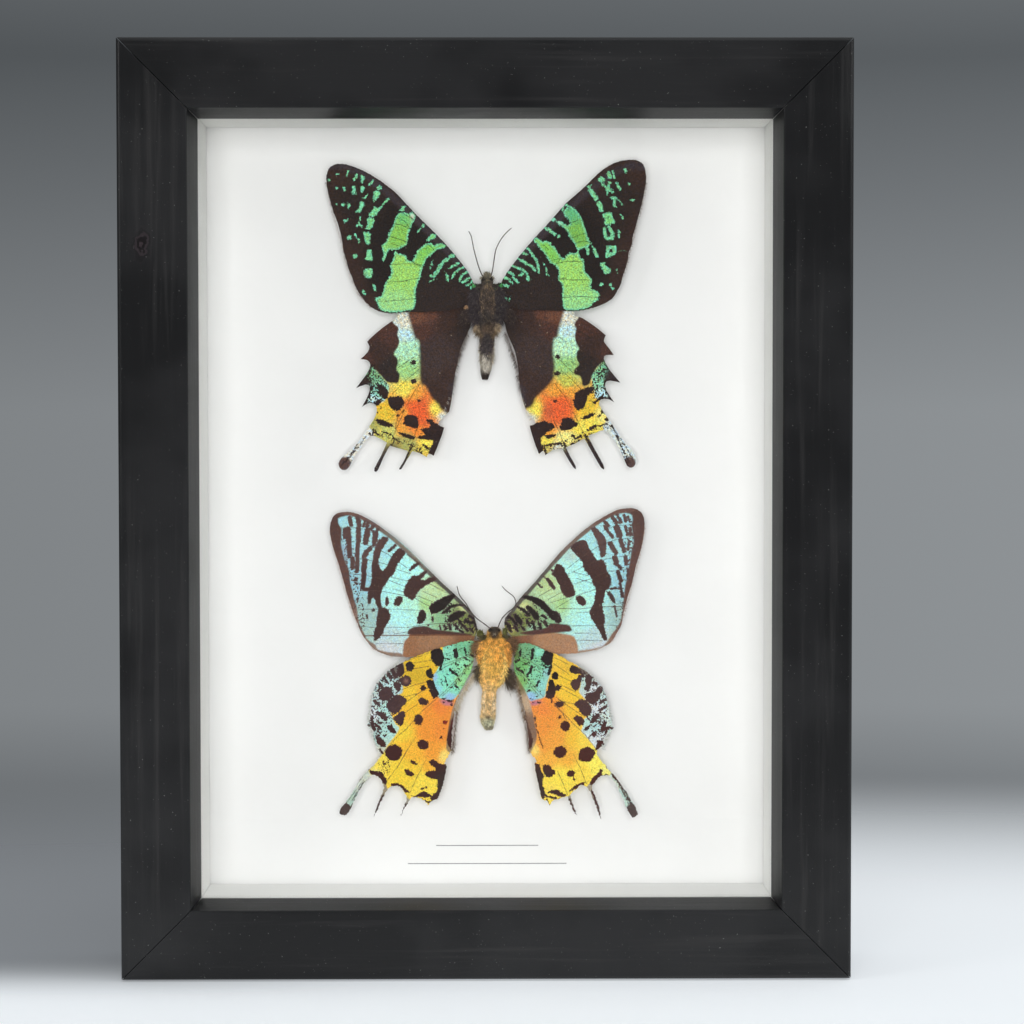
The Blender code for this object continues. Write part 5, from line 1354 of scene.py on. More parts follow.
LOWER_FOREWING_RIGHT_MARKS = [
    ((19.3, 29.7), (20.6, 31.0), (22.0, 31.6), (23.2, 31.7), (24.0, 30.8), (24.3, 29.6),
     (25.2, 28.4), (25.8, 27.3), (26.4, 26.5), (27.9, 26.7), (28.6, 25.4), (28.8, 23.6),
     (29.7, 22.4), (29.9, 20.8), (29.5, 19.4), (28.4, 18.4), (28.2, 16.8), (27.8, 14.8),
     (28.0, 13.0), (28.5, 11.4), (28.2, 9.8), (28.6, 7.8), (29.1, 6.2), (28.2, 5.6), (27.2, 7.6),
     (26.2, 9.4), (25.0, 11.2), (24.4, 12.8), (24.7, 14.2), (25.6, 15.6), (25.7, 17.2),
     (26.1, 19.0), (25.2, 20.4), (24.8, 22.0), (23.6, 23.2), (22.7, 24.6), (22.8, 25.6),
     (21.6, 27.2), (20.2, 28.6)),
    ((24.6, 34.7), (25.7, 35.2), (26.8, 34.2), (27.6, 33.2), (28.4, 32.0), (28.7, 31.0),
     (28.6, 29.4), (28.4, 27.8), (27.8, 26.9), (27.2, 27.4), (27.0, 28.8), (26.7, 30.2),
     (26.1, 31.8), (25.3, 33.4)),
    ((28.6, 18.6), (29.6, 18.4), (30.6, 17.0), (31.2, 15.6), (30.8, 15.0), (30.1, 16.0),
     (29.2, 17.4)),
    ((15.9, 25.6), (16.8, 25.5), (18.0, 24.6), (18.4, 23.5), (19.0, 22.4), (19.7, 21.2),
     (20.4, 19.6), (21.0, 17.8), (20.4, 17.2), (19.2, 16.8), (18.0, 17.2), (17.2, 18.4),
     (16.8, 19.6), (16.2, 21.0), (15.5, 22.2), (14.6, 22.9), (15.3, 23.8), (15.4, 24.8)),
    ((20.9, 17.0), (21.6, 17.5), (22.8, 17.2), (23.4, 16.2), (23.6, 15.2), (22.8, 14.7),
     (21.8, 15.1), (21.0, 16.0)),
    ((12.8, 22.1), (14.0, 22.0), (15.0, 20.8), (15.9, 19.2), (15.2, 18.8), (14.3, 19.8),
     (13.6, 21.0)),
    ("line", 0.3, (11.0, 20.5), (12.2, 19.6)), ("line", 0.2, (12.4, 22.4), (13.2, 22.0)),
    (14.9, 23.8, 0.6, 0.3, -40),
    ((7.6, 17.7), (9.4, 17.4), (11.0, 17.0), (12.4, 16.1), (13.8, 14.9), (14.8, 13.7), (16.2, 13.4),
     (17.2, 11.9), (17.2, 10.6), (16.4, 10.1), (15.3, 10.8), (14.1, 11.6), (13.5, 12.8),
     (12.6, 13.8), (11.4, 14.8), (9.8, 15.8), (8.4, 16.3), (6.8, 16.8)),
    ((8.0, 14.8), (9.2, 14.5), (10.6, 13.4), (11.6, 12.2), (11.3, 11.0), (10.3, 11.4), (9.5, 12.6),
     (8.6, 13.7)),
    ((5.2, 12.9), (6.4, 12.0), (7.3, 10.9), (7.0, 9.8), (6.0, 10.5), (5.1, 11.7)),
    ("line", 0.34, (5.9, 14.6), (7.4, 13.8), (8.9, 12.4)),
    ("line", 0.34, (3.4, 12.2), (4.6, 11.4), (5.6, 10.2)),
    ("line", 0.36, (2.8, 10.4), (3.8, 9.6), (4.2, 8.4)), ("line", 0.26, (8.4, 11.0), (9.0, 9.8)),
    ("line", 0.3, (9.8, 10.6), (10.4, 8.8)), ("line", 0.3, (11.6, 10.2), (11.9, 8.8)),
    ("line", 0.3, (13.0, 10.6), (13.6, 9.6)), ("line", 0.24, (7.0, 9.4), (7.8, 8.6)),
    ("line", 0.24, (5.2, 9.6), (6.0, 8.4)), ("line", 0.24, (12.4, 12.2), (13.4, 11.6)),
    ("line", 0.36, (28.3, 36.4), (29.2, 35.3)), ("line", 0.42, (30.2, 37.6), (31.4, 35.9)),
    ("line", 0.3, (31.5, 38.0), (32.5, 36.2)), ("line", 0.26, (33.2, 37.9), (33.7, 36.4)),
    ("line", 0.2, (34.2, 37.6), (34.8, 36.4)),
    ("line", 0.3, (28.3, 35.2), (29.2, 33.8), (30.3, 32.5)),
    ("line", 0.7, (31.4, 34.8), (32.1, 32.9)), ("line", 0.28, (33.6, 35.0), (34.2, 33.0)),
    ("line", 0.3, (34.8, 34.6), (35.0, 33.0)), ("line", 0.5, (29.7, 30.7), (31.2, 28.4)),
    ("line", 0.46, (32.4, 31.6), (33.3, 28.8)), ("line", 0.22, (34.6, 31.4), (34.3, 29.2)),
    ("line", 0.6, (30.9, 27.0), (31.3, 25.8)), ("line", 0.36, (31.5, 25.4), (32.4, 24.4)),
    ("line", 0.4, (33.6, 27.2), (33.9, 25.6)), ("line", 0.4, (31.7, 23.4), (32.5, 21.2)),
    ("line", 0.2, (34.4, 24.2), (34.2, 22.4)), ("line", 0.22, (32.2, 20.4), (33.0, 17.0)),
    ("line", 0.3, (30.9, 14.2), (31.4, 12.0)), (30.2, 19.2, 0.5, 0.2, 0), (31.2, 19.3, 0.5, 0.2, 0),
    (30.6, 14.6, 0.6, 0.25, 0), (32.0, 13.6, 0.2, 0.3, 0),
]
LOWER_FOREWING_RIGHT_VEINS = [
    ((19.4, 9.7), (14, 10.3), (9, 10.6), (3, 8.4)),
    ((29.6, 19.2), (25.6, 18.9), (22.6, 17.9), (20.8, 17.2)),
    ((33.4, 14.6), (27, 14.5), (22, 14.0), (16.6, 14.1)), ((32.4, 9.7), (26, 9.8), (20, 9.6)),
    ((35.2, 24.2), (29.2, 23.6), (25.0, 21.8), (20.6, 20.4)),
    ((36, 28.0), (28.8, 26.8), (24.0, 25.4), (19.6, 23.2), (18.2, 22.6)),
    ((37.4, 32.4), (31.2, 31.8), (26.4, 29.9), (21.6, 26.6), (18.6, 24.2)),
    ((37.2, 35.6), (31.2, 35.4), (27.8, 34.0)), ((27.8, 5.8), (21.2, 6.0)),
    ((20.4, 17.0), (15.8, 14.2)), ((19, 17.0), (14.4, 15.6)), ((17.6, 18.4), (13.8, 16.4)),
    ((15.2, 19.4), (11.4, 17.2)), ((21.0, 21.9), (25.6, 20.4)), ((20.4, 23.4), (24.2, 22.4)),
    ((17.9, 29.0), (15.2, 26.0)), ((18.4, 28.6), (15.8, 25.8)), ((26, 13.2), (21, 13.0)),
    ((20.6, 7.8), (26.4, 7.6)),
]

# Lower moth, hindwings: green base, orange and yellow fan, pale blue edge
VIOLET_BLUE = linear(150, 190, 222)

HINDWING_VENTRAL_GROUND_LEFT = [
    (None,
     [(-18, 3.4, 2, GOLD), (-20, 1.4, 3, linear(226, 186, 52)),
      (-19.6, -2.6, 2, linear(206, 170, 50)), (-21.4, -8, 2, GOLD),
      (-18, -8, 2, linear(236, 176, 52)), (-20, -12, 2, linear(236, 184, 52)),
      (-23.6, -18, 2.5, linear(240, 204, 66)), (-22.4, -21, 2, linear(240, 184, 60)),
      (-17, -12.6, 2.6, linear(236, 148, 58)), (-14.4, -11, 2, linear(234, 134, 62)),
      (-14, -17, 2.6, linear(234, 142, 60)), (-17, -17.4, 2.6, linear(237, 150, 58)),
      (-15.6, -22.4, 2.4, linear(238, 158, 60)), (-13.0, -23.6, 1.4, linear(246, 214, 112)),
      (-20.6, -23, 2, linear(240, 178, 60)), (-29, -25.4, 2.4, linear(242, 216, 84)),
      (-24.6, -28, 3, linear(240, 206, 66)), (-18, -30.8, 3, linear(243, 214, 78)),
      (-21, -27, 2, GOLD), (-17, -26.4, 1.4, linear(240, 176, 60)),
      (-30.6, -28.4, 1.5, linear(240, 228, 140))],
     0.3),
    ([((-4, 6), (-13, 6), (-13.4, 1), (-14.6, -1.6), (-15.8, -3.2), (-15.4, -5.6), (-14.4, -8.6),
       (-13.2, -9.2), (-10.6, -9.6), (-7, -5), (-3, 0))],
     [(-11.8, 3, 1.5, linear(140, 214, 184)), (-8, 3.6, 2, linear(120, 190, 146)),
      (-5, 2.8, 1.4, linear(126, 128, 84)), (-8.4, 0.4, 2, linear(146, 218, 172)),
      (-12.8, -3.4, 2, linear(138, 222, 196)), (-15.2, -3.4, 0.9, VIOLET_BLUE),
      (-11.4, -5.6, 2, linear(140, 222, 190)), (-14.4, -6.4, 1, linear(146, 210, 216)),
      (-11.4, -8.4, 1, VIOLET_BLUE), (-9.2, -4.6, 1.2, linear(152, 210, 140)),
      (-6.6, -1.6, 1.4, linear(146, 206, 130))],
     0.16),
    ([(-12.2, -9.9, 1.6, 0.75, -14)], [(-12, -10, 9, linear(190, 120, 132))], 0.4),
    ([((-23.8, 1.5), (-23.0, -0.4), (-23.2, -2.6), (-24.2, -3.6), (-23.4, -5.6), (-23.4, -7.4),
       (-25.2, -8.2), (-27.4, -9.8), (-26.2, -13.6), (-25.4, -15.4), (-24.2, -16.4), (-25.2, -18.2),
       (-27.2, -20.6), (-28.2, -22.6), (-31.6, -27.0), (-33.4, -27.2), (-35, -20), (-34, -8),
       (-30, -1))],
     [(-25, -1, 2, linear(110, 104, 98)), (-27.6, -4.6, 2, linear(182, 212, 210)),
      (-30, -9, 2, linear(186, 206, 204)), (-28, -11.6, 2, linear(178, 218, 208)),
      (-31, -13, 1.6, FROST), (-28, -17, 2, linear(176, 216, 206)),
      (-30.6, -17, 2, linear(166, 190, 184)), (-30, -24, 2, linear(196, 196, 176))],
     0.14),
    ([((-28.2, -29.8), (-30.0, -29.2), (-31.9, -28.5), (-32.8, -26.4), (-36, -27), (-44, -38),
       (-36, -42), (-20, -44), (-20.6, -36), (-22.2, -34.4), (-24.4, -33.6), (-27.4, -32.4))],
     [(-34, -31, 2, linear(206, 214, 200)), (-37, -34.4, 2, linear(176, 200, 184)),
      (-28.4, -33, 1.4, linear(150, 138, 116)), (-22.4, -35.4, 1.4, linear(150, 146, 134)),
      (-30.4, -38, 1.6, linear(98, 80, 74)), (-24, -38.4, 1.2, linear(120, 112, 104))],
     0.16),
    ([((-10.4, -10.4), (-11.0, -12.6), (-11.7, -15.8), (-12.2, -19.4), (-12.4, -22.2),
       (-10.4, -23.4), (-8, -18), (-8.6, -10.4), (-5, -5), (-4.6, 0), (-6.4, -2.8), (-8.4, -6.2))],
     [(-10.6, -12, 2, linear(150, 128, 104)), (-11.2, -17, 3, linear(108, 84, 66)),
      (-6.4, -3, 2, linear(124, 140, 90)), (-11.2, -22, 2, linear(150, 128, 96))],
     0.14),
]
LOWER_HINDWING_LEFT_MARKS = [
    ((-16.2, 3.6), (-15.6, 4.4), (-14.2, 4.4), (-13.3, 3.4), (-12.9, 2.0), (-12.9, 0.6),
     (-13.4, -0.4), (-14.2, -0.8), (-15.2, -0.3), (-15.9, 0.6), (-16.3, 2.0)),
    ("line", 0.3, (-13.9, -0.4), (-13.7, -1.6)),
    ((-17.6, -2.2), (-17.2, -1.4), (-16.2, -1.1), (-15.8, -2.2), (-15.4, -3.4), (-16.4, -3.8),
     (-17.4, -3.2)),
    ((-17.5, -4.2), (-16.4, -4.0), (-15.5, -4.2), (-15.2, -5.6), (-14.6, -6.8), (-14.0, -7.8),
     (-14.8, -8.7), (-15.7, -8.9), (-16.4, -7.4), (-17.3, -5.2)),
    (-18.2, -6.2, 0.8, 0.75, 0),
    ((-19.7, -9.3), (-18.9, -8.6), (-17.8, -8.8), (-16.7, -9.9), (-17.6, -10.6), (-18.9, -10.6)),
    (-19.4, -14.4, 1.15, 1.4, 0), (-18.3, -20.8, 1.55, 1.25, -20), (-25.8, -22.8, 2.2, 2.1, 0),
    (-21.6, -0.7, 1.1, 1.3, 0), (-12.5, -15.0, 0.6, 0.5, 0), (-13.6, -18.9, 0.42, 0.4, 0),
    (-11.8, -12.5, 0.18, 0.2, 0), (-13.0, -16.7, 0.18, 0.2, 0), (-12.9, -9.0, 0.5, 0.3, 20),
    ("line", 0.26, (-12.1, -9.5), (-10.6, -9.5)), (-13.1, -9.8, 0.3, 0.25, 0),
    (-11.0, -10.4, 0.3, 0.4, 0),
    ((-21.6, -24.9), (-20.7, -24.7), (-19.2, -26.3), (-20.3, -26.0), (-21.3, -25.6)),
    ((-23.3, -27.1), (-21.8, -27.1), (-20.3, -28.4), (-21.0, -28.9), (-22.4, -28.6)),
    ((-16.9, -25.0), (-15.6, -24.5), (-14.4, -25.4), (-13.4, -26.0), (-12.7, -25.7), (-11.9, -26.2),
     (-12.1, -28.5), (-12.6, -31.0), (-13.2, -33.4), (-14.0, -34.8), (-15.8, -35.2), (-16.6, -34.8),
     (-15.9, -33.6), (-14.9, -33.0), (-14.6, -31.4), (-14.7, -29.7), (-16.6, -29.4), (-18.0, -28.4),
     (-17.2, -27.5), (-14.8, -27.3), (-15.0, -26.7), (-16.4, -26.0)),
    ((-21.6, -33.7), (-20.2, -33.9), (-19.0, -33.0), (-17.9, -32.7), (-16.6, -33.5), (-15.4, -34.3),
     (-17.0, -34.4), (-19.0, -34.2), (-20.8, -34.6)),
    ("line", 0.24, (-18.8, -32.2), (-17.4, -31.8)),
    ((-26.6, -30.7), (-25.2, -30.6), (-23.6, -31.0), (-22.6, -32.2), (-21.7, -33.2), (-22.8, -33.1),
     (-24.0, -32.1), (-25.2, -31.6), (-26.4, -31.5)),
    ((-32.1, -27.1), (-30.4, -27.6), (-28.8, -27.6), (-28.1, -28.9), (-27.5, -30.4), (-28.0, -31.4),
     (-28.7, -30.3), (-29.6, -29.3), (-30.9, -28.9), (-31.9, -28.2)),
    ((-24.8, 0.2), (-23.8, 0.4), (-23.1, -1.0), (-22.9, -2.4), (-24.2, -3.3), (-25.2, -2.8),
     (-24.5, -1.4)),
    ("line", 0.36, (-26.2, -1.4), (-25.4, -3.2)), ("line", 0.34, (-27.4, -2.2), (-26.4, -3.6)),
    ("line", 0.3, (-28.3, -3.4), (-27.5, -4.7)), ("line", 0.34, (-29.8, -4.7), (-28.8, -5.9)),
    ((-25.9, -5.2), (-24.8, -4.6), (-23.7, -5.4), (-24.4, -7.0), (-25.4, -6.4)),
    (-22.6, -4.4, 1.4, 1.4, 0), ("line", 0.26, (-24.6, -4.4), (-23.4, -3.6)),
    ((-29.6, -7.4), (-28.6, -6.1), (-27.2, -5.8), (-26.0, -7.0), (-25.8, -8.2), (-26.9, -9.3),
     (-28.2, -9.4), (-29.4, -8.6)),
    ((-27.5, -10.2), (-26.4, -8.9), (-25.0, -8.0), (-23.6, -8.1), (-22.3, -9.2), (-22.6, -10.1),
     (-23.6, -11.1), (-24.4, -12.4), (-25.8, -12.8), (-26.6, -12.2), (-27.3, -11.4)),
    ((-25.8, -13.9), (-24.8, -13.0), (-24.1, -12.2), (-23.0, -12.1), (-22.7, -13.2), (-23.2, -14.4),
     (-23.3, -15.5), (-24.2, -15.9), (-25.2, -15.2)),
    ((-30.2, -12.6), (-28.8, -12.3), (-27.4, -13.4), (-27.4, -14.6), (-28.5, -14.2), (-29.4, -13.3)),
    ((-27.7, -15.8), (-26.4, -15.7), (-25.1, -17.2), (-25.2, -18.0), (-26.8, -17.4)),
    ((-30.5, -18.8), (-29.2, -19.0), (-28.0, -20.2), (-27.6, -21.4), (-28.9, -21.3), (-30.0, -20.1)),
    ("line", 0.3, (-31.5, -14.0), (-31.3, -15.6), (-30.7, -16.9)),
    ("line", 0.22, (-30.6, -9.4), (-29.6, -10.5)), ("line", 0.26, (-29.4, -21.9), (-28.7, -23.0)),
    ("line", 0.18, (-32.6, -15.9), (-31.2, -15.6)), (-31.4, -12.2, 0.3, 0.2, -40),
    ("line", 0.13, (-30.0, -14.4), (-29.4, -15.2), (-28.8, -15.0)),
    ("line", 0.13, (-30.4, -15.6), (-29.4, -16.6)), ("line", 0.14, (-30.4, -17.0), (-29.2, -17.8)),
    (-31.4, -25.8, 0.45, 0.35, 0), (-32.4, -26.9, 0.45, 0.4, 0), (-29.6, -23.6, 0.25, 0.3, 0),
    (-33.3, -27.9, 0.45, 0.35, 0), (-30.4, -24.8, 0.25, 0.25, 0), (-34.2, -29.0, 0.4, 0.3, 0),
    ("line", 0.12, (-29.0, -6.4), (-30.0, -6.9)),
    ((-10.6, 4.0), (-9.8, 4.0), (-9.1, 2.6), (-9.4, 1.4), (-10.2, 1.5), (-10.5, 2.6)),
    ("line", 0.2, (-7.6, 4.0), (-7.2, 2.2)), ("line", 0.36, (-11.4, -1.5), (-9.4, -3.0)),
    ("line", 0.2, (-12.6, -3.4), (-12.0, -5.8)), ("line", 0.2, (-9.9, 0), (-9.4, -0.5)),
    ("line", 0.22, (-10.2, -5.3), (-9.3, -6.1)), ("line", 0.2, (-7.6, 1.4), (-6.4, 0.8)),
    ("line", 0.14, (-13.6, -4.0), (-13.2, -5.4)), ("line", 0.24, (-7.8, -0.3), (-6.8, -0.6)),
    ("line", 0.2, (-6.0, 2.4), (-5.2, 1.6)), ("line", 0.14, (-12.6, 1.4), (-11.4, 1.2)),
    ((-9.9, -12.6), (-9.5, -13.6), (-10.0, -16.4), (-10.3, -19), (-10.5, -22.6), (-11.2, -21.8),
     (-12.3, -20.2), (-11.7, -17.4), (-11.1, -15.2), (-10.6, -13.6)),
    ("line", 0.3, (-34.2, -29.2), (-37.6, -33.4), (-39.8, -37.0)),
    ("line", 0.3, (-32.4, -29.8), (-34.6, -33.4), (-37.0, -37.4)),
    ("line", 0.12, (-33.4, -30.2), (-36.4, -35.0)),
    ((-37.6, -35.8), (-39.6, -34.6), (-42, -38), (-38.6, -40.4), (-36.2, -37.6)),
    ("line", 0.34, (-28.6, -34.0), (-30.0, -37.0), (-31.4, -40.4)),
    ("line", 0.3, (-22.2, -35.8), (-24.6, -39.6)),
    ("line", 0.16, (-18.8, -34.6), (-17.0, -35.6), (-16.0, -35.4)),
]
LOWER_HINDWING_LEFT_VEINS = [
    ((-4.2, 3.4), (-8, 1.8), (-12, 0.1), (-14.4, -0.6)),
    ((-4.6, 2.8), (-8.4, 1.2), (-12.4, -0.7), (-15.0, -2.4)),
    ((-4.4, 1.8), (-7.0, -0.8), (-10.0, -4.4), (-12.6, -7.0), (-14.6, -8.8)),
    ((-5.0, 1.0), (-7.6, -2.2), (-10.8, -6.0), (-13.4, -8.4)),
    ((-14.6, -8.8), (-18.4, -12.0), (-22.6, -16.8), (-24.6, -18.4), (-28.4, -22.6)),
    ((-16.4, -5.8), (-19.6, -7.6), (-22.8, -8.4)),
    ((-20.2, -18.8), (-22.6, -22.6), (-24.8, -26.4), (-28.0, -30.6)),
    ((-17.6, -24.8), (-20.0, -29.4), (-21.6, -33.0)),
    ((-17.6, -6.4), (-22.6, -9.8), (-25.4, -11.6)), ((-16.8, 2.8), (-20, 1.6), (-24, 0.4)),
    ((-16.6, -0.6), (-20.4, -1.2), (-23, -2.2)), ((-16.0, 1.0), (-20.6, 0.2)),
    ((-17.2, -4.6), (-20.4, -5.4), (-23.6, -6.6)), ((-19.8, -10.4), (-23.2, -12.8)),
    ((-27.4, -24.8), (-29, -27.4)), ((-33.4, -29.6), (-38.4, -36.4)),
]

HINDWING_VENTRAL_GROUND_RIGHT = [
    (None,
     [(17, 1.4, 2, linear(238, 196, 72)), (18, -0.8, 2, linear(230, 186, 66)), (18.4, -4, 2, GOLD),
      (18.4, -7.4, 2, linear(240, 196, 66)), (20.6, -7.6, 1.5, GOLD),
      (20.4, -12, 1.5, linear(240, 190, 64)), (15, -10.6, 1.6, linear(238, 148, 62)),
      (12.6, -11.6, 2, linear(236, 140, 68)), (13, -16, 3, linear(236, 150, 66)),
      (15.6, -18.6, 2.4, linear(238, 162, 68)), (12.4, -21, 2, linear(238, 158, 68)),
      (10.7, -22, 1.2, linear(248, 214, 112)), (20.4, -19, 2, linear(240, 190, 66)),
      (22.6, -19.2, 2, linear(246, 212, 82)), (18.8, -24.4, 2, linear(242, 178, 70)),
      (14, -24.6, 2, linear(242, 176, 72)), (26, -25.4, 2.4, linear(252, 236, 100)),
      (22.6, -27.6, 2, linear(248, 216, 82)), (17, -30, 3, linear(248, 222, 84)),
      (28.8, -27.6, 1.5, linear(244, 236, 130)), (15, -32, 1.5, linear(246, 216, 90))],
     0.3),
    ([((3, 6), (14.6, 6), (14.8, 0), (14.4, -2.6), (13.8, -4.2), (13.3, -6.0), (13.1, -8.4),
       (12.0, -9.0), (10.4, -9.3), (9.2, -9.8), (7.4, -6.4), (4.4, -1.0), (3, 0))],
     [(11.4, 3, 1.2, linear(140, 214, 184)), (8.4, 3, 2, linear(116, 170, 124)),
      (5.2, 2.4, 1.6, linear(100, 122, 70)), (7, 0, 1.8, linear(116, 178, 106)),
      (11.4, 0.2, 1.6, linear(128, 196, 150)), (13.2, -2.4, 1, linear(146, 200, 196)),
      (10.8, -2.4, 1.8, linear(136, 208, 166)), (12.2, -5.4, 1.6, linear(146, 208, 196)),
      (9.8, -5.6, 1.4, linear(138, 204, 150)), (9.4, -8.4, 1, VIOLET_BLUE),
      (12, -8.2, 1, linear(150, 206, 204)), (7, -4.4, 1.4, linear(128, 180, 104))],
     0.16),
    ([(10.4, -10.1, 1.5, 0.6, 10)], [(10, -10, 9, linear(190, 120, 132))], 0.4),
    ([((20.4, 1.5), (21.6, 0.0), (22.2, -2.6), (22.2, -5.4), (21.6, -7.2), (22.6, -8.4),
       (24.2, -10.2), (25.0, -11.6), (24.2, -13.6), (23.0, -14.2), (22.6, -16.4), (22.2, -17.4),
       (23.6, -18.8), (26.0, -21.8), (27.6, -24.2), (29.6, -27.6), (31.6, -27.0), (33, -20),
       (32, -8), (27, 1))],
     [(23, -1.4, 1.6, linear(112, 96, 88)), (23, -4.6, 1.2, linear(186, 214, 206)),
      (25.6, -6.2, 1.2, FROST), (28, -9, 2, linear(196, 218, 212)), (26.4, -11.2, 1.6, FROST),
      (24.4, -14.6, 1.4, linear(184, 218, 210)), (26.2, -16.4, 1.6, linear(182, 216, 214)),
      (29.2, -14, 1.6, linear(206, 222, 214)), (26.4, -19.4, 1.6, FROST),
      (28, -22, 1.6, linear(214, 220, 208))],
     0.14),
    ([((24.6, -30.6), (27.4, -28.9), (29.8, -28.8), (30.2, -27.0), (33.2, -27), (40, -38),
       (34, -42), (17, -44), (18.2, -35.4), (18.9, -34.0), (20.8, -33.2), (23.6, -31.8))],
     [(31.6, -30, 2, linear(210, 222, 206)), (34, -34, 2, linear(186, 212, 200)),
      (25, -32.6, 1.4, linear(166, 156, 138)), (19.2, -34.8, 1.4, linear(150, 146, 134)),
      (26.4, -37, 1.6, linear(104, 86, 80)), (20.4, -38, 1.2, linear(120, 112, 104))],
     0.16),
    ([((9.3, -10.6), (9.9, -12.8), (10.4, -15.6), (11.0, -18.0), (10.6, -20.4), (9.0, -23.4),
       (6, -18), (4.6, -8), (3, -2), (4.6, -0.8), (6.6, -4.6), (8.2, -7.4))],
     [(8.4, -10, 1.6, linear(186, 160, 132)), (8.6, -17, 3, linear(132, 104, 86)),
      (6, -5, 2, linear(124, 110, 78)), (8.8, -22, 2, linear(160, 138, 106))],
     0.14),
]
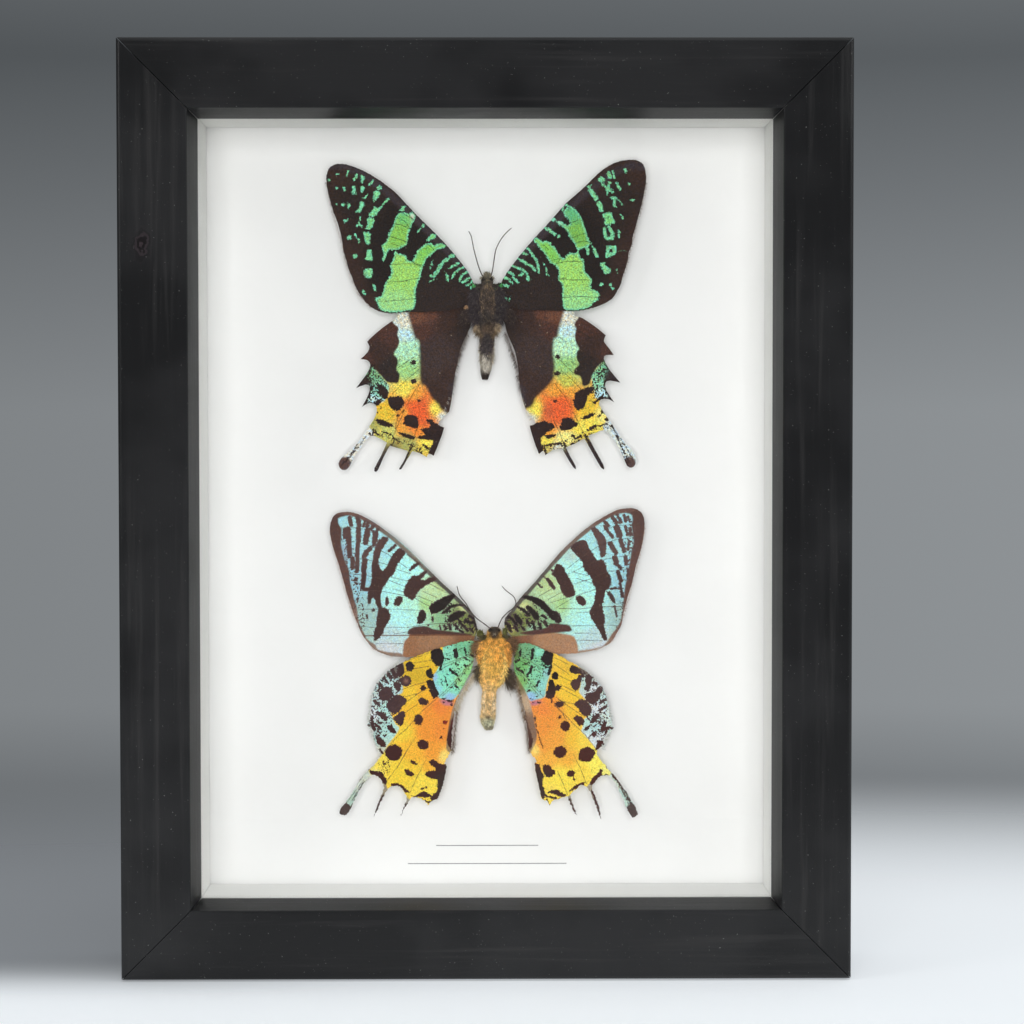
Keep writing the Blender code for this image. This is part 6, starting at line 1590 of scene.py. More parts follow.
LOWER_HINDWING_RIGHT_MARKS = [
    ((12.6, 4.6), (14.8, 4.6), (15.1, 2.8), (15.1, 0.8), (14.6, -0.4), (13.8, -0.6), (12.7, -0.1),
     (11.9, 0.8), (12.2, 2.2), (12.9, 3.2)),
    ("line", 0.42, (14.4, -0.8), (14.0, -2.6)), (15.6, -3.1, 0.85, 1.1, 0),
    (16.3, -6.2, 0.75, 0.9, -25), (16.8, -10.4, 1.2, 0.85, 0), (16.7, -13.8, 0.55, 0.35, 40),
    (18.2, -16.0, 1.25, 1.3, 0), (16.8, -22.7, 1.7, 1.45, 10),
    ((21.6, -23.2), (21.9, -22.1), (23.0, -21.5), (24.4, -21.4), (25.6, -22.2), (25.9, -23.2),
     (25.2, -24.4), (24.6, -25.1), (22.8, -25.3), (21.7, -24.9)),
    ((14.2, -3.9), (15.2, -4.2), (15.4, -5.4), (15.9, -6.6), (15.6, -8.2), (14.6, -9.2),
     (13.2, -8.8), (13.2, -7.6), (13.6, -6.4), (13.9, -5.0)),
    ("line", 0.2, (14.8, -8.8), (14.6, -10.0)), (11.5, -10.0, 0.45, 0.28, 0),
    (9.4, -9.1, 0.4, 0.2, -20), (10.0, -10.0, 0.4, 0.14, 0),
    ((18.4, -28.6), (19.0, -27.5), (20.2, -27.3), (20.9, -28.1), (20.2, -29.1), (19.1, -29.3)),
    ("line", 0.14, (20.1, -29.3), (20.5, -30.0)),
    ((10.1, -25.5), (11.6, -25.8), (12.0, -27.4), (12.7, -28.8), (12.4, -30.0), (12.4, -31.2),
     (12.9, -32.8), (12.9, -34.2), (12.4, -35.0), (11.8, -34.2), (11.2, -31.6), (10.7, -29.4)),
    ((12.3, -26.4), (13.3, -25.8), (14.6, -26.3), (14.8, -27.1), (15.6, -27.6), (15.5, -28.4),
     (14.6, -29.2), (13.4, -29.3), (12.6, -28.2)),
    (10.4, -13.9, 0.3, 0.5, 0), ("line", 0.14, (10.4, -14.4), (11.0, -17.2), (12.4, -21.6)),
    ((13.5, -33.3), (14.4, -32.5), (16.0, -32.3), (17.0, -33.0), (18.9, -33.9), (17.4, -34.5),
     (15.8, -33.8), (14.6, -33.4)),
    ("line", 0.26, (12.6, -33.8), (15.0, -34.5), (16.4, -34.8)),
    ("line", 0.16, (13.4, -35.0), (14.2, -36.6)),
    ((18.9, -32.9), (20.0, -32.0), (20.8, -31.2), (21.8, -30.8), (23.1, -30.4), (23.1, -31.6),
     (21.4, -32.0), (20.2, -32.6)),
    ((24.2, -31.2), (24.8, -30.2), (25.4, -29.0), (26.4, -28.2), (27.4, -27.0), (27.9, -27.4),
     (27.4, -28.6), (28.4, -28.6), (29.8, -28.3), (28.6, -29.1), (27.4, -29.2), (26.2, -30.0),
     (25.2, -31.2)),
    (25.3, -27.3, 0.4, 0.16, 20),
    ((19.1, -1.2), (20.2, -0.3), (21.4, -1.0), (22.2, -1.6), (22.4, -2.8), (20.6, -2.6),
     (19.6, -2.4)),
    ((19.4, -5.2), (19.9, -4.2), (21.2, -4.0), (21.6, -2.6), (22.2, -2.9), (22.3, -4.8),
     (21.6, -6.8), (20.6, -7.0), (19.8, -6.2)),
    ((23.2, -3.4), (24.2, -2.8), (25.1, -3.2), (24.8, -5.0), (24.2, -7.2), (23.1, -6.6),
     (23.6, -5.2)),
    ("line", 0.2, (22.4, -2.6), (22.7, -3.4)),
    ("line", 0.22, (23.0, -0.8), (25.2, -2.8), (26.2, -4.0)),
    ("line", 0.24, (25.4, -4.8), (26.3, -5.6)),
    ((23.1, -8.7), (24.4, -7.7), (26.0, -7.2), (26.6, -6.2), (27.6, -5.8), (27.9, -6.6),
     (27.1, -7.8), (26.8, -9.2), (25.6, -10.6), (24.4, -10.2)),
    ((20.3, -10.4), (21.4, -9.4), (22.6, -9.1), (23.8, -9.8), (24.9, -11.6), (24.6, -13.0),
     (23.4, -13.8), (22.0, -12.6), (21.6, -11.6)),
    ((20.1, -14.1), (21.2, -13.2), (22.4, -13.6), (23.2, -14.6), (22.8, -15.8), (21.8, -16.1),
     (21.0, -14.9)),
    ((24.6, -15.2), (25.2, -13.6), (26.8, -12.6), (26.9, -13.6), (25.9, -15.0)),
    ((22.7, -17.6), (23.2, -16.2), (24.5, -15.9), (24.1, -17.1)),
    ((27.0, -17.7), (27.5, -16.4), (28.2, -14.9), (28.9, -14.8), (28.4, -16.4), (29.8, -16.2),
     (28.6, -17.2)),
    ((24.4, -18.6), (25.2, -17.7), (26.4, -17.9), (26.0, -18.7)),
    ("line", 0.14, (24.2, -19.2), (24.8, -18.2)),
    ((25.7, -22.3), (26.2, -20.6), (27.0, -19.8), (28.0, -19.5), (27.6, -20.8), (26.8, -22.2)),
    ("line", 0.22, (27.0, -12.0), (28.5, -11.2)), ("line", 0.26, (27.2, -10.0), (28.2, -9.4)),
    ("line", 0.16, (27.8, -20.6), (28.6, -20.8)), ("line", 0.13, (26.4, -14.6), (27.2, -15.6)),
    ("line", 0.15, (28.4, -17.8), (29.2, -16.4), (31.0, -16.8)), (28.4, -25.4, 0.35, 0.35, 0),
    (28.9, -26.5, 0.35, 0.35, 0), (27.0, -23.6, 0.2, 0.2, 0), (27.5, -24.6, 0.2, 0.2, 0),
    (29.6, -27.5, 0.3, 0.25, 0), ("line", 0.4, (9.9, 3.6), (9.6, 1.2)),
    ("line", 0.34, (9.6, -0.8), (9.2, -2.0), (8.4, -3.1)),
    ("line", 0.26, (11.5, -4.5), (10.5, -5.9)), (6.7, 2.8, 0.35, 0.8, -10),
    (8.8, -7.0, 0.35, 0.3, 0), (10.8, -8.4, 0.4, 0.2, 20), ("line", 0.2, (7.8, -0.1), (8.8, 0.3)),
    ("line", 0.2, (12.4, -0.4), (13.8, -1.0)), ("line", 0.3, (6.4, 1.0), (5.4, 0.4)),
    ("line", 0.24, (4.8, 3.4), (5.2, 2.2)), ("line", 0.3, (5.8, -1.2), (7.2, -2.2)),
    ((5.6, -5.4), (6.6, -7.0), (7.0, -9.6), (7.8, -12), (8.4, -15), (9.6, -18.0), (10.1, -19.9),
     (8.9, -22.6), (8.6, -20), (7.6, -16), (6.9, -12), (6.0, -8.4)),
    ("line", 0.3, (30.4, -28.4), (33.6, -33.0), (35.4, -36.6)),
    ("line", 0.22, (32.4, -28.6), (35.2, -33.4), (36.8, -36.8)),
    ("line", 0.12, (30.0, -28.4), (32.6, -32.4), (34.8, -36.8)),
    ((33.6, -37.0), (35.2, -36.0), (37.2, -36.6), (39, -39), (35, -41), (33, -38.6)),
    ("line", 0.34, (25.2, -32.8), (26.2, -35.6), (27.4, -40.6)),
    ("line", 0.28, (19.2, -34.8), (20.0, -37.0), (21.4, -39.4)),
]
LOWER_HINDWING_RIGHT_VEINS = [
    ((4.0, 3.2), (8.0, 1.4), (11.6, -0.9), (13.6, -2.8)), ((4.2, 2.0), (8.6, -0.2), (12.0, -2.4)),
    ((4.2, 0.8), (7.0, -2.0), (10.0, -5.6), (12.6, -8.6)), ((4.8, -0.2), (8.0, -4.2), (11.4, -8.2)),
    ((15.2, -10.6), (18.0, -13.0), (20.2, -15.4), (23.4, -18.4), (25.8, -21.6)),
    ((20.2, -23.2), (22.0, -26.8), (23.6, -31.0)), ((16.2, -27.6), (17.6, -30.8), (18.8, -33.8)),
    ((15.8, -8.6), (19.4, -11.2), (22.6, -13.4)), ((17.2, -6.4), (21.4, -8.6), (24.6, -10.8)),
    ((15.4, 1.6), (19, -0.2)), ((15.2, 0.0), (19.2, -2.8)), ((16.4, -3.0), (19.8, -4.6)),
    ((17.0, -5.4), (21.0, -7.4)), ((14.4, -9.0), (16.6, -11.6), (18.6, -14.6)),
    ((23.6, -1.6), (25.6, -3.4)), ((16.4, -9.4), (20.6, -10.4)),
]

LOOKS |= {
    "lower_forewing_left": {
        "root": (-2.5, 6.0),
        "ground": FOREWING_VENTRAL_GROUND_LEFT,
        "mark_tint": [
            (None,
             [(-30, 20, 5, BAND), (-20, 20, 5, BAND), (-12, 14, 5, NIGHT),
              (-36, 30, 5, linear(92, 70, 66))],
             0.3),
        ],
        "rim_tint": (linear(104, 84, 84), 0.22),
        "heavier": [
            ([(-40, 18), (-29, 18), (-29.5, 36), (-35, 39), (-41, 39)], 0.16),
            ([(-13, 17), (-2, 10), (-2, 7.4), (-14, 7.4)], 0.16),
        ],
        "nibbled": 0.11,
        "fringe": [
            ([(-42.0, 34), (-39.9, 25.6), (-37.5, 17), (-34.9, 9.8), (-31, 3.8), (-26, 1.8)], 520,
             (-0.9, -0.35), 0.4, linear(176, 140, 118)),
        ],
        "mottled": [
            ([(-12.5, 17), (-4, 9.4), (-4, 8.4), (-13, 8.4)], 0.26),
            ([(-38.0, 8), (-33.0, 8), (-33.4, 17), (-35.4, 25), (-36.6, 35), (-40.4, 35)], 0.2),
        ],
        "marks": LOWER_FOREWING_LEFT_MARKS,
        "veins": LOWER_FOREWING_LEFT_VEINS,
    },
    "lower_forewing_right": {
        "root": (2.5, 6.0),
        "ground": FOREWING_VENTRAL_GROUND_RIGHT,
        "mark_tint": [
            (None,
             [(27, 20, 5, BAND), (18, 20, 5, BAND), (10, 14, 5, NIGHT),
              (32, 32, 5, linear(96, 74, 70))],
             0.3),
        ],
        "rim_tint": (linear(104, 84, 84), 0.22),
        "heavier": [
            ([(38, 16), (29.8, 16), (28, 30), (27, 36), (33, 40), (40, 40)], 0.16),
            ([(13, 17), (2, 12), (2, 7.4), (14, 8.4)], 0.16),
        ],
        "nibbled": 0.11,
        "fringe": [
            ([(38.6, 35), (37.3, 28), (35.2, 20), (33.1, 12.2), (30.3, 5.8), (26, 3.4)], 460,
             (0.9, -0.35), 0.4, linear(176, 140, 118)),
        ],
        "mottled": [
            ([(12, 17), (3, 11.4), (3, 8.4), (13, 9.2)], 0.26),
            ([(35.0, 8), (30.6, 8), (31.8, 16), (33.2, 25), (33.6, 36), (37.4, 36)], 0.18),
        ],
        "marks": LOWER_FOREWING_RIGHT_MARKS,
        "veins": LOWER_FOREWING_RIGHT_VEINS,
    },
    "lower_hindwing_left": {
        "root": (-2.5, 3.0),
        "nibbled": 0.34,
        "ground": HINDWING_VENTRAL_GROUND_LEFT,
        "mark_tint": [
            (None,
             [(-20, -24, 8, linear(66, 38, 36)), (-15, 0, 5, NIGHT),
              (-26, -9, 5, linear(74, 54, 54)), (-22.6, -4.4, 0.5, linear(132, 96, 84)),
              (-13, -30, 3, linear(62, 50, 46)), (-12.5, -15, 0.8, linear(120, 40, 34)),
              (-39, -37, 4, linear(72, 56, 52))],
             0.3),
        ],
        "heavier": [([(-23.5, 1), (-33, -4), (-34, -24), (-27, -20), (-24, -10)], 0.13)],
        "mottled": [
            ([(-24, 0.4), (-33, -4), (-34, -24), (-28.4, -20), (-25.4, -14), (-24.6, -7)], 0.27),
            ([(-30.5, -25.6), (-27, -24.2), (-26.4, -28.2), (-29.4, -28)], 0.25),
            ([(-18, -33.4), (-10, -34.2), (-10, -37), (-18, -36.4)], 0.2),
            ([(-12.5, 4.6), (-4.6, 6), (-5, 0), (-9.5, -8), (-14, -4), (-13, 1)], 0.09),
        ],
        "marks": LOWER_HINDWING_LEFT_MARKS,
        "veins": LOWER_HINDWING_LEFT_VEINS,
        "fringe": [
            ([(-5.4, -2.6), (-7.6, -6), (-9.6, -9.6), (-10.2, -12)], 420, (0.8, -0.6), 1.7,
             linear(190, 174, 146)),
            ([(-9.8, -12), (-10.2, -16), (-10.6, -20), (-11, -22.6)], 260, (0.55, -0.85), 1.4,
             linear(96, 76, 60)),
            ([(-24, 1), (-29, -4), (-31.4, -9), (-32, -14), (-31, -18), (-29.4, -22)], 420,
             (-0.9, -0.2), 1.1, linear(188, 194, 186)),
        ],
    },
    "lower_hindwing_right": {
        "root": (2.5, 3.0),
        "nibbled": 0.34,
        "ground": HINDWING_VENTRAL_GROUND_RIGHT,
        "mark_tint": [
            (None,
             [(18, -22, 8, linear(74, 42, 38)), (13.6, 0, 5, NIGHT),
              (24, -9, 5, linear(78, 56, 54)), (12, -30, 3, linear(62, 50, 46)),
              (8.6, -15, 3, linear(96, 72, 60)), (35, -38, 4, linear(76, 60, 56))],
             0.3),
        ],
        "heavier": [([(21.5, 0), (33, -4), (32, -24), (25, -20), (23, -10)], 0.13)],
        "mottled": [
            ([(22.4, -0.6), (33, -4), (32, -24), (26, -20), (23.6, -14), (22.8, -7)], 0.24),
            ([(14, -33.6), (8.6, -34.6), (8.6, -37.4), (14, -36.8)], 0.2),
            ([(4.8, 6), (12.6, 4), (13.6, -1), (12, -7.6), (9, -8), (5, -1)], 0.09),
        ],
        "marks": LOWER_HINDWING_RIGHT_MARKS,
        "veins": LOWER_HINDWING_RIGHT_VEINS,
        "fringe": [
            ([(5.0, -3.0), (6.4, -6.4), (7.2, -10), (8.0, -14)], 420, (-0.7, -0.7), 1.5,
             linear(128, 106, 84)),
            ([(7.8, -13), (8.4, -17), (8.8, -20), (9.2, -22.6)], 220, (-0.5, -0.9), 1.3,
             linear(104, 84, 68)),
            ([(21, 0), (26, -4.4), (28.4, -9), (29.8, -14), (29, -18), (27.6, -22)], 420,
             (0.95, -0.1), 1.1, linear(192, 198, 190)),
        ],
    },
}


# Hair: points in a strip, and half widths of fur and tufts
HAIR_POINTS = 5
FUR_HALF_WIDTH = 0.05
TUFT_HALF_WIDTH = 0.045

# Eyes and antennae
EYE_RADIUS = 0.72
EYE_RINGS = 8
EYE_ASIDE = 0.85
EYE_FORWARD = 0.5
EYE_TINT = linear(46, 40, 36)
ANTENNA_RADIUS = 0.15
ANTENNA_TAPER = 0.05
ANTENNA_TINT = linear(78, 66, 62)

# Moth bodies: height over the card, and where the eyes sit, across and up
BODY_HEIGHT = 3.6
UPPER_HEAD = (0.0, 6.5)
LOWER_HEAD = (0.0, 8.4)

# Stations along the bodies: across, up, half the width, half the depth
UPPER_BODY = [
    (0.0, 7.5, 0.3, 0.3), (0.0, 6.5, 1.1, 1.2), (0.0, 5.7, 1.1, 1.3), (0.0, 4.9, 1.7, 1.8),
    (0.0, 3.2, 2.3, 2.4), (0.1, 0.6, 2.6, 2.8), (0.1, -2.4, 2.5, 2.7), (0.0, -4.8, 2.0, 2.3),
    (0.0, -6.6, 1.6, 1.9), (-0.1, -9.0, 1.5, 1.8), (-0.2, -12.0, 1.4, 1.7), (-0.3, -15.0, 1.2, 1.5),
    (-0.5, -17.2, 0.8, 1.0), (-0.6, -18.6, 0.3, 0.4),
]
LOWER_BODY = [
    (0.0, 9.4, 0.4, 0.4), (0.0, 8.5, 1.2, 1.2), (0.0, 7.7, 1.3, 1.4), (0.1, 6.6, 2.6, 2.1),
    (0.0, 4.0, 3.3, 2.7), (-0.1, 1.0, 3.2, 2.9), (-0.4, -2.0, 2.8, 2.8), (-0.8, -4.4, 2.0, 2.4),
    (-1.2, -6.2, 1.3, 1.9), (-1.4, -8.6, 1.3, 1.8), (-1.5, -11.4, 1.3, 1.7),
    (-1.7, -13.6, 1.35, 1.5), (-1.7, -15.2, 1.0, 1.1), (-1.4, -16.4, 0.4, 0.5),
]

# Antennae: across, up, height over the card
UPPER_ANTENNAE = [
    [(-0.7, 6.6, 3.9), (-1.5, 8.0, 4.2), (-2.2, 9.8, 4.4), (-2.9, 12.2, 4.6), (-3.4, 14.2, 4.7),
     (-3.8, 16.2, 4.6), (-4.1, 17.6, 4.5), (-4.7, 18.7, 4.4)],
    [(0.7, 6.6, 3.9), (1.3, 8.5, 4.2), (1.7, 11.0, 4.5), (2.1, 13.5, 4.7), (2.6, 14.9, 4.8),
     (3.4, 16.4, 4.8), (4.4, 17.8, 4.7), (5.3, 18.7, 4.6), (6.2, 19.5, 4.5)],
]
LOWER_ANTENNAE = [
    [(-0.9, 8.9, 4.0), (-2.5, 10.2, 4.6), (-4.0, 11.3, 4.9), (-5.3, 12.5, 5.0), (-6.3, 13.9, 5.0),
     (-7.3, 15.6, 5.0), (-8.6, 17.2, 4.9), (-9.2, 18.6, 4.8), (-9.5, 19.9, 4.7)],
    [(0.9, 8.9, 4.0), (1.4, 10.4, 4.4), (2.2, 11.9, 4.8), (3.6, 13.3, 5.0), (4.9, 14.3, 5.0),
     (5.5, 15.3, 5.0), (5.4, 16.3, 4.9), (4.9, 17.3, 4.8), (3.9, 18.1, 4.8), (2.9, 18.9, 4.7),
     (2.0, 19.9, 4.6)],
]

# Fur colours: across, up, reach, colour
UPPER_FUR = [
    (0, 6.8, 1.2, linear(86, 80, 70)), (0, 3, 2, linear(80, 71, 67)),
    (0.8, 0, 2, linear(84, 71, 63)), (-1, -3, 2, linear(76, 68, 64)),
    (-2.2, 1, 1.2, linear(62, 55, 58)), (2.4, 1, 1.2, linear(60, 54, 56)),
    (0, -6.0, 1.0, linear(104, 86, 70)), (-0.1, -9, 1.2, linear(74, 66, 66)),
    (-0.2, -12, 1.2, linear(76, 68, 70)), (-1.6, -8, 0.5, linear(116, 98, 76)),
    (1.5, -8, 0.5, linear(116, 98, 76)), (-1.3, -13, 0.6, linear(140, 130, 116)),
    (0.9, -13, 0.6, linear(140, 130, 116)), (-0.4, -15.6, 0.8, linear(186, 178, 164)),
    (-0.6, -18.6, 0.8, linear(60, 50, 46)),
]
LOWER_FUR = [
    (0, 8.6, 0.9, linear(80, 72, 62)), (0, 4.8, 2, linear(252, 188, 88)),
    (-2, 2, 2, linear(255, 200, 96)), (2, 2, 2, linear(255, 192, 88)),
    (0, -1.5, 2, linear(255, 208, 104)), (-2.6, -2.6, 1.2, linear(250, 200, 116)),
    (2, -4, 1.5, linear(250, 194, 114)), (-1.2, -7, 1.6, linear(250, 210, 140)),
    (-1.4, -11, 1.6, linear(246, 210, 150)), (-1.6, -13.6, 0.4, linear(110, 96, 72)),
    (-1.6, -15.2, 0.8, linear(214, 212, 176)), (-1.3, -16.8, 0.6, linear(140, 132, 108)),
    (0, 7.2, 0.9, linear(66, 56, 50)),
]

# Tufts: across, up, over the card, half width, half height, hairs, direction (across, over,
# up), length, colour
UPPER_TUFTS = [
    (-2.6, 0.6, 5.2, 1.1, 4.2, 3400, (-0.35, 0.1, -1.0), 2.6, linear(68, 60, 62)),
    (2.7, 0.8, 5.2, 1.1, 4.2, 3400, (0.35, 0.1, -1.0), 2.6, linear(66, 59, 60)),
    (-1.7, 4.4, 5.0, 0.6, 1.0, 700, (-1.0, 0.1, -0.9), 1.1, linear(70, 62, 56)),
    (1.8, 4.4, 5.0, 0.6, 1.0, 700, (1.0, 0.1, -0.9), 1.1, linear(66, 60, 54)),
    (0.0, 7.2, 4.6, 0.9, 0.7, 500, (0.0, 0.2, 1.0), 0.9, linear(120, 112, 96)),
    (-5.0, -2.4, 4.9, 1.4, 1.6, 420, (-0.7, 0.0, -1.0), 2.2, linear(66, 54, 50)),
    (5.0, -2.2, 4.9, 1.4, 1.6, 420, (0.7, 0.0, -1.0), 2.2, linear(66, 54, 50)),
    (-2.6, -5.4, 5.0, 0.6, 0.8, 260, (-0.3, 0.0, -1.0), 1.6, linear(158, 138, 112)),
    (2.4, -5.0, 5.0, 0.6, 0.9, 260, (0.3, 0.0, -1.0), 1.6, linear(158, 138, 112)),
    (-5.2, -0.4, 4.7, 0.5, 0.4, 120, (-0.3, 0.0, -1.0), 0.9, linear(166, 132, 96)),
    (-1.7, -5.4, 4.2, 0.5, 1.6, 420, (-0.6, 0.0, -1.0), 2.0, linear(118, 98, 74)),
    (1.6, -5.2, 4.2, 0.5, 1.6, 420, (0.6, 0.0, -1.0), 2.0, linear(118, 98, 74)),
    (-1.3, -11.4, 3.9, 0.4, 3.0, 300, (-0.6, 0.0, -1.0), 1.2, linear(190, 178, 158)),
    (1.0, -11.4, 3.9, 0.4, 3.0, 300, (0.6, 0.0, -1.0), 1.2, linear(190, 178, 158)),
    (-0.4, -14.6, 5.2, 1.0, 2.4, 280, (-0.1, 0.2, -1.0), 0.7, linear(206, 198, 184)),
    (-1.0, 6.8, 4.1, 0.3, 0.5, 110, (-1.0, 0.1, 0.1), 0.8, linear(150, 142, 124)),
    (1.0, 6.8, 4.1, 0.3, 0.5, 110, (1.0, 0.1, 0.1), 0.8, linear(150, 142, 124)),
    (0.1, 1.0, 6.2, 2.0, 4.6, 340, (0.1, 0.3, -1.0), 0.9, linear(132, 112, 88)),
    (-2.7, 4.5, 4.6, 0.9, 0.6, 420, (-0.8, 0.0, 0.35), 0.9, linear(54, 66, 50)),
    (2.8, 4.7, 4.6, 0.9, 0.6, 420, (0.8, 0.0, 0.35), 0.9, linear(54, 66, 50)),
]
UPPER_TUFTS += [
    (side * across, up, 4.95, 0.1, 0.35, 46, (side * 0.75, 0.1, 0.7), 0.8, linear(86, 176, 96))
    for side in (-1, 1)
    for across, up in ((2.1, 3.6), (2.8, 4.3), (3.4, 4.6), (2.4, 2.6), (3.1, 3.2))
]
LOWER_TUFTS = [
    (3.4, 5.0, 4.9, 1.2, 1.8, 800, (1.0, 0.1, -0.2), 2.3, linear(120, 90, 64)),
    (-3.4, 4.4, 4.9, 1.0, 1.6, 700, (-1.0, 0.1, -0.2), 2.3, linear(130, 98, 68)),
    (2.4, 6.6, 4.9, 0.7, 0.6, 420, (1.0, 0.1, 0.3), 1.4, linear(86, 80, 52)),
    (-2.4, 6.6, 4.9, 0.7, 0.6, 420, (-1.0, 0.1, 0.3), 1.4, linear(86, 80, 52)),
    (3.3, -3.0, 4.6, 0.8, 2.2, 520, (0.75, 0.0, -1.0), 3.0, linear(86, 72, 58)),
    (-3.4, -1.6, 4.6, 0.8, 1.8, 460, (-0.75, 0.0, -0.9), 2.4, linear(92, 80, 60)),
    (-2.9, 3.4, 5.3, 0.7, 2.6, 1400, (-0.7, 0.1, -0.8), 1.5, linear(236, 176, 88)),
    (2.9, 3.4, 5.3, 0.7, 2.6, 1400, (0.7, 0.1, -0.8), 1.5, linear(236, 168, 80)),
    (0.0, 5.5, 5.2, 2.5, 0.5, 1100, (0.0, 0.2, 0.9), 0.8, linear(238, 172, 74)),
    (2.6, 8.0, 4.6, 0.5, 0.8, 300, (0.5, 0.1, 0.8), 1.0, linear(104, 104, 56)),
    (-3.4, 7.6, 4.6, 0.7, 0.7, 300, (-0.7, 0.1, 0.6), 1.1, linear(104, 104, 56)),
    (0.3, 6.9, 5.0, 0.2, 0.5, 60, (0.1, 0.3, 1.0), 0.9, linear(204, 192, 170)),
    (-0.2, 6.9, 5.0, 0.2, 0.5, 60, (-0.1, 0.3, 1.0), 0.9, linear(204, 192, 170)),
    (0.0, 7.4, 4.9, 1.0, 0.7, 420, (0.0, 0.2, 1.0), 0.8, linear(72, 62, 54)),
    (0.0, 0.2, 5.8, 3.0, 5.2, 3400, (0.0, 0.3, -1.0), 1.7, linear(255, 220, 128)),
    (-1.4, -9.4, 4.9, 1.5, 3.8, 1800, (0.0, 0.2, -1.0), 1.2, linear(244, 220, 176)),
    (-1.6, -14.6, 4.7, 1.0, 1.0, 420, (0.1, 0.2, -1.0), 0.8, linear(214, 214, 184)),
]


def curve_through(points, steps):
    """Points on a smooth curve through the given ones."""
    ends = [points[0], *points, points[-1]]
    made = []
    for i in range(1, len(ends) - 2):
        before, here, there, after = (np.array(ends[i + k]) for k in (-1, 0, 1, 2))
        pull = there - before
        bend = 2 * before - 5 * here + 4 * there - after
        twist = 3 * here - before - 3 * there + after
        for step in range(steps):
            t = step / steps
            made.append(0.5 * (2 * here + pull * t + bend * t**2 + twist * t**3))
    return made + [np.array(points[-1])]


def tube(path, radii, sides):
    """A closed tube of elliptic rings. A radius is (in the card's plane, off the card)."""
    points, faces = [], []
    for i, spot in enumerate(path):
        along = path[min(i + 1, len(path) - 1)] - path[max(i - 1, 0)]
        aside = np.array([along[2], 0.0, -along[0]])
        aside = aside / max(np.linalg.norm(aside), 1e-6)
        for k in range(sides):
            turn = 2 * math.pi * k / sides
            off_card = np.array([0, math.sin(turn) * radii[i][1], 0])
            points.append(spot + aside * math.cos(turn) * radii[i][0] + off_card)
    for i in range(len(path) - 1):
        for k in range(sides):
            low, high = i * sides, (i + 1) * sides
            faces.append((low + k, low + (k + 1) % sides, high + (k + 1) % sides, high + k))
    faces += [tuple(range(sides))[::-1], tuple(range(len(points) - sides, len(points)))]
    return points, faces


def hair_strips(roots, ways, lengths, wide):
    """Tapered strips from the roots, bending towards the card and the tail."""
    aside = np.stack([ways[:, 2], np.zeros(len(ways)), -ways[:, 0]], -1)
    aside /= np.maximum(np.linalg.norm(aside, axis=1, keepdims=True), 1e-6)
    reach = ways * lengths[:, None]
    sag = np.array([0.0, -0.22, -0.12]) * lengths[:, None]
    middle = roots + reach * 0.55
    root_pair = [roots - aside * wide, roots + aside * wide]
    middle_pair = [middle - aside * wide * 0.8, middle + aside * wide * 0.8]
    points = np.stack([*root_pair, *middle_pair, roots + reach + sag], 1)
    faces = []
    for i in range(0, HAIR_POINTS * len(roots), HAIR_POINTS):
        faces += [(i, i + 1, i + 3, i + 2), (i + 2, i + 3, i + 4)]
    return points.reshape(-1, 3), faces


def body_fur(stations, count, wander):
    """Roots and directions of short fur all over the front and sides of a body."""
    path = np.array(curve_through(stations, 8))
    part = wander.random(count) * (len(path) - 1.001)
    low = part.astype(int)
    spot = path[low] + (path[low + 1] - path[low]) * (part - low)[:, None]
    turn = wander.uniform(-0.5, math.pi + 0.5, count)
    out = np.stack([np.cos(turn), np.sin(turn), np.zeros(count)], -1)
    roots = np.stack([spot[:, 0], np.full(count, BODY_HEIGHT), spot[:, 1]], -1)
    roots += out * np.stack([spot[:, 2], spot[:, 3], spot[:, 3]], -1) * 0.97
    ways = out * 0.7 + np.array([0.0, 0.0, -0.9]) + wander.normal(0.0, 0.42, (count, 3))
    return roots, ways / np.linalg.norm(ways, axis=1, keepdims=True), spot[:, 2]


def eye(middle):
    """A ball around a point."""
    turns = [math.pi * i / EYE_RINGS for i in range(EYE_RINGS + 1)]
    path = [middle + np.array([0, 0, EYE_RADIUS * math.cos(turn)]) for turn in turns]
    return tube(path, [(EYE_RADIUS * math.sin(turn) + 0.01,) * 2 for turn in turns], 12)


def antenna(line):
    """A thin tube that tapers to the antenna's tip."""
    run = [np.array([x, over, up]) for x, up, over in curve_through(line, 6)]
    radii = [(ANTENNA_RADIUS - ANTENNA_TAPER * i / len(run),) * 2 for i in range(len(run))]
    return tube(run, radii, 8)


def tuft(x, up, over, half_wide, half_high, hairs, way, length, wander):
    """A tuft of hair that grows from an oval on the body."""
    turn, off = wander.uniform(0, 2 * math.pi, hairs), np.sqrt(wander.random(hairs))
    across = x + np.cos(turn) * off * half_wide
    height = over + wander.normal(0, 0.18, hairs)
    roots = np.stack([across, height, up + np.sin(turn) * off * half_high], -1)
    ways = np.array(way) + wander.normal(0.0, 0.38, (hairs, 3))
    ways /= np.linalg.norm(ways, axis=1, keepdims=True)
    return hair_strips(roots, ways, length * wander.uniform(0.4, 1.3, hairs), TUFT_HALF_WIDTH)


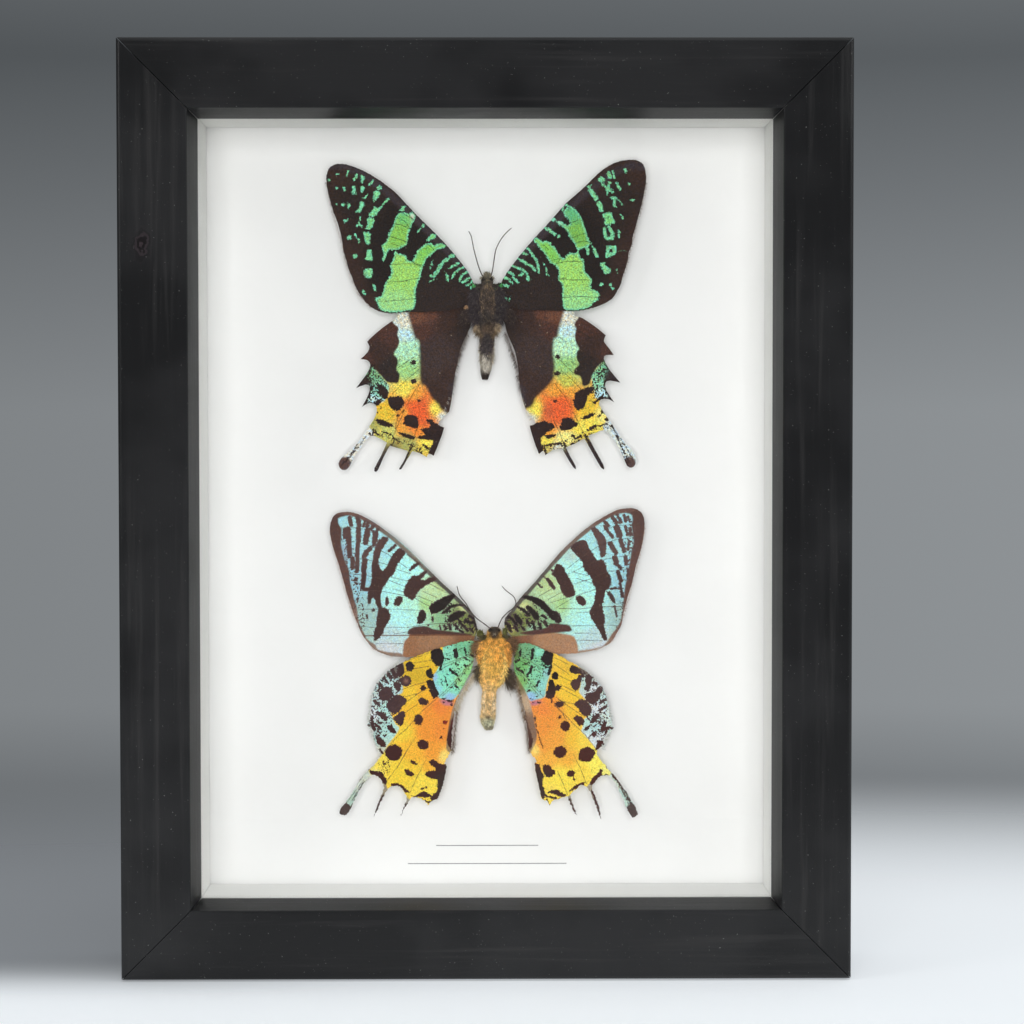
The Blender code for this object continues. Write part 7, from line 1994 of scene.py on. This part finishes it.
def moth_body(name, moth, stations, head, antennae, fur, tufts, count, lengths, finish):
    """A body surface, its fur, eyes, tufts and antennae, in place of its solid.

    A part is (points, faces, shade, tint). A part without a shade is hair, each
    strip shaded a little differently, and one without a tint takes the fur's.
    """
    wander = np.random.default_rng(len(name) + count)
    path = np.array(curve_through(stations, 8))
    spine = np.stack([path[:, 0], np.full(len(path), BODY_HEIGHT), path[:, 1]], -1)
    parts = [(*tube(list(spine), path[:, 2:], 32), 0.62, None)]
    for side in (-1, 1):
        middle = np.array([head[0] + side * EYE_ASIDE, BODY_HEIGHT + EYE_FORWARD, head[1]])
        parts.append((*eye(middle), 1.0, EYE_TINT))
    for line in antennae:
        parts.append((*antenna(line), 1.0, ANTENNA_TINT))
    roots, ways, wide = body_fur(stations, count, wander)
    long = wander.uniform(*lengths, count) * np.clip(wide / 2.2, 0.55, 1.1)
    parts.append((*hair_strips(roots, ways, long, FUR_HALF_WIDTH), None, None))
    for *shape, tint in tufts:
        parts.append((*tuft(*shape, wander), None, tint))
    points, faces, tints = [], [], []
    for spots, shapes, shade, tint in parts:
        base = len(points)
        flat = np.array(spots)
        points += [put(x + moth.x, over, up + moth.y) for x, over, up in flat]
        faces += [tuple(i + base for i in face) for face in shapes]
        if tint is None:
            colour = field(flat[:, [0, 2]], fur)
        else:
            colour = np.tile(np.array(tint), (len(flat), 1))
        if shade is None:
            each = wander.uniform(0.5, 1.35, (len(flat) // HAIR_POINTS, 1))
            shade = np.repeat(each, HAIR_POINTS, axis=0)
        tints.append(colour * shade)
    made = joined(name + "_furred", points, faces, finish)
    write_colours(made.data, "tint", np.concatenate(tints))
    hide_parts(name)


def soft_fur(name, gold):
    """Fur coloured on its points, each hair a little different."""
    made, tree, shader = new_material(name, 0.62)
    tint = node(tree, "Attribute", attribute_name="tint").outputs["Color"]
    spot = place_of(tree)
    clumps = span(tree, noise(tree, spot, 1100.0, 4.0, 0.75), 0.34, 0.66, 0.45, 1.35)
    fine = calc(tree, "MULTIPLY_ADD", noise(tree, spot, 3400.0, 2.0, 0.6), 1.2, 0.4)
    shade = calc(tree, "MULTIPLY", clumps, fine)
    mixed = blend(tree, 1.0, tint, shade_colour(tree, shade), "MULTIPLY")
    fleck = span(tree, noise(tree, spot, 1900.0, 1.0), 0.66, 0.74, 0.0, gold)
    wire(tree, shader, Base_Color=blend(tree, fleck, mixed, linear(190, 166, 120)))
    shader.inputs["Specular IOR Level"].default_value = 0.3
    shader.inputs["Sheen Weight"].default_value = 0.05
    return made


def build_bodies():
    """Both bodies with their fur."""
    moth_body(
        "upper_moth_body", UPPER_MOTH, UPPER_BODY, UPPER_HEAD, UPPER_ANTENNAE, UPPER_FUR,
        UPPER_TUFTS, 20000, (0.6, 1.3), soft_fur("dark_fur", 0.35),
    )
    moth_body(
        "lower_moth_body", LOWER_MOTH, LOWER_BODY, LOWER_HEAD, LOWER_ANTENNAE, LOWER_FUR,
        LOWER_TUFTS, 22000, (0.9, 1.9), soft_fur("orange_fur", 0.1),
    )


def build_wings():
    """The eight wings, the upper moth's seen from its back and the lower one's from below."""
    dorsal = wing_scales("dorsal_scales", 1.6, 0.11, 0.46, linear(30, 36, 26))
    ventral = wing_scales("ventral_scales", 1.4, 0.05, 0.22, linear(84, 66, 58))
    for name, look in LOOKS.items():
        if name.startswith("upper"):
            wing(name, UPPER_MOTH, look, dorsal)
        else:
            wing(name, LOWER_MOTH, look, ventral)


camera()
build_floor()
build_lights()
build_sky()
build_box()
build_wings()
build_bodies()
